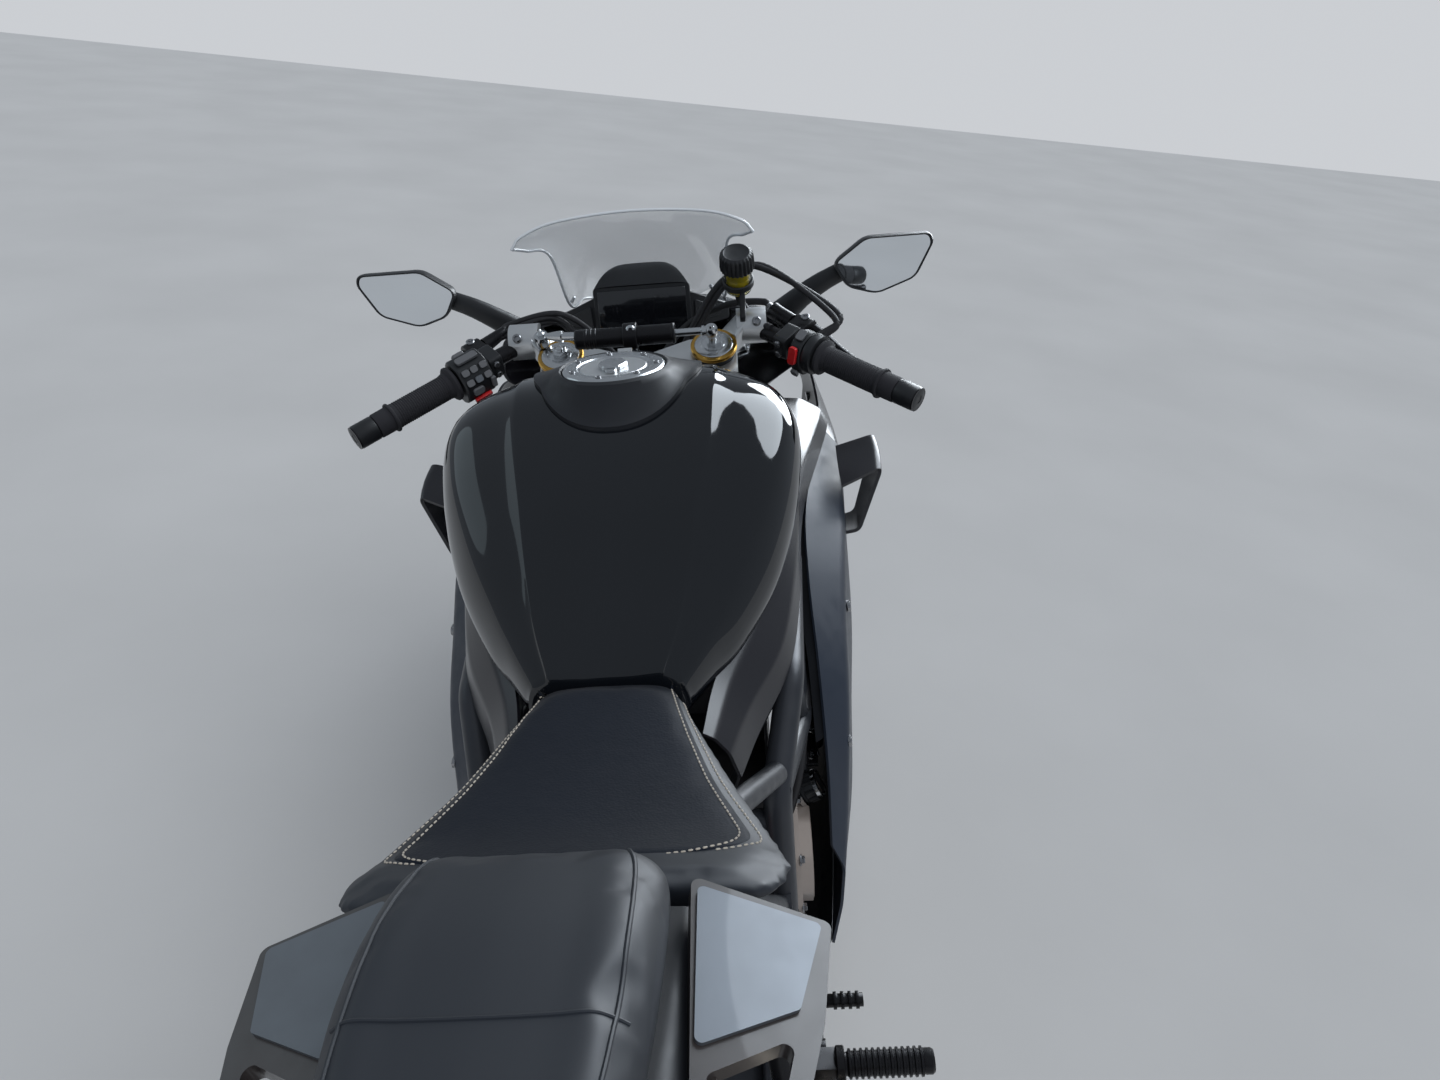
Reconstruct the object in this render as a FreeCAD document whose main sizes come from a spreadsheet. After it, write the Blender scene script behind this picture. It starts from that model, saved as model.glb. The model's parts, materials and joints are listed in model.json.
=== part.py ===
import FreeCAD
import Part
import Sketcher
import math
import os
from FreeCAD import Matrix, Placement, Rotation, Vector

# Sport motorcycle with two wheels in line, leaning left on its side stand.
# Every piece is drawn on the upright machine: X forward from the rear axle,
# Y to the left, Z up from the ground, millimetres. One lean placement then
# sets the whole machine down on its stand.

os.makedirs("parts", exist_ok=True)
doc = FreeCAD.newDocument("sport_bike")
sheet = doc.addObject("Spreadsheet::Sheet", "sizes")

SIZES = [
    ("wheelbase", 1410, "rear axle to front axle"),
    ("rake", 24.5, "steering axis from upright, degrees"),
    ("fork_offset", 35.2, "fork legs ahead of the steering axis"),
    ("lean", 9.8, "lean to the left on the side stand, degrees"),
    ("front_radius", 300, "front tyre crown"),
    ("front_width", 120, "front tyre"),
    ("rear_radius", 315, "rear tyre crown"),
    ("rear_width", 180, "rear tyre"),
    ("bead_radius", 222, "rim seat of both tyres"),
    ("flange_height", 7, "rim flange over its seat"),
    ("flange_wall", 6, "rim flange"),
    ("rim_wall", 6, "rim barrel"),
    ("front_rim_half", 50, "half width of the front rim seat"),
    ("rear_rim_half", 76, "half width of the rear rim seat"),
    ("web_half", 10, "half thickness of the spokes"),
    ("hub_radius", 32, "wheel hubs"),
    ("front_hub_half", 42, "half length of the front hub"),
    ("rear_hub_half", 62, "half length of the rear hub"),
    ("axle_radius", 12.5, "both wheel axles"),
    ("axle_bore", 8.5, "radius of the hollow in both axles"),
    ("bearing_gap", 0.4, "wheel hub round its axle"),
    ("seat_gap", 0.3, "between pieces that seat on each other"),
    ("disc_radius", 150, "front brake discs"),
    ("disc_inner", 112, "inside of the front disc rings"),
    ("disc_plane", 68, "middle of each front disc from the centre"),
    ("disc_half", 2.3, "half thickness of the brake discs"),
    ("pad_gap", 1.5, "disc to its caliper"),
    ("rear_disc_radius", 120, "rear brake disc"),
    ("rear_disc_inner", 84, "inside of the rear disc ring"),
    ("rear_disc_plane", 100, "rear disc, to the right"),
    ("sprocket_radius", 99, "rear sprocket over its teeth"),
    ("sprocket_teeth", 41, "rear sprocket"),
    ("sprocket_half", 3, "half thickness of the rear sprocket"),
    ("chain_plane", 105, "chain run, to the left"),
    ("chain_gap", 9, "between the side plates of the chain"),
    ("chain_plate", 2.6, "side plates of the chain"),
    ("chain_height", 13, "side plates of the chain"),
    ("chain_radius", 97, "chain round the rear sprocket"),
    ("drive_radius", 37, "chain round the drive sprocket"),
    ("fork_spread", 103, "fork legs from the centre"),
    ("tube_radius", 27, "outer fork tubes"),
    ("leg_radius", 21.5, "inner fork legs"),
    ("tube_bottom", 640, "lower end of the outer fork tubes along the axis"),
    ("clamp_height", 996, "middle of the top clamp along the axis"),
    ("clamp_thickness", 24, "top clamp"),
    ("fork_rise", 22, "fork tubes above the middle of the top clamp"),
    ("yoke_height", 790, "middle of the lower clamp along the axis"),
    ("yoke_thickness", 34, "lower clamp"),
    ("stem_radius", 15, "steering stem"),
    ("stem_gap", 0.5, "stem in the head tube"),
    ("head_radius", 31, "head tube"),
    ("head_clearance", 6, "head tube to the clamps"),
    ("bar_radius", 11, "handlebar tubes"),
    ("grip_radius", 16.5, "grips"),
    ("bar_end_x", -89.5, "handlebar end behind the steering axis"),
    ("bar_end_y", 342, "handlebar end from the centre"),
    ("bar_end_rise", 35, "handlebar end above the middle of the top clamp"),
    ("bar_clamp_x", 76.8, "handlebar clamp ahead of the steering axis"),
    ("bar_clamp_y", 155, "handlebar clamp from the centre"),
    ("bar_clamp_rise", 19, "handlebar clamp above the middle of the top clamp"),
    ("grip_length", 118, "grips"),
    ("pivot_x", 570, "swingarm pivot ahead of the rear axle"),
    ("pivot_z", 400, "swingarm pivot above the ground"),
    ("arm_half", 132, "swingarm arms from the centre at the axle"),
    ("arm_wall", 26, "swingarm arms across"),
    ("arm_height", 56, "swingarm arms at their middle"),
    ("rail_radius", 15, "frame tubes"),
    ("engine_half", 150, "half width of the crankcase"),
    ("head_half", 158, "half width of the cylinder head"),
    ("panel", 4, "fairing panels"),
    ("screen_wall", 3, "windscreen"),
    ("cap_x", 884, "fuel lid ahead of the rear axle"),
    ("cap_z", 1003, "fuel lid above the ground"),
    ("cap_radius", 57, "fuel lid"),
    ("cap_tilt", -3, "fuel lid, nose down, degrees"),
    ("stand_x", 612, "side stand pivot ahead of the rear axle"),
    ("stand_y", 132, "side stand pivot from the centre"),
    ("stand_z", 214, "side stand pivot above the ground"),
    ("stand_foot_x", 668, "side stand foot ahead of the rear axle"),
    ("stand_foot_y", 246, "side stand foot from the centre"),
    ("stand_radius", 11, "side stand leg"),
    ("foot_radius", 24, "side stand foot"),
    ("peg_x", 457, "rider footrest"),
    ("peg_z", 400, "rider footrest"),
    ("peg_length", 92, "rider footrest"),
    ("can_radius", 52, "silencer"),
    ("pipe_radius", 18.5, "exhaust headers"),
]

for row, (name, number, note) in enumerate(SIZES, start=1):
    sheet.set("A%d" % row, name)
    sheet.set("B%d" % row, str(number))
    sheet.set("C%d" % row, note)
    sheet.setAlias("B%d" % row, name)
doc.recompute()


def size(name):
    """Value of one named size."""
    return float(sheet.get(name))


LEAN = math.radians(size("lean"))
RAKE = math.radians(size("rake"))
STEER_X = (size("wheelbase") + size("front_radius") * math.tan(RAKE)
           - size("fork_offset") / math.cos(RAKE))
STEERING = Placement(Vector(STEER_X, 0, 0), Rotation(Vector(0, 1, 0), -size("rake")))
AXLE_X = size("wheelbase")
CLAMP_TOP = size("clamp_height") + size("clamp_thickness") / 2
FORK_TOP = size("clamp_height") + size("fork_rise")
BAR_CLAMP_Z = size("clamp_height") + size("bar_clamp_rise")
BAR_END_Z = size("clamp_height") + size("bar_end_rise")
HEAD_LOW = size("yoke_height") + size("yoke_thickness") / 2 + size("head_clearance")
HEAD_HIGH = size("clamp_height") - size("clamp_thickness") / 2 - size("head_clearance")
DRAWN_AXLE = 1410.0
TANK_STATION = 900.0
FRONT_STATION = 1150.0
AXLE_Z = size("front_radius")
REAR_Z = size("rear_radius")
GAP = size("seat_gap")
NODES = {}


def station(x):
    """Place of a drawn station: fixed up to the tank, carried with the front axle from the nose on."""
    share = (x - TANK_STATION) / (FRONT_STATION - TANK_STATION)
    return x + (AXLE_X - DRAWN_AXLE) * min(1.0, max(0.0, share))


AHEAD = Vector(station(DRAWN_AXLE) - DRAWN_AXLE, 0, 0)


def node(label, made, placement=None):
    """Names one sub-part; its placement on the upright machine is kept for the lean."""
    made.Label = label
    NODES[label] = (made, placement or Placement())
    return made


def feature(label, solids, placement=None):
    """One sub-part made of solids that stand apart or are already joined."""
    made = doc.addObject("Part::Feature", label)
    found = [s for shape in solids for s in shape.Solids]
    made.Shape = found[0] if len(found) == 1 else Part.makeCompound(found)
    return node(label, made, placement)


def rounded(points, radii):
    """Closed wire through the points, each corner rounded to its radius."""
    edges = []
    count = len(points)
    cuts = []
    for i in range(count):
        here, before, after = points[i], points[i - 1], points[(i + 1) % count]
        a, b = before.sub(here), after.sub(here)
        turn = math.pi - a.getAngle(b)
        if radii[i] <= 0 or turn < 1e-3:
            cuts.append((here, None, here))
            continue
        reach = min(radii[i] * math.tan(turn / 2), 0.45 * a.Length, 0.45 * b.Length)
        radius = reach / math.tan(turn / 2)
        first = here.add(Vector(a).normalize().multiply(reach))
        last = here.add(Vector(b).normalize().multiply(reach))
        inward = Vector(a).normalize().add(Vector(b).normalize()).normalize()
        centre = here.add(inward.multiply(radius / math.cos(turn / 2)))
        middle = centre.add(here.sub(centre).normalize().multiply(radius))
        cuts.append((first, middle, last))
    for i in range(count):
        first, middle, last = cuts[i]
        if middle is not None:
            edges.append(Part.Arc(first, middle, last).toShape())
        following = cuts[(i + 1) % count][0]
        if last.distanceToPoint(following) > 1e-6:
            edges.append(Part.LineSegment(last, following).toShape())
    return Part.Wire(edges)


def mirrored(shape):
    """The same shape on the other side of the machine."""
    return shape.mirror(Vector(0, 0, 0), Vector(0, 1, 0))


def both(shape):
    """A left and a right one."""
    return [shape, mirrored(shape)]


def across(points, radius, y_from, y_to):
    """Prism of an (x, z) outline with rounded corners, from one y to another."""
    wire = rounded([Vector(x, y_from, z) for x, z in points], [radius] * len(points))
    return Part.Face(wire).extrude(Vector(0, y_to - y_from, 0))


def flat(points, radius, z_from, z_to):
    """Prism of an (x, y) outline with rounded corners, from one z to another."""
    wire = rounded([Vector(x, y, z_from) for x, y in points], [radius] * len(points))
    return Part.Face(wire).extrude(Vector(0, 0, z_to - z_from))


def rod(start, end, radius):
    """Round bar between two points."""
    run = end.sub(start)
    return Part.makeCylinder(radius, run.Length, start, run)


def cone(start, end, radius_start, radius_end):
    """Tapered round bar between two points."""
    run = end.sub(start)
    return Part.makeCone(radius_start, radius_end, run.Length, start, run)


def bent(points, radius, bend):
    """Round bar along straight runs joined by tangent bends."""
    edges = []
    last = points[0]
    for i in range(1, len(points) - 1):
        here = points[i]
        a, b = points[i - 1].sub(here), points[i + 1].sub(here)
        turn = math.pi - a.getAngle(b)
        reach = min(bend * math.tan(turn / 2), 0.45 * a.Length, 0.45 * b.Length)
        across_bend = reach / math.tan(turn / 2)
        first = here.add(Vector(a).normalize().multiply(reach))
        after = here.add(Vector(b).normalize().multiply(reach))
        inward = Vector(a).normalize().add(Vector(b).normalize()).normalize()
        centre = here.add(inward.multiply(across_bend / math.cos(turn / 2)))
        middle = centre.add(here.sub(centre).normalize().multiply(across_bend))
        edges.append(Part.LineSegment(last, first).toShape())
        edges.append(Part.Arc(first, middle, after).toShape())
        last = after
    edges.append(Part.LineSegment(last, points[-1]).toShape())
    path = Part.Wire(edges)
    start = points[1].sub(points[0])
    ring = Part.Wire(Part.Circle(points[0], start, radius).toShape())
    return path.makePipeShell([ring], True, False)


def fuse(shapes):
    """One solid of several that overlap."""
    whole = shapes[0].multiFuse(shapes[1:])
    return whole.removeSplitter()


def skin(x, points, radius, wall):
    """Thin closed section of a panel in the plane at x, its outside through the points."""
    inner = []
    count = len(points)
    for i in range(count):
        before = points[max(i - 1, 0)]
        after = points[min(i + 1, count - 1)]
        dy, dz = after[0] - before[0], after[1] - before[1]
        run = math.hypot(dy, dz)
        inner.append((points[i][0] + wall * dz / run, points[i][1] - wall * dy / run))
    corners = [Vector(x, y, z) for y, z in list(points) + inner[::-1]]
    middle = [radius] * (count - 2)
    return rounded(corners, [0] + middle + [0, 0] + middle + [0])


def hull(x, points, radii):
    """Closed symmetric section at x; the points run up the left side from the bottom."""
    left = [Vector(x, y, z) for y, z in points]
    right = [Vector(x, -y, z) for y, z in points if y > 0]
    return rounded(left + right[::-1], list(radii) + [r for (y, z), r in zip(points, radii) if y > 0][::-1])


def loft(sections, ruled=False):
    """Solid through closed sections."""
    return Part.makeLoft(sections, True, ruled)


def stop_short(start, end, radius, carried, back):
    """Round bar from its start towards the pieces it carries, ended a little back from them."""
    bar = rod(start, end, radius).cut([shape.translated(back) for shape in carried])
    return min(bar.Solids, key=lambda s: s.distToShape(Part.Vertex(start))[0])


def expression(text):
    """Value of an expression in the named sizes."""
    found = sheet.evalExpression(text)
    return float(getattr(found, "Value", found))


def origin_plane(body, role):
    """One of the body's own origin planes."""
    return [f for f in body.Origin.OriginFeatures if f.Role == role][0]


def outline(body, role, name, corners):
    """Sketch of straight sides whose corners follow expressions in the sheet."""
    sketch = body.newObject("Sketcher::SketchObject", name)
    sketch.AttachmentSupport = [(origin_plane(body, role), "")]
    sketch.MapMode = "FlatFace"
    places = [Vector(expression(a), expression(b), 0) for a, b in corners]
    count = len(places)
    for i in range(count):
        sketch.addGeometry(Part.LineSegment(places[i], places[(i + 1) % count]), False)
    for i in range(count):
        sketch.addConstraint(Sketcher.Constraint("Coincident", i, 2, (i + 1) % count, 1))
    for i, pair in enumerate(corners):
        for kind, text in zip(("DistanceX", "DistanceY"), pair):
            number = expression(text)
            if abs(number) < 1e-9:
                axis = -2 if kind == "DistanceX" else -1
                sketch.addConstraint(Sketcher.Constraint("PointOnObject", i, 1, axis))
                continue
            index = sketch.addConstraint(Sketcher.Constraint(kind, -1, 1, i, 1, number))
            label = "%s_%d" % (kind, i)
            sketch.renameConstraint(index, label)
            sketch.setExpression("Constraints." + label, text)
    return sketch


def spin(body, sketch, name):
    """Revolves an outline round the wheel axle, the sketch's own X axis."""
    turned = body.newObject("PartDesign::Revolution", name)
    turned.Profile = sketch
    turned.ReferenceAxis = (sketch, ["H_Axis"])
    turned.Angle = 360
    sketch.Visibility = False
    return turned


def windows(body, sketch, name, count, half):
    """Cuts an outline through the wheel both ways and repeats it round the axle."""
    cut = body.newObject("PartDesign::Pocket", name)
    cut.Profile = sketch
    cut.Type = "Length"
    cut.Midplane = True
    cut.setExpression("Length", half)
    doc.recompute()
    ring = body.newObject("PartDesign::PolarPattern", name + "_ring")
    ring.Originals = [cut]
    ring.Axis = (sketch, ["N_Axis"])
    ring.Angle = 360
    ring.Occurrences = count
    body.Tip = ring
    doc.recompute()
    return ring


def wheel(label, half, hub_half, count, place):
    """Cast wheel: barrel with flanges, hub, and a web cut into paired spokes."""
    body = doc.addObject("PartDesign::Body", label)
    h = "sizes." + half
    hub = "sizes." + hub_half
    seat = "sizes.bead_radius"
    wall = "sizes.rim_wall"
    rising = [
        (hub, "sizes.axle_radius + sizes.bearing_gap"),
        (hub, "sizes.hub_radius"),
        ("sizes.web_half + 4", "sizes.hub_radius + 6"),
        ("sizes.web_half", "sizes.hub_radius + 26"),
        ("sizes.web_half", seat + " - 27"),
        (h + " - 32", seat + " - 14 - " + wall),
        (h + " - 14", seat + " - 3 - " + wall),
        (h + " + sizes.flange_wall", seat + " - " + wall),
        (h + " + sizes.flange_wall", seat + " + sizes.flange_height"),
        (h + " + 0.3", seat + " + sizes.flange_height"),
        (h, seat),
        (h + " - 18", seat + " - 1"),
        (h + " - 34", seat + " - 14"),
    ]
    falling = [("-(" + a + ")", b) for a, b in rising[::-1]]
    profile = outline(body, "YZ_Plane", label + "_profile", rising + falling)
    spin(body, profile, label + "_turned")
    doc.recompute()
    inner = "sizes.hub_radius + 12"
    outer = seat + " - 30"
    wide = outline(body, "XZ_Plane", label + "_window", [
        ("(" + inner + ") * 0.9", "0 - 16"),
        ("(" + outer + ") * 0.92", "0 - 68"),
        (outer, "0 - 24"),
        (outer, "24"),
        ("(" + outer + ") * 0.92", "68"),
        ("(" + inner + ") * 0.9", "16"),
    ])
    windows(body, wide, label + "_windows", count, "4 * sizes.web_half")
    return node(label, body, place)


REAR_AXLE = Placement(Vector(0, 0, REAR_Z), Rotation())
FRONT_AXLE = Placement(Vector(AXLE_X, 0, AXLE_Z), Rotation())
wheel("front_rim", "front_rim_half", "front_hub_half", 5, FRONT_AXLE)
wheel("rear_rim", "rear_rim_half", "rear_hub_half", 5, REAR_AXLE)


def tyre(label, radius, width, rim_half, place):
    """Tyre: a round crown, short side walls and beads on the rim seat."""
    body = doc.addObject("PartDesign::Body", label)
    crown, half = "sizes." + radius, "sizes." + width + " / 2"
    bead = "sizes.bead_radius + sizes.seat_gap"
    share = [(0.0, 0.0), (0.27, 0.035), (0.53, 0.145), (0.76, 0.33), (0.93, 0.60), (1.0, 0.85)]
    rise = "(" + crown + " - " + bead + ")"
    shoulder = [("%g * %s" % (a, half), "%s - %g * %s * 0.62" % (crown, b, rise)) for a, b in share]
    side = shoulder[1:] + [
        ("0.97 * " + half, bead + " + 0.28 * " + rise),
        ("sizes." + rim_half + " - sizes.seat_gap", bead + " + sizes.flange_height + 1.5"),
        ("sizes." + rim_half + " - sizes.seat_gap", bead),
    ]
    other = [("-(" + a + ")", b) for a, b in side[::-1]]
    profile = outline(body, "YZ_Plane", label + "_profile", [shoulder[0]] + side + other)
    spin(body, profile, label + "_turned")
    return node(label, body, place)


tyre("front_tyre", "front_radius", "front_width", "front_rim_half", FRONT_AXLE)
tyre("rear_tyre", "rear_radius", "rear_width", "rear_rim_half", REAR_AXLE)


def ring_disc(radius, inner, plane, hub_half, outward):
    """Brake disc ring on a five-armed carrier that seats on the end of the hub."""
    half = size("disc_half")
    ring = Part.makeCylinder(radius, 2 * half, Vector(0, plane - half, 0), Vector(0, 1, 0))
    ring = ring.cut(Part.makeCylinder(inner, 4 * half, Vector(0, plane - 2 * half, 0), Vector(0, 1, 0)))
    seat = hub_half + GAP
    face = plane + outward * half
    bell = Part.makeCone(34, 44, abs(face - seat), Vector(0, seat, 0), Vector(0, outward, 0))
    arms = []
    for i in range(5):
        arm = Part.makeBox(inner + 8 - 30, 2 * half, 22, Vector(30, plane - half, -11))
        arms.append(arm.rotate(Vector(0, 0, 0), Vector(0, 1, 0), 72 * i))
    whole = ring.multiFuse([bell] + arms)
    bore = size("axle_radius") + size("bearing_gap")
    return whole.cut(Part.makeCylinder(bore, 400, Vector(0, -200, 0), Vector(0, 1, 0)))


front_disc = ring_disc(size("disc_radius"), size("disc_inner"), size("disc_plane"), size("front_hub_half"), 1)
feature("front_discs", both(front_disc), FRONT_AXLE)
rear_disc = ring_disc(size("rear_disc_radius"), size("rear_disc_inner"), size("rear_disc_plane"),
                      size("rear_hub_half"), 1)
feature("rear_disc", [mirrored(rear_disc)], REAR_AXLE)


def sprocket():
    """Rear sprocket with its teeth, five arms and a carrier on the left of the hub."""
    teeth = int(size("sprocket_teeth"))
    top = size("sprocket_radius")
    root = top - 7
    half = size("sprocket_half")
    plane = size("chain_plane")
    corners = []
    for i in range(teeth):
        for share, radius in ((0.0, root), (0.32, root), (0.52, top), (0.80, top)):
            angle = 2 * math.pi * (i + share) / teeth
            corners.append(Vector(radius * math.cos(angle), plane - half, radius * math.sin(angle)))
    wire = Part.makePolygon(corners + [corners[0]])
    plate = Part.Face(wire).extrude(Vector(0, 2 * half, 0))
    plate = plate.cut(Part.makeCylinder(root - 16, 4 * half, Vector(0, plane - 2 * half, 0), Vector(0, 1, 0)))
    arms = []
    for i in range(5):
        arm = Part.makeBox(root - 10 - 30, 2 * half, 24, Vector(30, plane - half, -12))
        arms.append(arm.rotate(Vector(0, 0, 0), Vector(0, 1, 0), 72 * i))
    seat = size("rear_hub_half") + GAP
    carrier = Part.makeCone(40, 46, plane + half - seat, Vector(0, seat, 0), Vector(0, 1, 0))
    whole = plate.multiFuse([carrier] + arms)
    bore = size("axle_radius") + size("bearing_gap")
    return whole.cut(Part.makeCylinder(bore, 400, Vector(0, -200, 0), Vector(0, 1, 0)))


feature("rear_sprocket", [sprocket()], REAR_AXLE)


def chain():
    """Drive chain: two rows of side plates round both sprockets, rollers on the straight runs."""
    drive = Vector(size("pivot_x") + 78, 0, size("pivot_z") - 8)
    rear = Vector(0, 0, REAR_Z)
    big, small = size("chain_radius"), size("drive_radius")
    run = drive.sub(rear)
    angle = math.atan2(run.z, run.x)
    swing = math.asin((big - small) / run.Length)
    up = angle + math.pi / 2 + swing * -1
    down = angle - math.pi / 2 + swing

    def loop(grow):
        """Closed path round both sprockets at a distance from the chain's middle."""
        def spot(centre, radius, at):
            return Vector(centre.x + radius * math.cos(at), 0, centre.z + radius * math.sin(at))
        a, b = spot(rear, big + grow, up), spot(drive, small + grow, up)
        c, d = spot(drive, small + grow, down), spot(rear, big + grow, down)
        nose = spot(drive, small + grow, angle)
        tail = spot(rear, big + grow, angle + math.pi)
        edges = [Part.LineSegment(a, b), Part.Arc(b, nose, c), Part.LineSegment(c, d), Part.Arc(d, tail, a)]
        return Part.Wire([e.toShape() for e in edges])

    half = size("chain_height") / 2
    band = Part.Face(loop(half)).cut(Part.Face(loop(-half)))
    plate = size("chain_plate")
    inner = size("chain_gap") / 2
    rows = []
    for start in (inner, -inner - plate):
        row = band.copy()
        row.translate(Vector(0, size("chain_plane") + start, 0))
        rows.append(row.Faces[0].extrude(Vector(0, plate, 0)))
    pins = []
    for at in (up, down):
        first = Vector(rear.x + big * math.cos(at), 0, rear.z + big * math.sin(at))
        last = Vector(drive.x + small * math.cos(at), 0, drive.z + small * math.sin(at))
        step = last.sub(first)
        for share in (0.2, 0.3, 0.4, 0.5, 0.6, 0.7, 0.8):
            spot = first.add(Vector(step).multiply(share))
            spot.y = size("chain_plane") - inner - plate / 2
            pins.append(Part.makeCylinder(4.4, 2 * inner + plate, spot, Vector(0, 1, 0)))
    return rows[0].multiFuse(rows[1:] + pins)


feature("drive_chain", [chain()])


# Steering, drawn along its own axis: Z up the axis, X ahead of it.

def upright(radius, low, high, x=None, y=None, inner=0):
    """Round column along the steering axis, hollow when it has an inner radius."""
    x = size("fork_offset") if x is None else x
    y = size("fork_spread") if y is None else y
    column = Part.makeCylinder(radius, high - low, Vector(x, y, low))
    if inner:
        column = column.cut(Part.makeCylinder(inner, high - low, Vector(x, y, low)))
    return column


OFFSET = size("fork_offset")
SPREAD = size("fork_spread")
STEM_NUT = 12.0
AXLE_ALONG = ((size("wheelbase") - STEER_X) * math.sin(RAKE) * -1 + AXLE_Z * math.cos(RAKE))

feature("fork_tubes", both(upright(size("tube_radius"), size("tube_bottom"), FORK_TOP)), STEERING)
feature("fork_legs", both(upright(size("leg_radius"), AXLE_ALONG + 70, size("tube_bottom") - GAP)), STEERING)


def caliper_block(grow):
    """Outer block of a front caliper with round edges, its near face square to the line from the axle."""
    block = Part.makeBox(68 + 2 * grow, 62 + 2 * grow, 116 + 2 * grow,
                         Vector(96 - grow, size("disc_plane") - 34 - grow, -58 - grow))
    return block.makeFillet(9 + grow, [e for e in block.Edges if abs(e.tangentAt(0).y) < 0.5])


def at_caliper(shape):
    """Moves a shape drawn round the axle to the caliper's place behind the fork leg."""
    made = shape.copy()
    made.rotate(Vector(0, 0, 0), Vector(0, 1, 0), 180 + 38)
    made.translate(Vector(OFFSET, 0, AXLE_ALONG))
    return made


def fork_foot():
    """Cast foot: axle clamp, socket for the leg and the two caliper lugs behind it."""
    across_half = 17
    clamp = Part.makeCylinder(27, 2 * across_half, Vector(OFFSET, SPREAD - across_half, AXLE_ALONG), Vector(0, 1, 0))
    socket = cone(Vector(OFFSET, SPREAD, AXLE_ALONG + 8), Vector(OFFSET, SPREAD, AXLE_ALONG + 70 - GAP), 22, 27)
    lug = across([(OFFSET, AXLE_ALONG - 8), (OFFSET, AXLE_ALONG + 48), (OFFSET - 50, AXLE_ALONG + 92),
                  (OFFSET - 66, AXLE_ALONG + 76), (OFFSET - 50, AXLE_ALONG + 8)], 6, SPREAD - 12, SPREAD + 4)
    whole = clamp.multiFuse([socket, lug])
    bore = size("axle_radius") + GAP
    axle = Part.makeCylinder(bore, 90, Vector(OFFSET, SPREAD - 45, AXLE_ALONG), Vector(0, 1, 0))
    return whole.cut([axle, at_caliper(caliper_block(GAP))])


feature("fork_feet", both(fork_foot()), STEERING)


def plain_axle(label, half, place):
    """Hollow axle between its clamps."""
    body = doc.addObject("PartDesign::Body", label)
    profile = outline(body, "YZ_Plane", label + "_profile", [
        ("0 - " + half, "sizes.axle_bore"),
        (half, "sizes.axle_bore"),
        (half, "sizes.axle_radius"),
        ("0 - " + half, "sizes.axle_radius"),
    ])
    spin(body, profile, label + "_turned")
    return node(label, body, place)


plain_axle("front_axle", "(sizes.fork_spread + 20)", FRONT_AXLE)
plain_axle("rear_axle", "(sizes.arm_half + sizes.arm_wall / 2 + 12)", REAR_AXLE)


def front_caliper():
    """Four-piston caliper over the disc, bolted to the lugs behind the foot."""
    plane = size("disc_plane")
    slot = size("disc_half") + size("pad_gap")
    block = caliper_block(0)
    block = block.cut(Part.makeBox(68, 2 * slot, 130, Vector(90, plane - slot, -65)))
    block = block.cut(Part.makeBox(40, 2 * slot + 24, 52, Vector(90, plane - slot - 12, -26)))
    return at_caliper(block)


feature("front_calipers", both(front_caliper()), STEERING)


def clamp_outline(grow):
    """Outline of a fork clamp seen along the axis: two bosses and a stem boss."""
    return [(OFFSET - 34, SPREAD + 30), (-6, SPREAD + 8), (-34, 22), (-34, -22), (-6, -SPREAD - 8),
            (OFFSET - 34, -SPREAD - 30), (OFFSET + 34 + grow, -SPREAD - 30), (OFFSET + 30 + grow, -SPREAD + 34),
            (OFFSET + 10, -20), (OFFSET + 10, 20), (OFFSET + 30 + grow, SPREAD - 34), (OFFSET + 34 + grow, SPREAD + 30)]


def top_clamp():
    """Cast top clamp: webbed plate with slots, and risers reaching out to the handlebars."""
    low = size("clamp_height") - size("clamp_thickness") / 2
    high = CLAMP_TOP
    plate = flat(clamp_outline(0), 12, low, high)
    arms = []
    for side in (1, -1):
        boss = Part.makeCylinder(24, 40, Vector(size("bar_clamp_x"), side * (size("bar_clamp_y") - 20), BAR_CLAMP_Z),
                                 Vector(0, side, 0))
        web = loft([
            rounded([Vector(OFFSET - 10, side * (SPREAD + 8), low), Vector(OFFSET + 44, side * (SPREAD + 8), low),
                     Vector(OFFSET + 44, side * (SPREAD + 8), high), Vector(OFFSET - 10, side * (SPREAD + 8), high)],
                    [5] * 4),
            rounded([Vector(size("bar_clamp_x") - 22, side * (SPREAD + 40), BAR_CLAMP_Z - 18),
                     Vector(size("bar_clamp_x") + 18, side * (SPREAD + 40), BAR_CLAMP_Z - 18),
                     Vector(size("bar_clamp_x") + 18, side * (SPREAD + 40), BAR_CLAMP_Z + 18),
                     Vector(size("bar_clamp_x") - 22, side * (SPREAD + 40), BAR_CLAMP_Z + 18)],
                    [5] * 4)], True)
        arms += [boss, web]
    whole = plate.multiFuse(arms)
    cuts = []
    for side in (1, -1):
        cuts.append(upright(size("tube_radius") + GAP, low - 30, high + 60, y=side * SPREAD))
        cuts.append(upright(size("tube_radius") + 5, FORK_TOP - 3, high + 60, y=side * SPREAD))
        cuts.append(flat([(8, side * 40), (4, side * 62), (28, side * 66), (30, side * 44)], 5, low - 5, high + 5))
        cuts.append(handlebar_bore(side))
    cuts.append(upright(size("stem_radius") + GAP, low - 5, high + 5, x=0, y=0))
    return whole.cut(cuts)


def bar_point(share, side):
    """Point along one handlebar, from its clamp (0) to its end (1)."""
    x = size("bar_clamp_x") + share * (size("bar_end_x") - size("bar_clamp_x"))
    y = size("bar_clamp_y") + share * (size("bar_end_y") - size("bar_clamp_y"))
    z = BAR_CLAMP_Z + share * (BAR_END_Z - BAR_CLAMP_Z)
    return Vector(x, side * y, z)


BAR_LENGTH = bar_point(1, 1).sub(bar_point(0, 1)).Length


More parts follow.
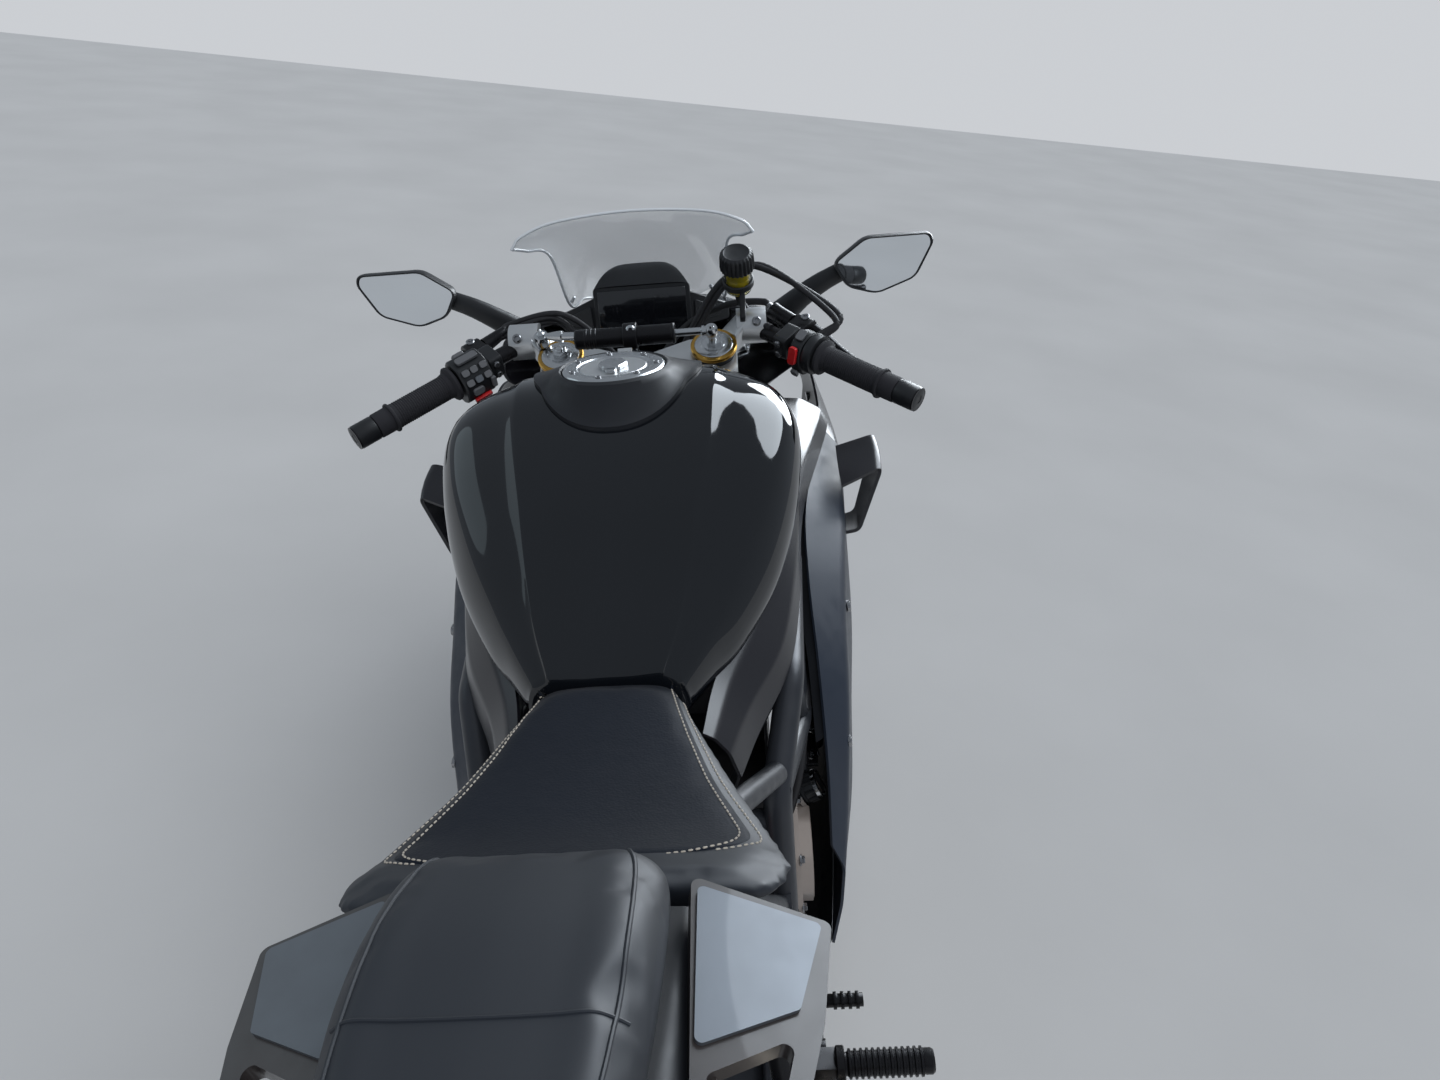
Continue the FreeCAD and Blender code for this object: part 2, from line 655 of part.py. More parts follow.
def along_bar(distance, side):
    """Point at a distance from the handlebar's clamp towards its end."""
    return bar_point(distance / BAR_LENGTH, side)


def handlebar_bore(side):
    """Bore of the handlebar clamp."""
    return rod(along_bar(-32, side), along_bar(40, side), size("bar_radius") + GAP)


feature("top_clamp", [top_clamp()], STEERING)


def lower_clamp():
    """Lower clamp with the steering stem pressed in it."""
    low = size("yoke_height") - size("yoke_thickness") / 2
    high = size("yoke_height") + size("yoke_thickness") / 2
    plate = flat(clamp_outline(2), 12, low, high)
    for side in (1, -1):
        plate = plate.cut(upright(size("tube_radius") + GAP, low - 5, high + 5, y=side * SPREAD))
    stem = upright(size("stem_radius"), low + 4, CLAMP_TOP + STEM_NUT, x=0, y=0)
    nut = upright(19, CLAMP_TOP + GAP, CLAMP_TOP + STEM_NUT, x=0, y=0)
    return plate.multiFuse([stem, nut])


feature("lower_clamp", [lower_clamp()], STEERING)


def fork_cap():
    """Fork cap with its ring and the hexagon adjuster on top."""
    top = FORK_TOP
    ring = upright(size("tube_radius") + 3.5, top + GAP, top + 5)
    cap = cone(Vector(OFFSET, SPREAD, top + 4), Vector(OFFSET, SPREAD, top + 11), 25, 22)
    knob = [Vector(OFFSET + 9 * math.cos(math.radians(60 * i)), SPREAD + 9 * math.sin(math.radians(60 * i)), top + 10)
            for i in range(6)]
    hexagon = Part.Face(Part.makePolygon(knob + [knob[0]])).extrude(Vector(0, 0, 5))
    return ring.multiFuse([cap, hexagon])


feature("fork_caps", both(fork_cap()), STEERING)


def handlebar(side):
    """Handlebar tube with its end weight."""
    tube = rod(along_bar(-28, side), along_bar(BAR_LENGTH - 8, side), size("bar_radius"))
    weight = rod(along_bar(BAR_LENGTH - 14 + GAP, side), along_bar(BAR_LENGTH + 16, side), size("grip_radius") - 1)
    return tube.fuse(weight)


feature("handlebars", [handlebar(1), handlebar(-1)], STEERING)


def grip(side):
    """Rubber grip with an inner flange and a ring near its end."""
    end = BAR_LENGTH - 14
    start = end - size("grip_length")
    sleeve = rod(along_bar(start, side), along_bar(end, side), size("grip_radius"))
    flange = rod(along_bar(start, side), along_bar(start + 6, side), size("grip_radius") + 7)
    ring = rod(along_bar(end - 26, side), along_bar(end - 22, side), size("grip_radius") + 3)
    bore = rod(along_bar(start - 4, side), along_bar(end + 4, side), size("bar_radius") + GAP)
    return sleeve.multiFuse([flange, ring]).cut(bore)


feature("grips", [grip(1), grip(-1)], STEERING)


def bar_frame(distance, side):
    """Local frame on the handlebar: X along it outward, Z up the steering axis."""
    along = bar_point(1, side).sub(bar_point(0, side)).normalize()
    fore = Vector(0, 0, 1).cross(along).multiply(-side).normalize()
    up = along.cross(fore).multiply(-side)
    spot = along_bar(distance, side)
    grid = Matrix(along.x, fore.x, up.x, spot.x, along.y, fore.y, up.y, spot.y, along.z, fore.z, up.z, spot.z, 0, 0, 0, 1)
    return grid


def on_bar(shape, distance, side):
    """Moves a shape drawn in the bar's own frame onto the bar."""
    made = shape.transformGeometry(bar_frame(distance, side))
    return made


def rounded_box(x0, x1, y0, y1, z0, z1, radius):
    """Block with rounded upright edges and plain ends."""
    wire = rounded([Vector(x0, y0, z0), Vector(x0, y1, z0), Vector(x0, y1, z1), Vector(x0, y0, z1)], [radius] * 4)
    return Part.Face(wire).extrude(Vector(x1 - x0, 0, 0))


def hand_controls():
    """Switch clusters, lever perches and the two hand levers."""
    start = BAR_LENGTH - 14 - size("grip_length")
    solids = []
    for side in (1, -1):
        bore = rod(along_bar(-40, side), along_bar(start + 10, side), size("bar_radius") + GAP)
        wide = 40 if side > 0 else 30
        switch = on_bar(rounded_box(start - wide - 3, start - 3, -22, 20, -30, 27, 7), 0, side)
        perch = on_bar(rounded_box(start - wide - 20, start - wide - 4, -17, 24, -17, 17, 6), 0, side)
        reach = on_bar(rounded_box(start - wide - 22, start - wide + 2, 18, 52, -9, 9, 4), 0, side)
        lever = fuse([
            on_bar(rounded_box(start - wide - 12, start - wide + 30, 40, 54, -6, 6, 3), 0, side),
            on_bar(rounded_box(start - wide + 26, start + size("grip_length") - 8, 43, 52, -5, 5, 3), 0, side),
        ])
        whole = switch.multiFuse([perch, reach, lever]).cut(bore)
        solids.append(whole)
    return solids


feature("hand_controls", hand_controls(), STEERING)


def reservoir():
    """Brake fluid reservoir: stepped cap on a clear cup, held by a small bracket."""
    x, y = size("bar_clamp_x") + 18.8, 14.0 - size("bar_clamp_y")
    low = BAR_CLAMP_Z + 47
    cup = cone(Vector(x, y, low), Vector(x, y, low + 36), 17, 19)
    cap = cone(Vector(x, y, low + 36), Vector(x, y, low + 60), 22, 20)
    foot = upright(8, low - 18, low + 1, x=x, y=y)
    arm = rod(Vector(x, y, low - 14), Vector(size("bar_clamp_x") + 3, -size("bar_clamp_y") + 6, BAR_CLAMP_Z + 28.85), 5)
    return fuse([cup, cap, foot, arm])


feature("brake_reservoir", [reservoir()], STEERING)


def damper():
    """Steering damper across the clamp: body, clamp ring, tapered rods and two eyes."""
    x, z = 31.0, CLAMP_TOP + 44
    body = rod(Vector(x, -55, z), Vector(x, 78, z), 13.5)
    collar = rod(Vector(x, -6, z), Vector(x, 10, z), 17)
    post = Part.makeBox(24, 14, 28, Vector(-9, -5, CLAMP_TOP + STEM_NUT + GAP))
    link = Part.makeBox(34, 14, 14, Vector(-9, -5, z - 22))
    left = cone(Vector(x, 76, z), Vector(x + 12, 128, z - 6), 6, 4.5)
    eye_left = rod(Vector(x + 12, 132, z - 14), Vector(x + 12, 132, z + 2), 9)
    right = cone(Vector(x, -53, z), Vector(x, -98, z - 1), 6, 4.5)
    eye_right = rod(Vector(x, -102, z - 8), Vector(x, -102, z + 6), 7)
    return fuse([body, collar, post, link, left, eye_left, right, eye_right])


feature("steering_damper", [damper()], STEERING)


def front_fender():
    """Front fender over the tyre with side skirts that reach the fork legs."""
    radius = size("front_radius") + 14
    half = size("front_width") / 2 + 9
    wall = 3
    outer = [Vector(0, y, z) for y, z in [(-half, radius - 52), (-half, radius - 20), (-half + 30, radius + 2),
                                          (0, radius + 9), (half - 30, radius + 2), (half, radius - 20),
                                          (half, radius - 52)]]
    inner = [Vector(0, y, z) for y, z in [(half - wall, radius - 52), (half - wall, radius - 21),
                                          (half - 31, radius - 1), (0, radius + 6), (-half + 31, radius - 1),
                                          (-half + wall, radius - 21), (-half + wall, radius - 52)]]
    wire = Part.makePolygon(outer + inner + [outer[0]])
    cover = Part.Face(wire).revolve(Vector(0, 0, 0), Vector(0, 1, 0), 112)
    cover.rotate(Vector(0, 0, 0), Vector(0, 1, 0), -62)
    stays = []
    for side in (1, -1):
        stay = across([(-100, 198), (-38, 198), (-62, 288), (-128, 288)], 8, side * (half - wall),
                      side * (SPREAD - size("leg_radius") - GAP))
        stays.append(stay)
    whole = cover.multiFuse(stays)
    whole.rotate(Vector(0, 0, 0), Vector(0, 1, 0), -6)
    return whole


feature("front_fender", [front_fender()], FRONT_AXLE)


# Side stand. Its leg lies along the first direction when it is down and along
# the second when it is folded; the hinge stands square to both.

def ground_level(x):
    """Height of the floor under the leaning tyres, measured along the lean."""
    lows = []
    for radius, width in (("rear_radius", "rear_width"), ("front_radius", "front_width")):
        rise = size(radius) - size("bead_radius") - GAP
        half = size(width) / 2
        places = [(0.27 * half, 0.035 * rise * 0.62), (0.53 * half, 0.145 * rise * 0.62)]
        lows.append(min(-y * math.sin(LEAN) + z * math.cos(LEAN) for y, z in places))
    share = x / size("wheelbase")
    return lows[0] + share * (lows[1] - lows[0])


STAND_PIVOT = Vector(size("stand_x"), size("stand_y"), size("stand_z"))
FLOOR_UP = Vector(0, -math.sin(LEAN), math.cos(LEAN))
foot_x, foot_y = size("stand_foot_x"), size("stand_foot_y")
STAND_FOOT = Vector(foot_x, foot_y, (ground_level(foot_x) + foot_y * math.sin(LEAN)) / math.cos(LEAN))
STAND_DOWN = Vector(STAND_FOOT.sub(STAND_PIVOT)).normalize()
STAND_FOLDED = Vector(-0.985, 0.10, 0.06).normalize()
STAND_AXIS = STAND_DOWN.cross(STAND_FOLDED).normalize()
STAND_SWING = math.degrees(STAND_DOWN.getAngle(STAND_FOLDED))


def stand_bracket():
    """Hinge bracket of the side stand under the frame: cheek, pin and its head."""
    def on_axis(distance):
        return STAND_PIVOT.add(Vector(STAND_AXIS).multiply(distance))

    cheek = rod(on_axis(-15), on_axis(-6.2), 19)
    pin = rod(on_axis(-15), on_axis(12), 6)
    head = rod(on_axis(6.2), on_axis(12), 11)
    lug = loft([rounded([Vector(580, 92, 316), Vector(606, 92, 316), Vector(606, 112, 316), Vector(580, 112, 316)], [4] * 4),
                rounded([Vector(598, 98, 212), Vector(622, 98, 212), Vector(622, 115, 212), Vector(598, 115, 212)],
                        [4] * 4)], True)
    return cheek.multiFuse([pin, head, lug])


# Fuel tank sections, rear to front: half widths and heights of the lower edge,
# the knee, the shoulder and the crest, then the height of the middle line.
TANK = [
    # x, low_y, low_z, knee_y, knee_z, shoulder_y, shoulder_z, crest_y, crest_z, top_z
    (576, 56, 752, 78, 776, 74, 802, 56, 816, 820),
    (640, 80, 745, 122, 785, 112, 832, 72, 858, 863),
    (720, 108, 745, 166, 815, 150, 882, 86, 916, 922),
    (800, 128, 750, 190, 850, 176, 928, 98, 960, 967),
    (870, 136, 760, 196, 880, 182, 956, 106, 984, 993),
    (940, 134, 785, 188, 885, 166, 950, 108, 974, 983),
    (1000, 116, 814, 160, 875, 136, 928, 92, 948, 956),
]


def tank_shape(grow):
    """Tank loft, grown outward at the top by a distance."""
    sections = []
    for x, low_y, low_z, knee_y, knee_z, shoulder_y, shoulder_z, crest_y, crest_z, top_z in TANK:
        points = [(0, low_z), (low_y, low_z), (knee_y + grow, knee_z), (shoulder_y + grow, shoulder_z + grow),
                  (crest_y, crest_z + grow), (0, top_z + grow)]
        sections.append(hull(x, points, [0, 16, 46, 40, 26, 300]))
    return loft(sections)


TANK_OUTER = tank_shape(0)
WELL = Placement(Vector(size("cap_x"), 0, size("cap_z")), Rotation(Vector(0, 1, 0), -size("cap_tilt")))


def placed(shape, placement):
    """Shape moved by a placement."""
    made = shape.copy()
    made.Placement = placement.multiply(made.Placement)
    return made


def knuckle_pocket():
    """Room for the lid's hinge knuckle at the front of the well."""
    return placed(Part.makeBox(15, 20, 16, Vector(size("cap_radius") - 5, -10, -4.5)), WELL)


def tank_trim():
    """Matte surround of the fuel lid: a wedge that follows the tank, open round the lid."""
    wedge = flat([(1004, 96), (1004, -96), (940, -113), (868, -80), (812, -40), (800, 0), (812, 40), (868, 80), (940, 113)],
                 14, 930, 1030)
    plate = tank_shape(4.5).common(wedge).cut(tank_shape(GAP))
    collar = placed(Part.makeCylinder(size("cap_radius") + 7, 34, Vector(0, 0, -34)), WELL)
    well = placed(Part.makeCylinder(size("cap_radius") + 1, 60, Vector(0, 0, -8 - GAP)), WELL)
    return plate.fuse(collar).cut([tank_shape(GAP), well, knuckle_pocket()])


def fuel_tank():
    """Fuel tank with a filler well under the lid."""
    well = placed(Part.makeCylinder(size("cap_radius") + 1, 60, Vector(0, 0, -18)), WELL)
    return TANK_OUTER.cut([well, knuckle_pocket()])


feature("fuel_tank", [fuel_tank()])
feature("tank_trim", [tank_trim()])


def fuel_lid():
    """Fuel lid: outer ring, raised middle and the hexagonal key flap."""
    radius = size("cap_radius")
    disc = Part.makeCylinder(radius, 7, Vector(0, 0, -8))
    ring = Part.makeCone(radius, radius - 3, 2.5, Vector(0, 0, -1))
    ring = ring.cut(Part.makeCylinder(radius - 17, 5, Vector(0, 0, -0.2)))
    middle = Part.makeCylinder(radius - 19, 2.2, Vector(0, 0, -1.2))
    corners = [Vector(20 * math.cos(math.radians(60 * i)) - 4, 15 * math.sin(math.radians(60 * i)), 0.8) for i in range(6)]
    flap = Part.Face(Part.makePolygon(corners + [corners[0]])).extrude(Vector(0, 0, 5))
    knuckle = Part.makeCylinder(3.5, 16, Vector(radius + 2, -8, 1), Vector(0, 1, 0))
    return disc.multiFuse([ring, middle, flap, knuckle])


feature("fuel_lid", [fuel_lid()], WELL)

# Gloss side covers between the tank and the frame, front to rear: outside points from the top.
COVER = [
    # x, (top), (shoulder), (bottom)
    (1136, (206, 850), (236, 817), (240, 802)),
    (1050, (198, 850), (224, 815), (230, 796)),
    (950, (186, 846), (206, 812), (209, 796)),
    (870, (184, 838), (196, 812), (197, 794)),
    (780, (173, 815), (186, 788), (187, 766)),
    (690, (143, 786), (164, 762), (168, 736)),
    (610, (110, 768), (129, 748), (132, 716)),
    (548, (94, 756), (111, 738), (116, 710)),
]

# Matte side blades, front to rear.
BLADE = [
    (1150, (243, 806), (272, 768), (274, 640), (262, 562)),
    (1080, (240, 792), (270, 750), (274, 610), (256, 500)),
    (980, (232, 765), (262, 722), (268, 570), (246, 430)),
    (880, (228, 725), (252, 678), (256, 520), (232, 350)),
    (790, (228, 660), (246, 615), (246, 460), (222, 290)),
    (720, (222, 560), (236, 510), (230, 400), (214, 280)),
    (680, (218, 470), (226, 430), (222, 370), (210, 300)),
]

# Gloss front side fairings, from the nose to the blades.
FAIRING = [
    (1390, (222, 826), (238, 785), (228, 700), (205, 640)),
    (1300, (238, 848), (256, 792), (252, 690), (236, 602)),
    (1210, (245, 826), (267, 780), (268, 665), (256, 574)),
    (1150.3, (243, 806), (272, 768), (274, 641), (262, 563)),
]


def panel_pair(rows, radius):
    """Left and right panels through rows of outside points."""
    sections = [skin(station(row[0]), row[1:], radius, size("panel")) for row in rows]
    return both(loft(sections))


COVERS = panel_pair(COVER, 10)
BLADES = panel_pair(BLADE, 12)
feature("tank_covers", COVERS)
feature("side_blades", BLADES)
feature("side_fairings", panel_pair(FAIRING, 14))

BELLY = [
    (1070, (253, 488), (226, 340), (120, 222), (0, 212)),
    (980, (244, 424), (226, 290), (130, 165), (0, 152)),
    (880, (231, 345), (212, 240), (130, 140), (0, 128)),
    (790, (221, 286), (200, 205), (125, 135), (0, 125)),
    (712, (212, 277), (190, 205), (120, 145), (0, 135)),
]


def belly_pan():
    """Belly pan: a trough under the engine and the exhaust, open above and behind."""
    sections = []
    for row in BELLY:
        left = list(row[1:])
        right = [(-y, z) for y, z in left[:-1]][::-1]
        sections.append(skin(row[0], left + right, 22, size("panel")))
    return loft(sections)


BELLY_SHELL = belly_pan()
feature("belly_pan", [BELLY_SHELL])

# Nose sections: half widths and heights from the bottom to the top line.
NOSE = [
    # x, bottom_z, floor_y, floor_z, side_y, side_z, shoulder_y, shoulder_z, deck_y, deck_z, top_z
    (1290, 796, 140, 800, 235, 860, 222, 925, 125, 948, 950),
    (1380, 748, 130, 752, 215, 835, 200, 905, 112, 940, 950),
    (1470, 735, 110, 740, 170, 815, 150, 880, 90, 915, 930),
    (1550, 750, 75, 755, 110, 805, 95, 850, 60, 880, 892),
    (1602, 780, 30, 783, 42, 805, 35, 830, 22, 845, 852),
]


def nose_shape(inset, first, last):
    """Nose loft, drawn in by a distance, between two of its sections."""
    sections = []
    for x, bottom_z, floor_y, floor_z, side_y, side_z, shoulder_y, shoulder_z, deck_y, deck_z, top_z in NOSE[first:last]:
        points = [(0, bottom_z + inset), (floor_y - inset, floor_z + inset), (side_y - inset, side_z),
                  (shoulder_y - inset, shoulder_z - 0.5 * inset), (deck_y - 0.5 * inset, deck_z - inset), (0, top_z - inset)]
        shift = -6 if inset and x == NOSE[first][0] else 0
        sections.append(hull(station(x) + shift, points, [0, 20, 26, 30, 40, 0]))
    return loft(sections)


NOSE_OUTER = nose_shape(0, 0, 5)
LAMP_LEFT = [(24, 786), (96, 800), (150, 832), (150, 812), (100, 772), (30, 762)]


def lamp_prism(grow):
    """Prisms of both headlight slits, reaching back from the front of the nose."""
    points = [Vector(station(1430), y, z) for y, z in LAMP_LEFT]
    face = Part.Face(rounded(points, [5] * len(points)))
    if grow:
        face = face.makeOffset2D(grow)
    return both(face.Faces[0].extrude(Vector(190, 0, 0)))


def nose_cowl():
    """Nose cowl: a shell open towards the rider, cut for the headlights and the air intake."""
    hollow = nose_shape(5, 0, 4)
    shell = NOSE_OUTER.cut(hollow)
    intake = across([(1560, 796), (1620, 796), (1620, 822), (1560, 822)], 4, -16, 16).translated(AHEAD)
    return shell.cut(lamp_prism(GAP) + [intake])


NOSE_SHELL = nose_cowl()
feature("nose_cowl", [NOSE_SHELL])


def headlights():
    """Two slim lamps set in the nose."""
    lamps = []
    for prism in lamp_prism(0):
        front = NOSE_OUTER.common(prism)
        hollow = nose_shape(16, 0, 4)
        lamps.append(front.cut(hollow))
    return lamps


feature("headlights", headlights())

SCREEN = [
    # x, half width, side height, middle height
    (1208, 165, 1071, 1110),
    (1240, 153, 1061, 1104),
    (1275, 128, 1045, 1096),
    (1335, 120, 956, 1074),
    (1400, 107, 947, 1034),
    (1470, 86, 926, 984),
    (1540, 60, 897, 928),
]


def windscreen():
    """Clear screen: arched sections from its rear edge down to its base on the nose."""
    sections = []
    for x, half, side, top in SCREEN:
        rise = top - side
        right = [(-half, side), (-0.9 * half, side + 0.42 * rise), (-0.6 * half, side + 0.82 * rise)]
        left = [(-y, z) for y, z in right[::-1]]
        sections.append(skin(station(x), right + [(0, top)] + left, 60, size("screen_wall")))
    screen = loft(sections).cut(NOSE_OUTER.translated(Vector(0, 0, GAP)))
    return max(screen.Solids, key=lambda s: s.Volume)


feature("windscreen", [windscreen()])


def dash():
    """Display with its housing, the hood above it and a wedge duct each side."""
    plate = across([(1240, 926), (1252, 996), (1258, 996), (1246, 926)], 1.5, -69, 69)
    case = across([(1248, 922), (1259, 990), (1278, 986), (1276, 926)], 4, -60, 60)
    hood = Part.makeLoft([
        Part.makePolygon([Vector(1250, -66, 992), Vector(1250, 66, 992), Vector(1290, 40, 1018), Vector(1290, -40, 1018),
                          Vector(1250, -66, 992)]),
        Part.makePolygon([Vector(1256, -66, 986), Vector(1256, 66, 986), Vector(1300, 40, 1012), Vector(1300, -40, 1012),
                          Vector(1256, -66, 986)])], True, True)
    ducts = []
    for side in (1, -1):
        low = Part.makePolygon([Vector(1244, side * 66, 930), Vector(1256, side * 66, 978), Vector(1276, side * 56, 950),
                                Vector(1244, side * 66, 930)])
        high = Part.makePolygon([Vector(1266, side * 124, 938), Vector(1270, side * 124, 956),
                                 Vector(1290 - GAP, side * 118, 946), Vector(1266, side * 124, 938)])
        ducts.append(Part.makeLoft([low, high], True, True))
    return plate.multiFuse([case, hood] + ducts).translated(AHEAD)


feature("dash_display", [dash()])

MIRROR = [(278, 996), (326, 1031), (421, 1031), (426, 1018), (401, 968), (343, 947), (299, 960)]


def mirror_wire(x, share):
    """Mirror outline at x, drawn towards its middle by a share."""
    y_mid = sum(y for y, z in MIRROR) / len(MIRROR)
    z_mid = sum(z for y, z in MIRROR) / len(MIRROR)
    points = [Vector(x, y_mid + (y - y_mid) * share, z_mid + (z - z_mid) * share) for y, z in MIRROR]
    return rounded(points, [6] * len(points))


def mirror_arms():
    """Mirror shells on arms from the nose."""
    shell = loft([mirror_wire(1296, 1.0), mirror_wire(1312, 0.98), mirror_wire(1330, 0.8), mirror_wire(1340, 0.5)])
    recess = Part.Face(mirror_wire(1290, 0.95)).extrude(Vector(8.5, 0, 0))
    arm = bent([Vector(1324, 205, 926), Vector(1318, 236, 950), Vector(1318, 288, 978), Vector(1318, 340, 988)], 11, 40)
    whole = shell.cut(recess).fuse(arm).translated(AHEAD)
    whole = whole.cut(NOSE_OUTER.translated(Vector(0, GAP, 0)))
    return both(whole)


feature("mirror_arms", mirror_arms())
feature("mirror_glasses", both(Part.Face(mirror_wire(1295.2, 0.94)).extrude(Vector(3, 0, 0)).translated(AHEAD)))


def winglets():
    """Small gloss wings outside the blades, each an arm out and a blade down."""
    top = [Vector(1120, 262, 790), Vector(1030, 262, 770), Vector(1030, 262, 762), Vector(1120, 262, 782)]
    tip = [Vector(1132, 322, 800), Vector(1058, 322, 782), Vector(1058, 322, 774), Vector(1132, 322, 792)]
    upper = Part.makeLoft([Part.makePolygon(top + [top[0]]), Part.makePolygon(tip + [tip[0]])], True, True)
    high = [Vector(1132, 318, 800), Vector(1058, 318, 782), Vector(1058, 324, 782), Vector(1132, 324, 800)]
    low = [Vector(1096, 284, 690), Vector(1044, 284, 684), Vector(1044, 289, 684), Vector(1096, 289, 690)]
    blade = Part.makeLoft([Part.makePolygon(high + [high[0]]), Part.makePolygon(low + [low[0]])], True, True)
    foot = Part.makeBox(52, 29, 8, Vector(1044, 260, 682))
    inside = loft([skin(station(row[0]), row[1:], 12, 40) for row in BLADE]).translated(Vector(0, GAP, 0))
    whole = upper.multiFuse([blade, foot]).cut(inside)
    return both(max(whole.Solids, key=lambda s: s.Volume))


feature("winglets", winglets())

# Seats and tail.
TAIL = [
    # x, low_y, low_z, side_y, side_z, top_y, top_z
    (282, 84, 772, 126, 812, 92, 846),
    (200, 78, 785, 120, 828, 88, 862),
    (100, 70, 803, 106, 848, 80, 876),
    (0, 62, 825, 90, 866, 70, 889),
    (-100, 52, 848, 74, 886, 58, 906),
    (-200, 38, 875, 52, 903, 40, 922),
    (-262, 24, 896, 32, 911, 22, 926),
]


def tail_shape(inset, count):
    """Tail loft drawn in by a distance, through its first sections."""
    sections = []
    for i, (x, low_y, low_z, side_y, side_z, top_y, top_z) in enumerate(TAIL[:count]):
        points = [(0, low_z + inset), (low_y - inset, low_z + inset), (side_y - inset, side_z),
                  (top_y - 0.6 * inset, top_z - inset), (0, top_z + 4 - inset)]
        shift = 6 if inset and i == 0 else 0
        sections.append(hull(x + shift, points, [0, 12, 22, 16, 0]))
    return loft(sections)


TAIL_OUTER = tail_shape(0, 7)


def tail_unit():
    """Tail cowl: a shell over the seat rails, open towards the rider seat."""
    lamp = across([(-300, 904), (-236, 904), (-236, 922), (-300, 922)], 3, -26, 26)
    return TAIL_OUTER.cut([tail_shape(4, 6), lamp])


TAIL_SHELL = tail_unit()
feature("tail_unit", [TAIL_SHELL])
feature("tail_light", [TAIL_OUTER.common(across([(-300, 904 + GAP), (-236 - GAP, 904 + GAP), (-236 - GAP, 922 - GAP),
                                                 (-300, 922 - GAP)], 3, GAP - 26, 26 - GAP))])

SEAT = [
    # x, low_y, low_z, side_y, side_z, top_y, top_z
    (575, 52, 766, 66, 784, 52, 803),
    (520, 74, 768, 94, 786, 76, 806),
    (450, 96, 772, 124, 786, 104, 807),
    (380, 116, 784, 152, 800, 132, 815),
    (330, 124, 806, 166, 818, 146, 834),
    (290, 118, 826, 154, 840, 132, 852),
]
PILLION = [
    (289, 64, 838, 72, 872, 52, 889),
    (262, 74, 845, 84, 888, 66, 912),
    (200, 80, 860, 88, 898, 70, 926),
    (120, 76, 872, 84, 906, 66, 931),
    (40, 66, 882, 74, 912, 56, 934),
    (-20, 54, 890, 60, 912, 42, 928),
]


def seat_shape(rows):
    """Cushion through its sections, crowned along the middle."""
    sections = []
    for x, low_y, low_z, side_y, side_z, top_y, top_z in rows:
        points = [(0, low_z), (low_y, low_z), (side_y, side_z), (top_y, top_z), (0, top_z + 3)]
        sections.append(hull(x, points, [0, 8, 14, 22, 0]))
    return loft(sections)


def seat_rail(side, grow):
    """One rail under the seats, from the main tubes to the tail."""
    return bent([Vector(600, side * 150, 660), Vector(480, side * 112, 735), Vector(300, side * 68, 800),
                 Vector(-40, side * 40, 866)], 12 + grow, 60)


feature("rider_seat", [seat_shape(SEAT).cut([TAIL_OUTER.translated(Vector(0, 0, GAP)), seat_rail(1, GAP),
                                             seat_rail(-1, GAP)])])
feature("pillion_seat", [seat_shape(PILLION).cut(TAIL_OUTER.translated(Vector(0, 0, GAP)))])

WING = [(287, 94), (262, 182), (194, 172), (120, 152), (92, 126), (62, 118), (62, 100)]
WING_GAP = [(158, 106), (184, 156), (128, 142), (108, 112)]
WING_FACE = [(278, 98), (258, 175), (199, 158), (171, 99)]


def slanted(shape):
    """Wing piece tipped down outward about its inner edge."""
    return shape.rotate(Vector(0, 94, 870), Vector(1, 0, 0), -13)


def tail_wings():
    """Wing frames each side of the passenger seat, on the shoulder of the tail."""
    frame = flat(WING, 6, 856, 868).cut(flat(WING_GAP, 5, 850, 875))
    frame = slanted(frame)
    root = Part.makeBox(190, 14, 30, Vector(80, 96, 828))
    whole = frame.fuse(root)
    whole = whole.cut([TAIL_OUTER.translated(Vector(0, 0, GAP)), TAIL_OUTER.translated(Vector(0, GAP, 0))])
    biggest = max(whole.Solids, key=lambda s: s.Volume)
    return both(biggest)


feature("tail_wings", tail_wings())
feature("wing_faces", both(slanted(flat(WING_FACE, 4, 868 + GAP, 871))))


def plate_hanger():
    """Plate hanger under the tail, with the plate and the rear signals."""
    arm = across([(-112, 836), (-215, 860), (-318, 716), (-318, 560), (-328, 560), (-330, 712), (-240, 895), (-118, 862)],
                 4, -28, 28)
    arm = arm.cut(TAIL_OUTER.translated(Vector(0, 0, -GAP)))
    plate = Part.makeBox(2, 180, 130, Vector(-330, -90, 562))
    stalk = rod(Vector(-312, -92, 726), Vector(-312, 92, 726), 6)
    lamps = []
    for side in (1, -1):
        lamps.append(cone(Vector(-312, side * 90, 726), Vector(-318, side * 132, 728), 15, 9))
    return fuse([max(arm.Solids, key=lambda s: s.Volume), plate, stalk] + lamps)


feature("plate_hanger", [plate_hanger()])


# Main frame, engine and swingarm.

def steer_point(x, y, z):
    """Point given in the steering's own frame, on the upright machine."""
    return STEERING.multVec(Vector(x, y, z))


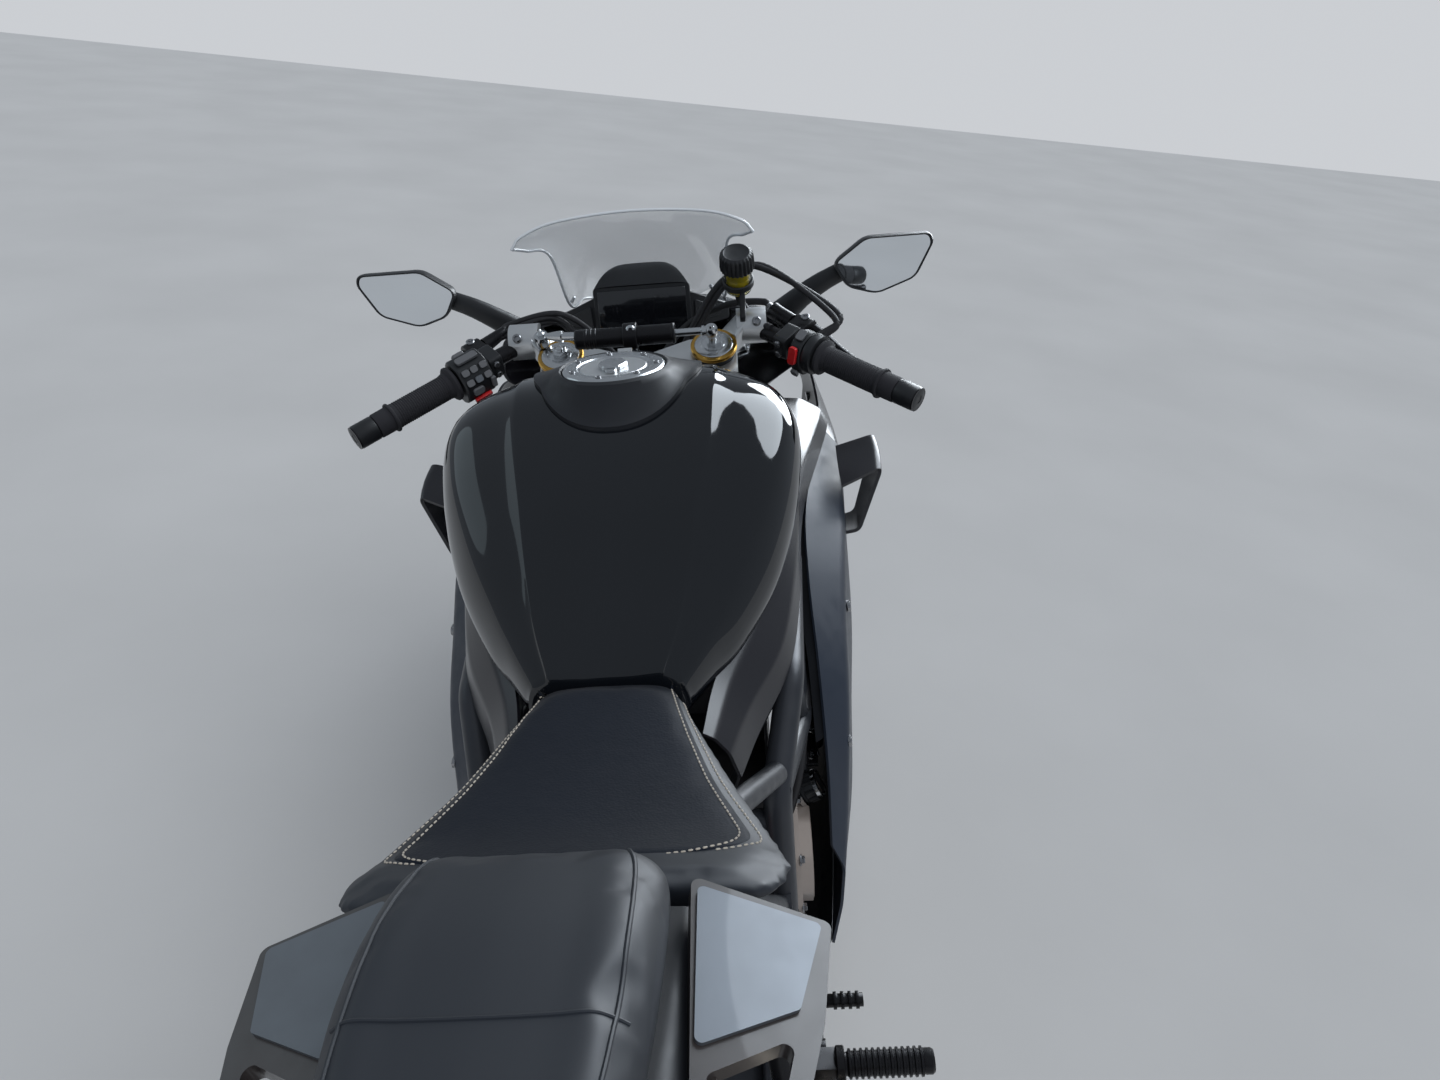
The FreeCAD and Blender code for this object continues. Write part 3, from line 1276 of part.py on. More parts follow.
def swingarm():
    """Swingarm: pivot tube, crossbar, two tapered arms and the axle plates."""
    px, pz = size("pivot_x"), size("pivot_z")
    half, wall = size("arm_half"), size("arm_wall")
    parts = [rod(Vector(px, -138, pz), Vector(px, 138, pz), 18), rod(Vector(px, -92, pz), Vector(px, 92, pz), 27)]
    for side in (1, -1):
        rows = [(px - 5, 127, 22, 60), (px - 130, 132, wall, 74), (px - 330, half + 4, wall, size("arm_height")),
                (60, half + 2, wall, 50), (-42, half, wall - 4, 46)]
        sections = []
        for x, y, width, height in rows:
            z = REAR_Z + (pz - REAR_Z) * x / px + (10 if 60 < x < px - 60 else 0)
            w, t = width / 2, height / 2
            sections.append(rounded([Vector(x, side * (y - w), z - t), Vector(x, side * (y + w), z - t),
                                     Vector(x, side * (y + w), z + t), Vector(x, side * (y - w), z + t)], [7] * 4))
        parts.append(loft(sections, True))
    web = across([(px - 30, pz - 22), (px - 165, pz - 34), (px - 172, pz - 8), (px - 150, pz + 4), (px - 30, pz + 4)],
                 12, -130, 130)
    parts.append(web)
    whole = parts[0].multiFuse(parts[1:])
    bore = rod(Vector(px, -200, pz), Vector(px, 200, pz), size("axle_radius") + GAP)
    axle = rod(Vector(0, -200, REAR_Z), Vector(0, 200, REAR_Z), size("axle_radius") + GAP)
    return whole.cut([bore, axle])


feature("swingarm", [swingarm()])


HEAD = [(890, 590), (1004, 545), (1032, 650), (930, 705)]


def engine_block():
    """Engine: crankcase, inclined cylinder block, head and head cover in one block."""
    half = size("engine_half")
    case = across([(636, 300), (630, 250), (880, 235), (985, 320), (990, 430), (930, 520), (760, 545),
                   (655, 500), (640, 430)], 22, -half + 12, half - 12)
    block = across([(850, 500), (955, 440), (1010, 560), (905, 620)], 10, -size("head_half") + 14, size("head_half") - 14)
    head = across(HEAD, 12, -size("head_half"), size("head_half"))
    pocket = rod(Vector(648, 90, 392), Vector(648, 150, 392), 52).fuse(Part.makeBox(80, 60, 104, Vector(568, 90, 340)))
    drum = rod(Vector(648, 80, 392), Vector(648, 113, 392), size("drive_radius") - size("chain_height") / 2 - GAP)
    posts = []
    for side in (1, -1):
        posts.append(stop_short(Vector(800, side * 105, 260), Vector(800, side * 105, 120), 8, [BELLY_SHELL],
                                Vector(0, 0, GAP)))
    return case.multiFuse([block, head]).cut(pocket).multiFuse([drum] + posts)


ENGINE = engine_block()
feature("engine_block", [ENGINE])


def engine_covers():
    """Clutch cover right, generator cover left, sprocket cover and the head cover."""
    half = size("engine_half") - 12 + GAP
    clutch = across([(652, 395), (690, 330), (770, 345), (800, 420), (790, 505), (700, 512), (655, 470)],
                    26, -half, -half - 34)
    step = across([(672, 400), (700, 352), (758, 362), (782, 420), (770, 482), (705, 490), (672, 455)], 22,
                  -half - 30, -half - 48)
    filler = rod(Vector(748, -half - 30, 492), Vector(748, -half - 62, 506), 15)
    right = clutch.multiFuse([step, filler])
    generator = rod(Vector(850, half, 400), Vector(850, half + 34, 400), 74).fuse(
        rod(Vector(850, half + 30, 400), Vector(850, half + 46, 400), 50))
    cover = across([(626, 395), (640, 345), (720, 335), (745, 400), (720, 455), (640, 450)], 16, half, half + 14)
    top = across([(928, 684), (1024, 632), (1043, 668), (950, 724)], 8, -size("head_half") + 26, size("head_half") - 26)
    top = top.cut(across(HEAD, 12, -size("head_half"), size("head_half")).translated(Vector(0.14, 0, 0.26)))
    return [right, generator, cover, top]


feature("engine_covers", engine_covers())


def radiator():
    """Radiator core between its two tanks, ahead of the engine, with a lower oil cooler."""
    core = across([(AXLE_X - 345, 440), (AXLE_X - 317, 437), (AXLE_X - 292, 690), (AXLE_X - 320, 693)], 2, -140, 140)
    tanks = []
    for side in (1, -1):
        tanks.append(across([(AXLE_X - 350, 432), (AXLE_X - 312, 428), (AXLE_X - 286, 698), (AXLE_X - 324, 702)], 8,
                            side * 140, side * 172))
    return [core.multiFuse(tanks)]


RADIATOR = radiator()
feature("radiator", RADIATOR)


def frame_stays(side, a, b, e):
    """Short stays from one side's tubes to the pieces they carry."""
    index = 0 if side > 0 else 1
    inward, down, back, up = Vector(0, -side * GAP, 0), Vector(0, 0, -GAP), Vector(-GAP, 0, 0), Vector(0, 0, GAP)
    middle = Vector(872, side * 183, 645)
    return [
        stop_short(e, Vector(e.x, side * 290, e.z), 7, [BLADES[index]], inward),
        stop_short(middle, Vector(middle.x, side * 290, middle.z), 7, [BLADES[index]], inward),
        stop_short(a, Vector(a.x, side * 196, 815), 4, [COVERS[index]], inward),
        stop_short(Vector(b.x, side * 162, b.z), Vector(b.x, side * 157, 760), 4, [COVERS[index]], inward),
        stop_short(b, Vector(b.x, side * 80, 743), 8, [TANK_OUTER], down),
        stop_short(e, Vector(AXLE_X - 300, side * 158, 668), 8, RADIATOR, back),
        stop_short(Vector(940, side * 182, 672), Vector(940, side * 120, 672), 10, [ENGINE], Vector(0, side * GAP, 0)),
        stop_short(Vector(598, side * 125, 316), Vector(660, side * 125, 300), 9, [ENGINE], back),
        stop_short(Vector(200, side * 60, 819), Vector(200, side * 60, 770), 6, [TAIL_SHELL], up),
        stop_short(Vector(0, side * 43, 858), Vector(0, side * 43, 810), 6, [TAIL_SHELL], up),
    ]


def main_frame():
    """Tube frame: head tube, two rails a side with cross struts, pivot plates and the seat rails."""
    head = upright(size("head_radius"), HEAD_LOW, HEAD_HIGH, x=0, y=0)
    head.Placement = STEERING
    bore = upright(size("stem_radius") + size("stem_gap"), HEAD_LOW - 1, HEAD_HIGH + 1, x=0, y=0)
    bore.Placement = STEERING
    radius = size("rail_radius")
    parts = [head]
    for side in (1, -1):
        top = steer_point(-20, side * 18, HEAD_LOW + 107)
        foot = steer_point(-20, side * 18, HEAD_LOW + 24)
        a = Vector(905, side * 184, 745)
        b = Vector(690, side * 172, 712)
        c = Vector(598, side * 150, 640)
        d = Vector(578, side * 150, 470)
        e = Vector(985, side * 184, 690)
        f = Vector(760, side * 182, 600)
        parts.append(bent([top, a, b, c, d], radius, 60))
        parts.append(bent([foot, e, f, c], radius, 50))
        parts.append(rod(a, f, 11))
        parts.append(rod(b, f, 11))
        plate = across([(560, 520), (600, 520), (617, 450), (612, 340), (590, 300), (545, 320), (530, 400)],
                       14, side * 140, side * 158)
        parts.append(plate)
        rail = seat_rail(side, 0)
        strut = rod(Vector(572, side * 148, 500), Vector(330, side * 75, 789), 11)
        parts.append(rail)
        parts.append(strut)
        parts += frame_stays(side, a, b, e)
    parts.append(rod(Vector(598, -150, 600), Vector(598, 150, 600), 12))
    parts.append(rod(Vector(598, -150, 316), Vector(598, 150, 316), 14))
    parts.append(rod(Vector(300, -68, 800), Vector(300, 68, 800), 10))
    parts.append(rod(Vector(-40, -40, 866), Vector(-40, 40, 866), 10))
    parts.append(rod(Vector(size("pivot_x"), -157, size("pivot_z")), Vector(size("pivot_x"), 157, size("pivot_z")),
                     size("axle_radius")))
    nose_stay = bent([steer_point(10, 0, HEAD_LOW + 67), Vector(station(1290), 0, 824), Vector(station(1395), 0, 816),
                      Vector(station(1402), 0, 730)], 9, 30)
    nose_stay = nose_stay.cut(NOSE_SHELL.translated(Vector(0, 0, GAP)))
    parts.append(max(nose_stay.Solids, key=lambda s: s.Volume))
    parts.append(stand_bracket())
    whole = parts[0].multiFuse(parts[1:])
    return whole.cut(bore)


feature("main_frame", [main_frame()])


CAN_START = Vector(358, -193, 406.5)
CAN_END = Vector(30, -240, 545)
CAN_ALONG = CAN_END.sub(CAN_START).normalize()


def headers():
    """Four exhaust headers, the collector under the engine and the pipe to the silencer."""
    radius = size("pipe_radius")
    face = Vector(1018.3, 0, 597.4)
    away = Vector(0.966, 0, -0.258)
    solids = []
    for y in (-108, -36, 36, 108):
        first = Vector(face.x, y, face.z)
        out = first.add(Vector(away).multiply(34))
        pipe = bent([first, out, Vector(1036, y, 500), Vector(1028, y, 300), Vector(985, 0.8 * y, 212),
                     Vector(900, 0.5 * y, 184), Vector(850, 0.42 * y, 182)], radius, 60)
        solids.append(pipe)
    box = across([(780, 150), (880, 150), (880, 212), (780, 222), (650, 222), (640, 200), (650, 150)], 16, -78, 62)
    tail = bent([Vector(700, -50, 190), Vector(570, -85, 200), Vector(500, -135, 262), Vector(430, -170, 325),
                 CAN_START.sub(Vector(CAN_ALONG).multiply(38)), CAN_START], radius + 4, 60)
    return solids[0].multiFuse(solids[1:] + [box, tail])


feature("exhaust_headers", [headers()])


def silencer():
    """Silencer: inlet cone, canister, end cap and tail opening."""
    run = CAN_END.sub(CAN_START)
    length = run.Length
    along = Vector(run).normalize()
    radius = size("can_radius")

    def spot(distance):
        return CAN_START.add(Vector(along).multiply(distance))

    inlet = cone(spot(GAP), spot(60), radius * 0.52, radius * 0.94)
    body = cone(spot(60), spot(length - 42), radius * 0.94, radius)
    cap = cone(spot(length - 42), spot(length), radius, radius * 0.68)
    whole = inlet.multiFuse([body, cap])
    opening = rod(spot(length - 60), spot(length + 5), radius * 0.5)
    return whole.cut(opening)


feature("silencer", [silencer()])


def silencer_guard():
    """Heat guard over the outer side of the silencer, with a long slot."""
    run = CAN_END.sub(CAN_START)
    along = Vector(run).normalize()
    radius = size("can_radius")
    start = CAN_START.add(Vector(along).multiply(64))
    end = CAN_START.add(Vector(along).multiply(232))
    shell = cone(start, end, radius + 7, radius + 6).cut(cone(start, end, radius + 3.6, radius + 2.6))
    middle = start.add(end).multiply(0.5)
    keep = Part.makeBox(400, 200, 200, Vector(middle.x - 200, middle.y - 180, middle.z - 30))
    slot = Part.makeBox(70, 100, 14, Vector(middle.x - 40, middle.y - 90, middle.z + 4))
    shell = shell.common(keep).cut(slot)
    foot = rod(start.add(Vector(along).multiply(10)), start.add(Vector(along).multiply(26)), radius + 5)
    widening = 0.06 / (run.Length - 102)
    near, far = radius * (0.94 + widening * 4) + GAP, radius * (0.94 + widening * 172) + GAP
    foot = foot.cut(cone(start, end, near, far)).common(keep)
    return shell.fuse(foot)


feature("silencer_guard", [silencer_guard()])

def footrests():
    """Foot rest plates with folding rider pegs, and the passenger pegs on their struts."""
    x, z = size("peg_x"), size("peg_z")
    solids = []
    for side in (1, -1):
        plate = across([(600, 470), (520, 446), (x - 6, z + 26), (x - 22, z - 6), (x + 14, z - 24), (600, 352)], 10,
                       side * (158 + GAP), side * 166)
        block = Part.makeBox(24, 34, 22, Vector(x - 12, 164 if side > 0 else -198, z - 11))
        peg = rod(Vector(x, side * 196, z), Vector(x, side * (198 + size("peg_length")), z), 11)
        solids.append(plate.multiFuse([block, peg]))
        strut = bent([Vector(300, side * 84, 806), Vector(276, side * 138, 724), Vector(252, side * 150, 640)], 9, 40)
        strut = strut.cut([TAIL_OUTER.translated(Vector(0, 0, -GAP)), seat_rail(side, GAP)])
        strut = max(strut.Solids, key=lambda s: s.Volume)
        rear = rod(Vector(252, side * 140, 640), Vector(252, side * 232, 640), 10)
        solids.append(strut.fuse(rear))
    return solids


feature("footrests", footrests())


def foot_controls():
    """Brake pedal right and gear lever left, each a bent arm with a ribbed toe piece."""
    x, z = size("peg_x"), size("peg_z")
    solids = []
    for side in (1, -1):
        arm = bent([Vector(x + 25, side * 176, z - 14), Vector(x + 51, side * 177, z - 20), Vector(x + 73, side * 178, z - 2)],
                   6, 18)
        hub = rod(Vector(x + 25, side * (166 + GAP), z - 14), Vector(x + 25, side * 184, z - 14), 11)
        toe = rod(Vector(x + 73, side * 174, z - 2), Vector(x + 73, side * 228, z - 2), 7)
        parts = [arm, hub, toe]
        for i in range(4):
            spot = side * (196 + 8 * i)
            parts.append(rod(Vector(x + 73, spot, z - 2), Vector(x + 73, spot + side * 3.5, z - 2), 9))
        solids.append(fuse(parts))
    return solids


feature("foot_controls", foot_controls())


def rear_shock():
    """Rear shock: damper body and a spring drawn as rings."""
    low, high = Vector(472, 0, 411.04), Vector(586, 0, 590)
    run = Vector(high.sub(low)).normalize()
    length = high.sub(low).Length

    def spot(distance):
        return low.add(Vector(run).multiply(distance))

    parts = [rod(spot(GAP), spot(length), 13), rod(spot(24), spot(60), 24), rod(spot(length - 62), spot(length - 26), 24)]
    for i in range(6):
        parts.append(rod(spot(62 + 16 * i), spot(71 + 16 * i), 31))
    whole = fuse(parts)
    return whole.cut(rod(Vector(598, -40, 600), Vector(598, 40, 600), 12 + GAP))


feature("rear_shock", [rear_shock()])


def rear_caliper():
    """Rear caliper over its disc, on a bracket round the axle inside the right arm."""
    plane = -size("rear_disc_plane")
    slot = size("disc_half") + size("pad_gap")
    block = Part.makeBox(52, 30, 78, Vector(88, plane - 15.5, -39))
    block = block.makeFillet(7, [e for e in block.Edges if abs(e.tangentAt(0).y) > 0.5])
    block = block.cut(Part.makeBox(46, 2 * slot, 90, Vector(80, plane - slot, -45)))
    bracket = across([(-24, -20), (20, -28), (110, -26), (112, 26), (20, 28), (-24, 20)], 14, plane - 15.5, plane - 7)
    whole = block.fuse(bracket)
    whole = whole.cut(Part.makeCylinder(size("axle_radius") + GAP, 300, Vector(0, -200, 0), Vector(0, 1, 0)))
    whole.rotate(Vector(0, 0, 0), Vector(0, 1, 0), -52)
    return whole


feature("rear_caliper", [rear_caliper()], REAR_AXLE)


def rear_hugger():
    """Guard over the rear tyre on stays from both arms."""
    radius = size("rear_radius") + 10
    half = size("rear_width") / 2 + 7
    wall = 3
    outer = [(-half, radius - 34), (-half, radius - 8), (-half + 34, radius + 8), (0, radius + 12), (half - 34, radius + 8),
             (half, radius - 8), (half, radius - 34)]
    inner = [(half - wall, radius - 34), (half - wall, radius - 9), (half - 35, radius + 5), (0, radius + 9),
             (-half + 35, radius + 5), (-half + wall, radius - 9), (-half + wall, radius - 34)]
    wire = Part.makePolygon([Vector(r, y, 0) for y, r in outer + inner + [outer[0]]])
    cover = Part.Face(wire).revolve(Vector(0, 0, 0), Vector(0, 1, 0), -92)
    cover.rotate(Vector(0, 0, 0), Vector(0, 1, 0), -22)
    stays = []
    for side in (1, -1):
        shelf = Part.makeBox(30, 46, 4, Vector(262, 92 if side > 0 else -138, 134))
        drop = Part.makeBox(30, 4, 134 + 4 - 80, Vector(262, 134 if side > 0 else -138, 80))
        stays += [shelf, drop]
    arm = max(NODES["swingarm"][0].Shape.Solids, key=lambda s: s.Volume).translated(Vector(0, 0, -REAR_Z + GAP))
    whole = cover.multiFuse(stays).cut(arm)
    return max(whole.Solids, key=lambda s: s.Volume)


feature("rear_hugger", [rear_hugger()], REAR_AXLE)


def side_stand():
    """Side stand: hinge eye, tapered leg and a foot that lies flat on the floor."""
    def on_axis(distance):
        return STAND_PIVOT.add(Vector(STAND_AXIS).multiply(distance))

    eye = rod(on_axis(-5.5), on_axis(5.5), 17)
    width = STAND_AXIS.cross(STAND_DOWN).multiply(13)
    corner = on_axis(-5.5).sub(width)
    edges = [Vector(width).multiply(2), Vector(STAND_DOWN).multiply(42)]
    tongue = Part.Face(Part.makePolygon([corner, corner.add(edges[0]), corner.add(edges[0]).add(edges[1]),
                                         corner.add(edges[1]), corner])).extrude(Vector(STAND_AXIS).multiply(11))
    leg = cone(STAND_PIVOT.add(Vector(STAND_DOWN).multiply(32)), STAND_FOOT.add(Vector(FLOOR_UP).multiply(7)),
               size("stand_radius") + 1.5, size("stand_radius") - 1.5)
    foot = rod(STAND_FOOT, STAND_FOOT.add(Vector(FLOOR_UP).multiply(7)), size("foot_radius"))
    whole = eye.multiFuse([tongue, leg, foot])
    pin = rod(on_axis(-20), on_axis(20), 6.5)
    return whole.cut(pin)


feature("side_stand", [side_stand()])


# The whole machine leans on its stand; the origin is on the floor under the
# middle of its bounding box.
LEANING = Placement(Vector(0, 0, 0), Rotation(Vector(1, 0, 0), -size("lean")))


def settle():
    """Gives every sub-part its place on the leaning machine and returns the shift."""
    box = FreeCAD.BoundBox()
    for made, local in NODES.values():
        made.Placement = LEANING.multiply(local)
        box.add(made.Shape.optimalBoundingBox(False, False))
    shift = Vector(-box.Center.x, -box.Center.y, -box.ZMin)
    for made, local in NODES.values():
        made.Placement = Placement(shift, Rotation()).multiply(LEANING).multiply(local)
    return shift, box


doc.recompute()
for label, (made, local) in NODES.items():
    if "Invalid" in made.State or "Error" in made.State:
        raise RuntimeError("%s did not build: %s" % (label, made.State))
    if made.Shape.isNull() or not made.Shape.isValid():
        raise RuntimeError("%s has no valid shape" % label)
for made in doc.Objects:
    if "Invalid" in made.State or "Error" in made.State:
        raise RuntimeError("%s failed: %s" % (made.Name, made.State))

shift, box = settle()
doc.recompute()
for label, (made, local) in NODES.items():
    made.Shape.exportStep("parts/%s.step" % label)

print("nodes", len(NODES))
print("size %.1f %.1f %.1f" % (box.XLength, box.YLength, box.ZLength))
print("shift %.3f %.3f %.3f" % (shift.x, shift.y, shift.z))
print("steering foot %.3f" % STEER_X)
print("stand pivot %.3f %.3f %.3f" % tuple(STAND_PIVOT))
print("stand axis %.6f %.6f %.6f" % tuple(STAND_AXIS))
print("stand swing %.2f" % STAND_SWING)
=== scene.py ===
"""Looks of a leaning sport motorcycle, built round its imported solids.

Every shape is worked out on the upright machine in millimetres: X forward from
the rear axle, Y to the left, Z up from the ground. One turn and one shift, read
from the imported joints, set it down in the row frame in metres.
"""

from __future__ import annotations

import json
import logging
import math
from abc import ABC, abstractmethod
from dataclasses import dataclass, field
from enum import Enum
from typing import Optional, Sequence
import bmesh
import bpy
import numpy as np
from mathutils import Matrix, Vector
from mathutils.bvhtree import BVHTree


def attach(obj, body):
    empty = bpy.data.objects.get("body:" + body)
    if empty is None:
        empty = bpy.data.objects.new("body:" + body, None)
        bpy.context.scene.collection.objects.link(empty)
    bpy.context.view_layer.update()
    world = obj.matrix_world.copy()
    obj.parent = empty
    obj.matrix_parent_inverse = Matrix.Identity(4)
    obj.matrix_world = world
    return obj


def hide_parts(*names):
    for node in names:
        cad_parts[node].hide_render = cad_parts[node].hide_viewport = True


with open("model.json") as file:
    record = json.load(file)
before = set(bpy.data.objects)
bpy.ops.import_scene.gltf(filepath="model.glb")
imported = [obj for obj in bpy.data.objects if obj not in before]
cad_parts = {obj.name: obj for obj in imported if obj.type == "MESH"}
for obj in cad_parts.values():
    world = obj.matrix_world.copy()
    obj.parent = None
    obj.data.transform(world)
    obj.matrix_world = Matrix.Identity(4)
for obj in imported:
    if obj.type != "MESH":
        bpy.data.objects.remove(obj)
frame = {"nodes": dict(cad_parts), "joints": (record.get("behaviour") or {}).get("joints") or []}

LOG = logging.getLogger("sport_bike")
Colour = tuple[float, float, float]
Numbers = Sequence[float]
Socket = bpy.types.NodeSocket
Thing = bpy.types.Object

WHEELBASE = 1410.0
FRONT_Z = 300.0
REAR_Z = 315.0
RAKE = math.radians(24.5)
FORK_OFFSET = 35.2
FORK_SPREAD = 103.0
STEER_X = WHEELBASE + FRONT_Z * math.tan(RAKE) - FORK_OFFSET / math.cos(RAKE)
MIRRORED = np.array([1, -1, 1])
UP, LEFT = (0, 0, 1), (0, 1, 0)


class Body(Enum):
    """The moving bodies that pieces ride on."""

    FRAME = "frame"
    STEERING = "steering"
    FRONT_WHEEL = "front_wheel"
    REAR_WHEEL = "rear_wheel"
    STAND = "side_stand"
    LID = "fuel_lid"


@dataclass(frozen=True)
class Stance:
    """Turn and shift from the upright machine to the row frame."""

    turn: np.ndarray
    shift: np.ndarray

    @classmethod
    def read(cls, joints: Sequence[dict]) -> "Stance":
        """The stance of this pack, worked out from the rear wheel's packed joint."""
        spin = {joint["name"]: joint for joint in joints}["rear_wheel_spin"]
        left = np.array(spin["axis"], float)
        turn = np.array([[1, 0, 0], [0, left[1], -left[2]], [0, left[2], left[1]]])
        shift = np.array(spin["pos_m"], float) - turn @ np.array([0, 0, REAR_Z / 1000])
        return cls(turn, shift)

    def place(self, points: np.ndarray) -> np.ndarray:
        """Upright millimetres to metres in the row frame."""
        return np.asarray(points, float) @ self.turn.T / 1000 + self.shift


STANCE = Stance.read(frame["joints"])


def from_steering(points: Sequence) -> np.ndarray:
    """Steering frame, X ahead of its axis and Z along it, to the upright machine: leaned back by the rake."""
    p = np.asarray(points, float)
    x, y, z = p[..., 0], p[..., 1], p[..., 2]
    cos, sin = math.cos(RAKE), math.sin(RAKE)
    return xyz(STEER_X + x * cos - z * sin, y, x * sin + z * cos)


def mirror(points: Sequence) -> np.ndarray:
    """The same points on the other side of the machine."""
    return np.asarray(points, float) * MIRRORED


def unit(vectors: np.ndarray) -> np.ndarray:
    """Vectors scaled to length one."""
    v = np.asarray(vectors, float)
    return v / np.maximum(np.linalg.norm(v, axis=-1, keepdims=True), 1e-12)


def xyz(*parts: Numbers | float) -> np.ndarray:
    """Points from their coordinates, each one number or an array."""
    return np.stack(np.broadcast_arrays(*parts), axis=-1)


def rays(angle: np.ndarray) -> np.ndarray:
    """Unit vectors (cos, sin) at the given angles."""
    return xyz(np.cos(angle), np.sin(angle))


def circle(count: int, start: float = 0) -> np.ndarray:
    """Unit vectors at even angles once round, from a start in degrees."""
    return rays(np.linspace(0, 2 * math.pi, count, endpoint=False) + math.radians(start))


def spline(points: Sequence, count: int, closed: bool = False) -> np.ndarray:
    """Catmull-Rom curve: each span is a cubic blend of its four nearest rows.

    Args:
        points: rows to pass through, of any further shape.
        count: rows wanted.
        closed: whether the last row runs on into the first.

    Returns:
        The rows along the curve.
    """
    p = np.asarray(points, float)
    k = len(p)
    if closed:
        padded = np.concatenate([p[-1:], p, p[:2]])
        t = np.linspace(0, k, count, endpoint=False)
        i = np.minimum(t.astype(int), k - 1)
    else:
        padded = np.concatenate([2 * p[:1] - p[1:2], p, 2 * p[-1:] - p[-2:-1]])
        t = np.linspace(0, k - 1, count)
        i = np.minimum(t.astype(int), k - 2)
    s = (t - i).reshape((-1,) + (1,) * (p.ndim - 1))
    a, b, c, d = padded[i], padded[i + 1], padded[i + 2], padded[i + 3]
    return 0.5 * (2 * b + (c - a) * s + (2 * a - 5 * b + 4 * c - d) * s**2 + (3 * b - a - 3 * c + d) * s**3)


def softened(points: Sequence, radii: Numbers | float, count: int = 6, closed: bool = True) -> np.ndarray:
    """Outline whose corners are blended by quadratic arcs of a given reach.

    Args:
        points: corners of the outline.
        radii: reach of the blends along the sides, one for all or one for each corner.
        count: points on each blend.
        closed: whether the outline is a loop.

    Returns:
        The points of the softened outline.
    """
    p = np.asarray(points, float)
    r = np.broadcast_to(np.asarray(radii, float), len(p))
    before, after = np.roll(p, 1, axis=0) - p, np.roll(p, -1, axis=0) - p
    length_b, length_a = np.linalg.norm(before, axis=1), np.linalg.norm(after, axis=1)
    reach = np.minimum(r, 0.49 * np.minimum(length_b, length_a))[:, None]
    first, last = p + unit(before) * reach, p + unit(after) * reach
    s = np.linspace(0, 1, count)[None, :, None]
    arcs = first[:, None] * (1 - s) ** 2 + 2 * p[:, None] * s * (1 - s) + last[:, None] * s**2
    if not closed:
        arcs[0], arcs[-1] = p[0], p[-1]
    return arcs.reshape(-1, p.shape[1])


def placed(name: str, data: bpy.types.ID) -> Thing:
    """A new object of the scene around its data."""
    made = bpy.data.objects.new(name, data)
    bpy.context.scene.collection.objects.link(made)
    return made


def bevelled(made: Thing, width: float, angle: float) -> None:
    """Rounds the edges sharper than an angle in degrees by a bevel of a width in metres."""
    rim = made.modifiers.new("rim", "BEVEL")
    rim.width = width
    rim.segments = 2
    rim.limit_method = "ANGLE"
    rim.angle_limit = math.radians(angle)


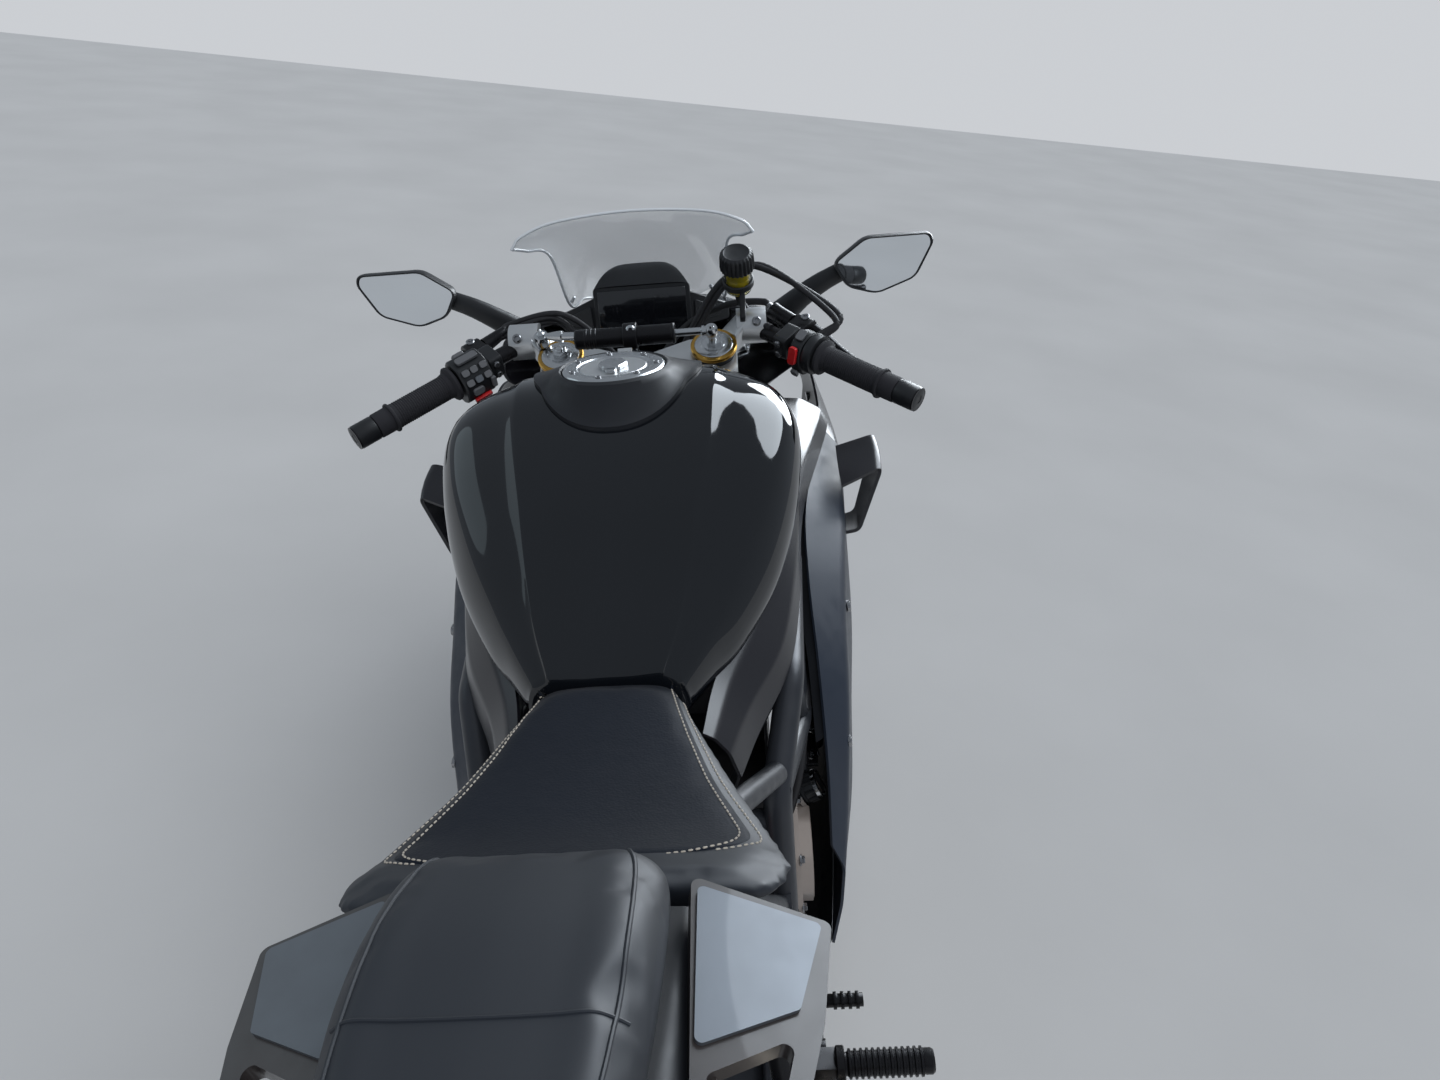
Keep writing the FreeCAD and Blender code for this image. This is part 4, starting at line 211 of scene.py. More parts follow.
class Shell:
    """Mesh in the making: grids of points on the upright machine, joined into one piece.

    Every method that adds to the shell returns it, so that calls can follow one another.
    """

    def __init__(self, body: Body = Body.FRAME) -> None:
        """Starts with no points, to ride on a body."""
        self.body = body
        self.points: list[np.ndarray] = []
        self.faces: list[tuple[int, ...]] = []
        self.total = 0

    def grid(self, points: np.ndarray, loop_rows: bool = False, loop_cols: bool = False,
            caps: bool = False) -> "Shell":
        """Adds a grid of quads, corner (i, j) to (i + 1, j + 1).

        Args:
            points: array of rows, columns and coordinates.
            loop_rows: whether the last row joins the first.
            loop_cols: whether the last column joins the first.
            caps: whether the first and last rows are closed with a face.
        """
        rows, cols = points.shape[:2]
        r = np.arange(rows if loop_rows else rows - 1)
        c = np.arange(cols if loop_cols else cols - 1)
        i, j = np.meshgrid(r, c, indexing="ij")
        n, m = (i + 1) % rows, (j + 1) % cols
        quads = np.stack([i * cols + j, n * cols + j, n * cols + m, i * cols + m], axis=-1).reshape(-1, 4)
        self.faces += [tuple(q) for q in (quads + self.total).tolist()]
        if caps:
            self.faces.append(tuple(range(self.total + cols - 1, self.total - 1, -1)))
            start = self.total + (rows - 1) * cols
            self.faces.append(tuple(range(start, start + cols)))
        self.points.append(points.reshape(-1, 3))
        self.total += rows * cols
        return self

    def sheet(self, points: np.ndarray, wall: float, inside: Numbers, loop_cols: bool = False) -> "Shell":
        """Adds a closed sheet with thickness: the grid, its copy set back along the normals, and the rims.

        Args:
            points: outer grid of rows, columns and coordinates.
            wall: thickness in millimetres.
            inside: a point that the outer face looks away from.
            loop_cols: whether the last column joins the first.
        """
        if loop_cols:
            ring = np.concatenate([points[:, -1:], points, points[:, :1]], axis=1)
            across = (ring[:, 2:] - ring[:, :-2]) / 2
        else:
            across = np.gradient(points, axis=1)
        normal = unit(np.cross(np.gradient(points, axis=0), across))
        if np.sum(normal * unit(points - np.asarray(inside, float))) < 0:
            normal = -normal
        inner = points - normal * wall
        self.grid(points, loop_cols=loop_cols)
        self.grid(inner[:, ::-1], loop_cols=loop_cols)
        for row in (0, -1):
            self.grid(np.stack([points[row], inner[row]]), loop_cols=loop_cols)
        if not loop_cols:
            for col in (0, -1):
                self.grid(np.stack([points[:, col], inner[:, col]]))
        return self

    def pair(self, points: np.ndarray, wall: float, inside: Numbers) -> "Shell":
        """Adds a sheet with thickness and its mirror image."""
        return self.sheet(points, wall, inside).sheet(mirror(points), wall, mirror(inside))

    def leaned(self) -> "Shell":
        """Takes every point from the steering frame to the upright machine; the piece turns with the bars."""
        self.points = [from_steering(points) for points in self.points]
        self.body = Body.STEERING
        return self

    def many(self, template: np.ndarray, spots: np.ndarray, frames: np.ndarray) -> "Shell":
        """Adds a small closed stack of rings at many spots: spot + axes (in columns) times template."""
        copies = np.einsum("nij,rcj->nrci", frames, template) + np.asarray(spots)[:, None, None, :]
        for points in copies:
            self.grid(points, loop_cols=True, caps=True)
        return self

    def tube(self, path: Sequence, radius: Numbers | float, sides: int = 16, caps: bool = True,
            squash: float = 1) -> "Shell":
        """Adds a round bar: a circle carried square to the path, path + r(cos a * n + sin a * b).

        Args:
            path: points of the middle line.
            radius: one radius, or one for each point.
            sides: columns round the bar.
            caps: whether the ends are closed.
            squash: height of the section over its width.
        """
        p = np.asarray(path, float)
        tangent = unit(np.gradient(p, axis=0))
        mean = np.abs(tangent).mean(axis=0)
        reference = np.eye(3)[int(np.argmin(mean))]
        normal = unit(np.cross(tangent, reference))
        binormal = np.cross(tangent, normal)
        r = np.broadcast_to(np.asarray(radius, float), len(p))[:, None, None]
        cos, sin = circle(sides).T[:, None, :, None]
        ring = cos * normal[:, None] + squash * sin * binormal[:, None]
        return self.grid(p[:, None] + r * ring, loop_cols=True, caps=caps)

    def lathe(self, profile: Sequence, start: Numbers, along: Numbers, sides: int = 48,
            closed: bool = False) -> "Shell":
        """Adds a turned form: the profile (distance, radius) spun round a line.

        Args:
            profile: pairs of distance along the line and radius.
            start: where the line starts.
            along: direction of the line.
            sides: columns round the form.
            closed: whether the profile is a loop, as on a ring.
        """
        pair = np.asarray(profile, float)
        axis = unit(np.asarray(along, float))
        helper = np.array([0, 0, 1]) if abs(axis[2]) < 0.9 else np.array([1, 0, 0])
        n = unit(np.cross(axis, helper))
        b = np.cross(axis, n)
        ring = circle(sides) @ np.stack([n, b])
        points = np.asarray(start, float) + pair[:, 0, None, None] * axis + pair[:, 1, None, None] * ring[None]
        return self.grid(points, loop_rows=closed, loop_cols=True, caps=not closed)

    def slab(self, outline: Sequence, depth: Numbers, edge: float = 1) -> "Shell":
        """Adds a plate: its outline, drawn in by a bevel's width at both faces, carried along the depth."""
        p = np.asarray(outline, float)
        d = np.asarray(depth, float)
        centre = p.mean(axis=0)
        spread = np.maximum(np.linalg.norm(p - centre, axis=1, keepdims=True), 1e-6)
        inset = p - (p - centre) / spread * edge
        along = unit(d) * edge
        return self.grid(np.stack([inset, p + along, p + d - along, inset + d]), loop_cols=True, caps=True)

    def build(self, name: str, finish: "Coating", slot: str, *replaced: str, wall: float = 0, bevel: float = 0,
            angle: float = 32) -> Thing:
        """Makes the object, with its faces outward, and lets it ride on its body.

        Args:
            name: the piece's name.
            finish: what it is made of.
            slot: the record's material slot; not used.
            replaced: solids that it stands for.
            wall: thickness that an open sheet gets inward, in millimetres.
            bevel: width of a bevel modifier in millimetres.
            angle: edges sharper than this stay crisp, in degrees.

        Returns:
            The finished object.
        """
        points = STANCE.place(np.concatenate(self.points))
        mesh = bpy.data.meshes.new(name)
        mesh.from_pydata(points.tolist(), [], self.faces)
        work = bmesh.new()
        work.from_mesh(mesh)
        bmesh.ops.remove_doubles(work, verts=work.verts, dist=1e-6)
        bmesh.ops.dissolve_degenerate(work, dist=1e-7, edges=work.edges)
        bmesh.ops.recalc_face_normals(work, faces=work.faces)
        work.to_mesh(mesh)
        work.free()
        mesh.shade_smooth()
        mesh.set_sharp_from_angle(angle=math.radians(angle))
        made = placed(name, mesh)
        if wall:
            thick = made.modifiers.new("wall", "SOLIDIFY")
            thick.thickness = wall / 1000
            thick.offset = -1.0
            thick.use_even_offset = True
        if bevel:
            bevelled(made, bevel / 1000, angle)
        made.data.materials.append(finish.material())
        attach(made, self.body.value)
        if replaced:
            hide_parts(*replaced)
        return made


def section_loft(rows: Sequence, along: int, around: int) -> np.ndarray:
    """Smooth sheet through a table of sections, splined across each one and then from row to row."""
    table = np.asarray(rows, float)
    across = np.stack([spline(row, around) for row in table])
    return spline(across, along)


class Grain(Enum):
    """Kinds of fine surface that a finish can carry."""

    SMOOTH = "smooth"
    CAST = "cast"
    PEBBLE = "pebble"
    CELLS = "cells"
    BRUSHED = "brushed"


class Graph:
    """The nodes of one material, from its shader back."""

    def __init__(self, name: str) -> None:
        """Starts a material with its shader and output."""
        self.material = bpy.data.materials.new(name)
        self.material.use_nodes = True
        self.tree = self.material.node_tree
        self.tree.nodes.clear()
        self.shader = self.tree.nodes.new("ShaderNodeBsdfPrincipled")
        output = self.tree.nodes.new("ShaderNodeOutputMaterial")
        self.link(self.shader.outputs[0], output.inputs["Surface"])
        self.coordinates = self.tree.nodes.new("ShaderNodeTexCoord").outputs["Object"]

    def link(self, source: Socket, target: Socket) -> None:
        """Joins two sockets."""
        self.tree.links.new(source, target)

    def node(self, kind: str, fed: str, source: Socket, **values: object) -> bpy.types.Node:
        """A node with one input fed by a source and others set to values, their names with _ for a space."""
        made = self.tree.nodes.new(kind)
        for name, value in values.items():
            made.inputs[name.replace("_", " ")].default_value = value
        self.link(source, made.inputs[fed])
        return made

    def stretched(self, scale: Numbers) -> Socket:
        """Object coordinates scaled along their axes."""
        return self.node("ShaderNodeMapping", "Vector", self.coordinates, Scale=scale).outputs[0]

    def noise(self, scale: float, detail: float = 4, vector: Optional[Socket] = None) -> Socket:
        """Cloudy noise of so many waves a metre."""
        return self.node("ShaderNodeTexNoise", "Vector", vector or self.coordinates, Scale=scale,
            Detail=detail).outputs[0]

    def cells(self, scale: float) -> Socket:
        """Rounded cells of so many a metre."""
        made = self.tree.nodes.new("ShaderNodeTexVoronoi")
        made.feature = "SMOOTH_F1"
        made.inputs["Scale"].default_value = scale
        made.inputs["Smoothness"].default_value = 0.6
        self.link(self.coordinates, made.inputs["Vector"])
        return made.outputs[0]

    def spread(self, source: Socket, low: float, high: float) -> Socket:
        """Maps a noise's usual range, 0.3 to 0.7, to low..high."""
        return self.node("ShaderNodeMapRange", "Value", source, From_Min=0.3, From_Max=0.7, To_Min=low,
            To_Max=high).outputs[0]

    def blend(self, source: Socket, stops: Sequence[tuple[float, Colour]]) -> Socket:
        """Colour ramp through the stops."""
        ramp = self.node("ShaderNodeValToRGB", "Fac", source)
        elements = ramp.color_ramp.elements
        while len(elements) < len(stops):
            elements.new(0.5)
        for element, (place, colour) in zip(elements, stops):
            element.position = place
            element.color = (*colour, 1)
        return ramp.outputs[0]

    def bump(self, source: Socket, depth: float, under: Optional[Socket] = None) -> Socket:
        """Surface relief from a value, its depth in millimetres, over another relief."""
        made = self.node("ShaderNodeBump", "Height", source, Distance=depth / 1000, Strength=1.0)
        if under is not None:
            self.link(under, made.inputs["Normal"])
        return made.outputs[0]


@dataclass(frozen=True)
class Coating(ABC):
    """What every finish has: a name, a colour and one shared material."""

    name: str
    colour: Colour

    def material(self) -> bpy.types.Material:
        """The material, made once and then shared."""
        return bpy.data.materials.get(self.name) or self.make()

    @abstractmethod
    def make(self) -> bpy.types.Material:
        """Builds the nodes of this finish."""


@dataclass(frozen=True)
class Finish(Coating):
    """An opaque finish: colour that varies a little, its gloss, and a fine surface."""

    roughness: float
    metallic: float = 0.0
    coat: float = 0.0
    sheen: float = 0.0
    mottle: float = 0.12
    mottle_scale: float = 9.0
    wear: float = 0.06
    grain: Grain = Grain.SMOOTH
    waves: float = 900.0
    depth: float = 0.05
    specular: float = 0.5

    def make(self) -> bpy.types.Material:
        """Builds the nodes of this finish."""
        g = Graph(self.name)
        shader = g.shader.inputs
        for name, value in (("Metallic", self.metallic), ("Specular IOR Level", self.specular),
                ("Coat Weight", self.coat), ("Coat Roughness", 0.03), ("Sheen Weight", self.sheen)):
            shader[name].default_value = value
        cloud = g.noise(self.mottle_scale, 6)
        dark = tuple(c * (1 - self.mottle) for c in self.colour)
        light = tuple(min(1, c * (1 + self.mottle)) for c in self.colour)
        g.link(g.blend(cloud, [(0.3, dark), (0.7, light)]), shader["Base Color"])
        patchy = g.noise(self.mottle_scale * 7, 8)
        rough = g.spread(patchy, max(0.02, self.roughness - self.wear), self.roughness + self.wear)
        g.link(rough, shader["Roughness"])
        if self.grain is not Grain.SMOOTH:
            g.link(self.relief(g), shader["Normal"])
        return g.material

    def relief(self, g: Graph) -> Socket:
        """The fine surface of this finish."""
        if self.grain is Grain.CELLS:
            fine = g.bump(g.cells(self.waves), self.depth)
            return g.bump(g.noise(self.waves * 0.16, 3), self.depth * 2, under=fine)
        if self.grain is Grain.BRUSHED:
            return g.bump(g.noise(self.waves, 3, g.stretched((0.04, 1, 1))), self.depth)
        detail = 2 if self.grain is Grain.PEBBLE else 8
        return g.bump(g.noise(self.waves, detail), self.depth)


@dataclass(frozen=True)
class ClearFinish(Coating):
    """A finish that light passes through, such as the screen, lenses and the fluid cup."""

    roughness: float = 0.02
    index: float = 1.45
    clearness: float = 1.0

    def make(self) -> bpy.types.Material:
        """Builds the nodes of this finish."""
        g = Graph(self.name)
        shader = g.shader.inputs
        shader["Transmission Weight"].default_value = self.clearness
        shader["IOR"].default_value = self.index
        haze = g.noise(40, 6)
        dark = tuple(c * 0.97 for c in self.colour)
        g.link(g.blend(haze, [(0.3, dark), (0.7, self.colour)]), shader["Base Color"])
        g.link(g.spread(haze, self.roughness, self.roughness + 0.02), shader["Roughness"])
        return g.material


@dataclass(frozen=True)
class ScorchedFinish(Coating):
    """Steel pipe that straw and blue heat colours run over."""

    straw: Colour = (0.42, 0.35, 0.27)
    blue: Colour = (0.29, 0.30, 0.34)

    def make(self) -> bpy.types.Material:
        """Builds the nodes of this finish."""
        g = Graph(self.name)
        shader = g.shader.inputs
        shader["Metallic"].default_value = 1.0
        heat = g.noise(6, 5)
        g.link(g.blend(heat, [(0.32, self.colour), (0.5, self.straw), (0.68, self.blue)]), shader["Base Color"])
        g.link(g.spread(g.noise(60, 8), 0.24, 0.42), shader["Roughness"])
        g.link(g.bump(g.noise(500, 4, g.stretched((1, 0.06, 1))), 0.03), shader["Normal"])
        return g.material


GLOSS = Finish("gloss_black", (0.004, 0.005, 0.007), 0.05, coat=0.3, mottle=0.1, wear=0.015)
PANEL = Finish("gloss_panel", (0.005, 0.006, 0.008), 0.06, coat=0.55, mottle=0.1, wear=0.02)
MATTE = Finish("matte_black", (0.013, 0.0145, 0.018), 0.5, specular=0.4, grain=Grain.PEBBLE, waves=1700, depth=0.03)
DEEP = Finish("moulded_black", (0.011, 0.012, 0.014), 0.42, grain=Grain.PEBBLE, waves=1200, depth=0.02)
BLADE_COAT = Finish("slate_panel", (0.019, 0.026, 0.041), 0.42, specular=0.4, mottle=0.08, grain=Grain.PEBBLE,
    waves=2400, depth=0.02)
TAIL_COAT = Finish("brown_grey", (0.036, 0.031, 0.031), 0.34, coat=0.25, grain=Grain.PEBBLE, waves=2200, depth=0.01)
SILVER_COAT = Finish("silver_grey", (0.125, 0.14, 0.16), 0.4, metallic=0.45, coat=0.25, mottle=0.05, grain=Grain.CAST,
    waves=4200, depth=0.01)
TUBE_COAT = Finish("frame_grey", (0.026, 0.029, 0.036), 0.36, metallic=0.2, grain=Grain.PEBBLE, waves=900, depth=0.04)
CAST_SILVER = Finish("cast_silver", (0.53, 0.54, 0.55), 0.34, metallic=0.9, grain=Grain.CAST, waves=1500, depth=0.04)
TURNED = Finish("turned_silver", (0.66, 0.67, 0.68), 0.2, metallic=1.0, mottle=0.05, grain=Grain.BRUSHED, waves=2600,
    depth=0.02)
CHROME = Finish("polished_leg", (0.75, 0.76, 0.78), 0.07, metallic=1.0, mottle=0.03, wear=0.02)
GOLD = Finish("gold_anodised", (0.62, 0.36, 0.08), 0.22, metallic=1.0, mottle=0.06)
STEEL = Finish("oiled_steel", (0.24, 0.21, 0.17), 0.36, metallic=1.0, mottle=0.25, mottle_scale=60)
DISC_STEEL = Finish("disc_steel", (0.42, 0.42, 0.43), 0.26, metallic=1.0, grain=Grain.BRUSHED, waves=1800, depth=0.03)
BOLT_STEEL = Finish("bolt_steel", (0.36, 0.36, 0.37), 0.28, metallic=1.0, mottle=0.15, mottle_scale=80)
ENGINE_COAT = Finish("engine_black", (0.024, 0.024, 0.026), 0.46, metallic=0.3, grain=Grain.CAST, waves=700,
    depth=0.12)
BRONZE = Finish("bronze_grey", (0.30, 0.265, 0.245), 0.4, metallic=0.35, grain=Grain.CAST, waves=900, depth=0.05)
BLACK_METAL = Finish("black_anodised", (0.012, 0.012, 0.014), 0.3, metallic=0.5, grain=Grain.CAST, waves=2200,
    depth=0.02)
WHEEL_COAT = Finish("wheel_black", (0.012, 0.012, 0.014), 0.24, coat=0.3, metallic=0.2)
RUBBER = Finish("tyre_rubber", (0.012, 0.012, 0.0125), 0.72, mottle=0.25, mottle_scale=30, grain=Grain.CAST,
    waves=1100, depth=0.08)
GRIP = Finish("grip_rubber", (0.014, 0.015, 0.018), 0.62, grain=Grain.CELLS, waves=1300, depth=0.08)
HOSE = Finish("hose_rubber", (0.012, 0.012, 0.014), 0.5, grain=Grain.PEBBLE, waves=2600, depth=0.03)
LEATHER = Finish("seat_cover", (0.0105, 0.0145, 0.0235), 0.56, specular=0.15, sheen=0.06, mottle=0.1,
    grain=Grain.CELLS, waves=1100, depth=0.05)
CENTRE = Finish("seat_centre", (0.010, 0.0135, 0.0215), 0.66, specular=0.15, sheen=0.05, mottle=0.08,
    grain=Grain.CELLS, waves=480, depth=0.16)
THREAD = Finish("pale_thread", (0.50, 0.46, 0.40), 0.7, grain=Grain.PEBBLE, waves=4000, depth=0.05)
MIRROR = Finish("mirror_glass", (0.78, 0.82, 0.86), 0.02, metallic=1.0, mottle=0.01, wear=0.005)
DISPLAY = Finish("display_glass", (0.004, 0.0045, 0.006), 0.06, coat=1.0, mottle=0.05, wear=0.01)
BUTTON_RED = Finish("button_red", (0.42, 0.012, 0.014), 0.35, grain=Grain.PEBBLE, waves=2000, depth=0.02)
BUTTON_GREY = Finish("button_grey", (0.10, 0.105, 0.115), 0.42)
STRIP = Finish("lamp_strip", (0.72, 0.75, 0.78), 0.3, mottle=0.03)
SCREEN = ClearFinish("clear_screen", (0.955, 0.965, 0.97), 0.004, 1.012)
# Pale colour of the tube along the screen's edge: a painted highlight for the bright line that the clear edge shows.
SCREEN_EDGE_HIGHLIGHT = Finish("screen_edge", (0.62, 0.66, 0.70), 0.2, coat=0.6, mottle=0.05)
LENS = ClearFinish("clear_lens", (0.92, 0.94, 0.96), 0.02, 1.5)
RED_LENS = ClearFinish("red_lens", (0.62, 0.02, 0.02), 0.06, 1.49, 0.6)
CUP = ClearFinish("fluid_cup", (0.93, 0.92, 0.78), 0.03, 1.4)
FLUID = Finish("brake_fluid", (0.62, 0.50, 0.03), 0.15, coat=0.5, mottle=0.1, mottle_scale=60)
PIPE = ScorchedFinish("scorched_steel", (0.46, 0.42, 0.38))


@dataclass
class Carried:
    """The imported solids, each with its finish and softened shading; those not listed are matte."""

    finishes: tuple[tuple[Coating, str], ...] = (
        (WHEEL_COAT, "front_rim rear_rim"),
        (DISC_STEEL, "front_discs rear_disc"),
        (STEEL, "rear_sprocket drive_chain"),
        (RUBBER, "front_tyre rear_tyre"),
        (TURNED, "front_axle rear_axle"),
        (BLACK_METAL, "fork_tubes fork_feet front_calipers lower_clamp handlebars steering_damper "
                      "radiator footrests foot_controls rear_shock rear_caliper"),
        (CHROME, "fork_legs"),
        (CAST_SILVER, "top_clamp fuel_lid"),
        (GOLD, "fork_caps"),
        (GRIP, "grips"),
        (DEEP, "hand_controls brake_reservoir dash_display mirror_arms plate_hanger"),
        (PANEL, "front_fender tank_covers side_fairings nose_cowl winglets"),
        (TUBE_COAT, "main_frame swingarm side_stand"),
        (ENGINE_COAT, "engine_block"),
        (BRONZE, "engine_covers"),
        (PIPE, "exhaust_headers silencer"),
        (GLOSS, "fuel_tank"),
        (BLADE_COAT, "side_blades"),
        (LENS, "headlights"),
        (SCREEN, "windscreen"),
        (MIRROR, "mirror_glasses"),
        (RED_LENS, "tail_light"),
        (LEATHER, "rider_seat pillion_seat"),
        (TAIL_COAT, "tail_wings"),
        (SILVER_COAT, "wing_faces"),
    )
    rounded: str = "top_clamp footrests foot_controls engine_covers silencer_guard rear_caliper lower_clamp fork_feet"
    weld_reach: float = 1e-5
    rim_width: float = 0.0012
    rim_angle: float = 40.0
    split_angle: float = 28.0

    def dress(self, nodes: dict[str, Thing]) -> None:
        """Gives the solids, by name, their finish; loose triangles are welded and split again only at hard edges."""
        finishes = {name: finish for finish, names in self.finishes for name in names.split()}
        for name, solid in nodes.items():
            solid.data.materials.clear()
            solid.data.materials.append(finishes.get(name, MATTE).material())
            solid.data.shade_smooth()
            weld = solid.modifiers.new("weld", "WELD")
            weld.merge_threshold = self.weld_reach
            if name in self.rounded.split():
                bevelled(solid, self.rim_width, self.rim_angle)
            split = solid.modifiers.new("split", "EDGE_SPLIT")
            split.split_angle = math.radians(self.split_angle)
        LOG.info("carried solids dressed: %d", len(nodes))


@dataclass
class Studio:
    """Pale floor, soft lamps and the camera at the photograph's angle."""

    eye: tuple[float, float, float] = (-147.6, -152.2, 1349.5)
    right: tuple[float, float, float] = (0.008, -0.997, -0.077)
    down: tuple[float, float, float] = (-0.487, 0.063, -0.871)
    ahead: tuple[float, float, float] = (0.873, 0.044, -0.485)
    focal_pixels: float = 976.5
    frame_pixels: float = 1440.0
    floor_colour: Colour = (0.56, 0.57, 0.58)
    floor_half: float = 14.0
    floor_gap: float = 0.0015
    backdrop_colour: Colour = (0.60, 0.62, 0.65)
    sky_colour: Colour = (0.70, 0.78, 0.88)
    sky_power: float = 0.34
    sun_power: float = 1.95
    sun_spread: float = 60.0
    lamps: tuple = (("sky_ahead", (4.4, -2.5, 2.5), (0.1, -0.1, 0.85), (3.4, 3.4), 290, (0.88, 0.94, 1)),
        ("sky_high", (2, -2.1, 3.85), (0.1, -0.1, 0.9), (3, 2.5), 125, (0.84, 0.92, 1)), ("sky_left", (1.2, 3.6, 2.2),
        (0, 0, 0.7), (2.8, 1.8), 6, (0.75, 0.92, 1)))

    def camera(self) -> None:
        """Camera fitted to the photograph on the upright machine, leaned with it."""
        data = bpy.data.cameras.new("camera")
        data.sensor_width = 36.0
        data.lens = 36.0 * self.focal_pixels / self.frame_pixels
        data.clip_start = 0.02
        made = placed("camera", data)
        ahead = unit(np.array(self.ahead))
        right = unit(np.array(self.right) - ahead * np.dot(self.right, ahead))
        down = np.cross(ahead, right)
        axes = STANCE.turn @ np.stack([right, -down, -ahead], axis=1)
        matrix = np.eye(4)
        matrix[:3, :3], matrix[:3, 3] = axes, STANCE.place(np.array(self.eye))
        made.matrix_world = Matrix(matrix.tolist())
        bpy.context.scene.camera = made

    def floor(self) -> None:
        """A wide pale floor a hair under the tyres."""
        row = np.linspace(-self.floor_half, self.floor_half, 3)
        x, y = np.meshgrid(row, row, indexing="ij")
        shell = Shell().grid(xyz(x, y, -self.floor_gap))
        mesh = bpy.data.meshes.new("floor")
        mesh.from_pydata(np.concatenate(shell.points).tolist(), [], [f[::-1] for f in shell.faces])
        made = placed("floor", mesh)
        coat = Finish("floor_paint", self.floor_colour, 0.75, mottle=0.04, mottle_scale=1.2, grain=Grain.CAST,
            waves=60, depth=0.2, specular=0.0)
        made.data.materials.append(coat.material())

    def lamp(self, name: str, spot: Numbers, aim: Numbers, size: Numbers, power: float, colour: Colour) -> None:
        """One soft oval lamp that looks at a point of the row frame."""
        data = bpy.data.lights.new(name, "AREA")
        data.shape = "ELLIPSE"
        data.size, data.size_y = size
        data.energy = power
        data.color = colour
        made = placed(name, data)
        made.location = spot
        made.rotation_euler = (Vector(aim) - Vector(spot)).to_track_quat("-Z", "Y").to_euler()
        made.visible_diffuse = made.visible_camera = made.visible_transmission = False

    def lights(self) -> None:
        """A pale sky, a soft sun, and three lamps that only glossy faces see, brightest ahead and to the right."""
        world = bpy.data.worlds.new("sky")
        bpy.context.scene.world = world
        world.use_nodes = True
        tree = world.node_tree
        sky = tree.nodes["Background"]
        sky.inputs[0].default_value = (*self.sky_colour, 1)
        sky.inputs[1].default_value = self.sky_power
        backdrop = tree.nodes.new("ShaderNodeBackground")
        backdrop.inputs[0].default_value = (*self.backdrop_colour, 1)
        mix = tree.nodes.new("ShaderNodeMixShader")
        tree.links.new(tree.nodes.new("ShaderNodeLightPath").outputs["Is Camera Ray"], mix.inputs[0])
        tree.links.new(sky.outputs[0], mix.inputs[1])
        tree.links.new(backdrop.outputs[0], mix.inputs[2])
        tree.links.new(mix.outputs[0], tree.nodes["World Output"].inputs[0])
        sun = bpy.data.lights.new("soft_sun", "SUN")
        sun.energy = self.sun_power
        sun.angle = math.radians(self.sun_spread)
        made = placed("soft_sun", sun)
        made.rotation_euler = Vector((0.55, 0.30, -0.9)).to_track_quat("-Z", "Y").to_euler()
        made.visible_glossy = False
        for lamp in self.lamps:
            self.lamp(*lamp)

    def build(self) -> None:
        """Sets up the camera, floor and lamps."""
        self.camera()
        self.floor()
        self.lights()
        bpy.context.scene.view_settings.view_transform = "Standard"
        LOG.info("studio ready")


def closed_hull(rows: Sequence, along: int, around: int) -> np.ndarray:
    """Closed loops through half sections, each from the lower middle round the left to the upper middle."""
    half = section_loft(rows, along, around)
    other = mirror(half)[:, 1:-1][:, ::-1]
    return np.concatenate([half, other], axis=1)


def shrunk(loop: np.ndarray, share: float, shift: Numbers) -> np.ndarray:
    """A loop drawn towards its middle by a share and moved."""
    middle = loop.mean(axis=0)
    return middle + (loop - middle) * share + np.asarray(shift, float)


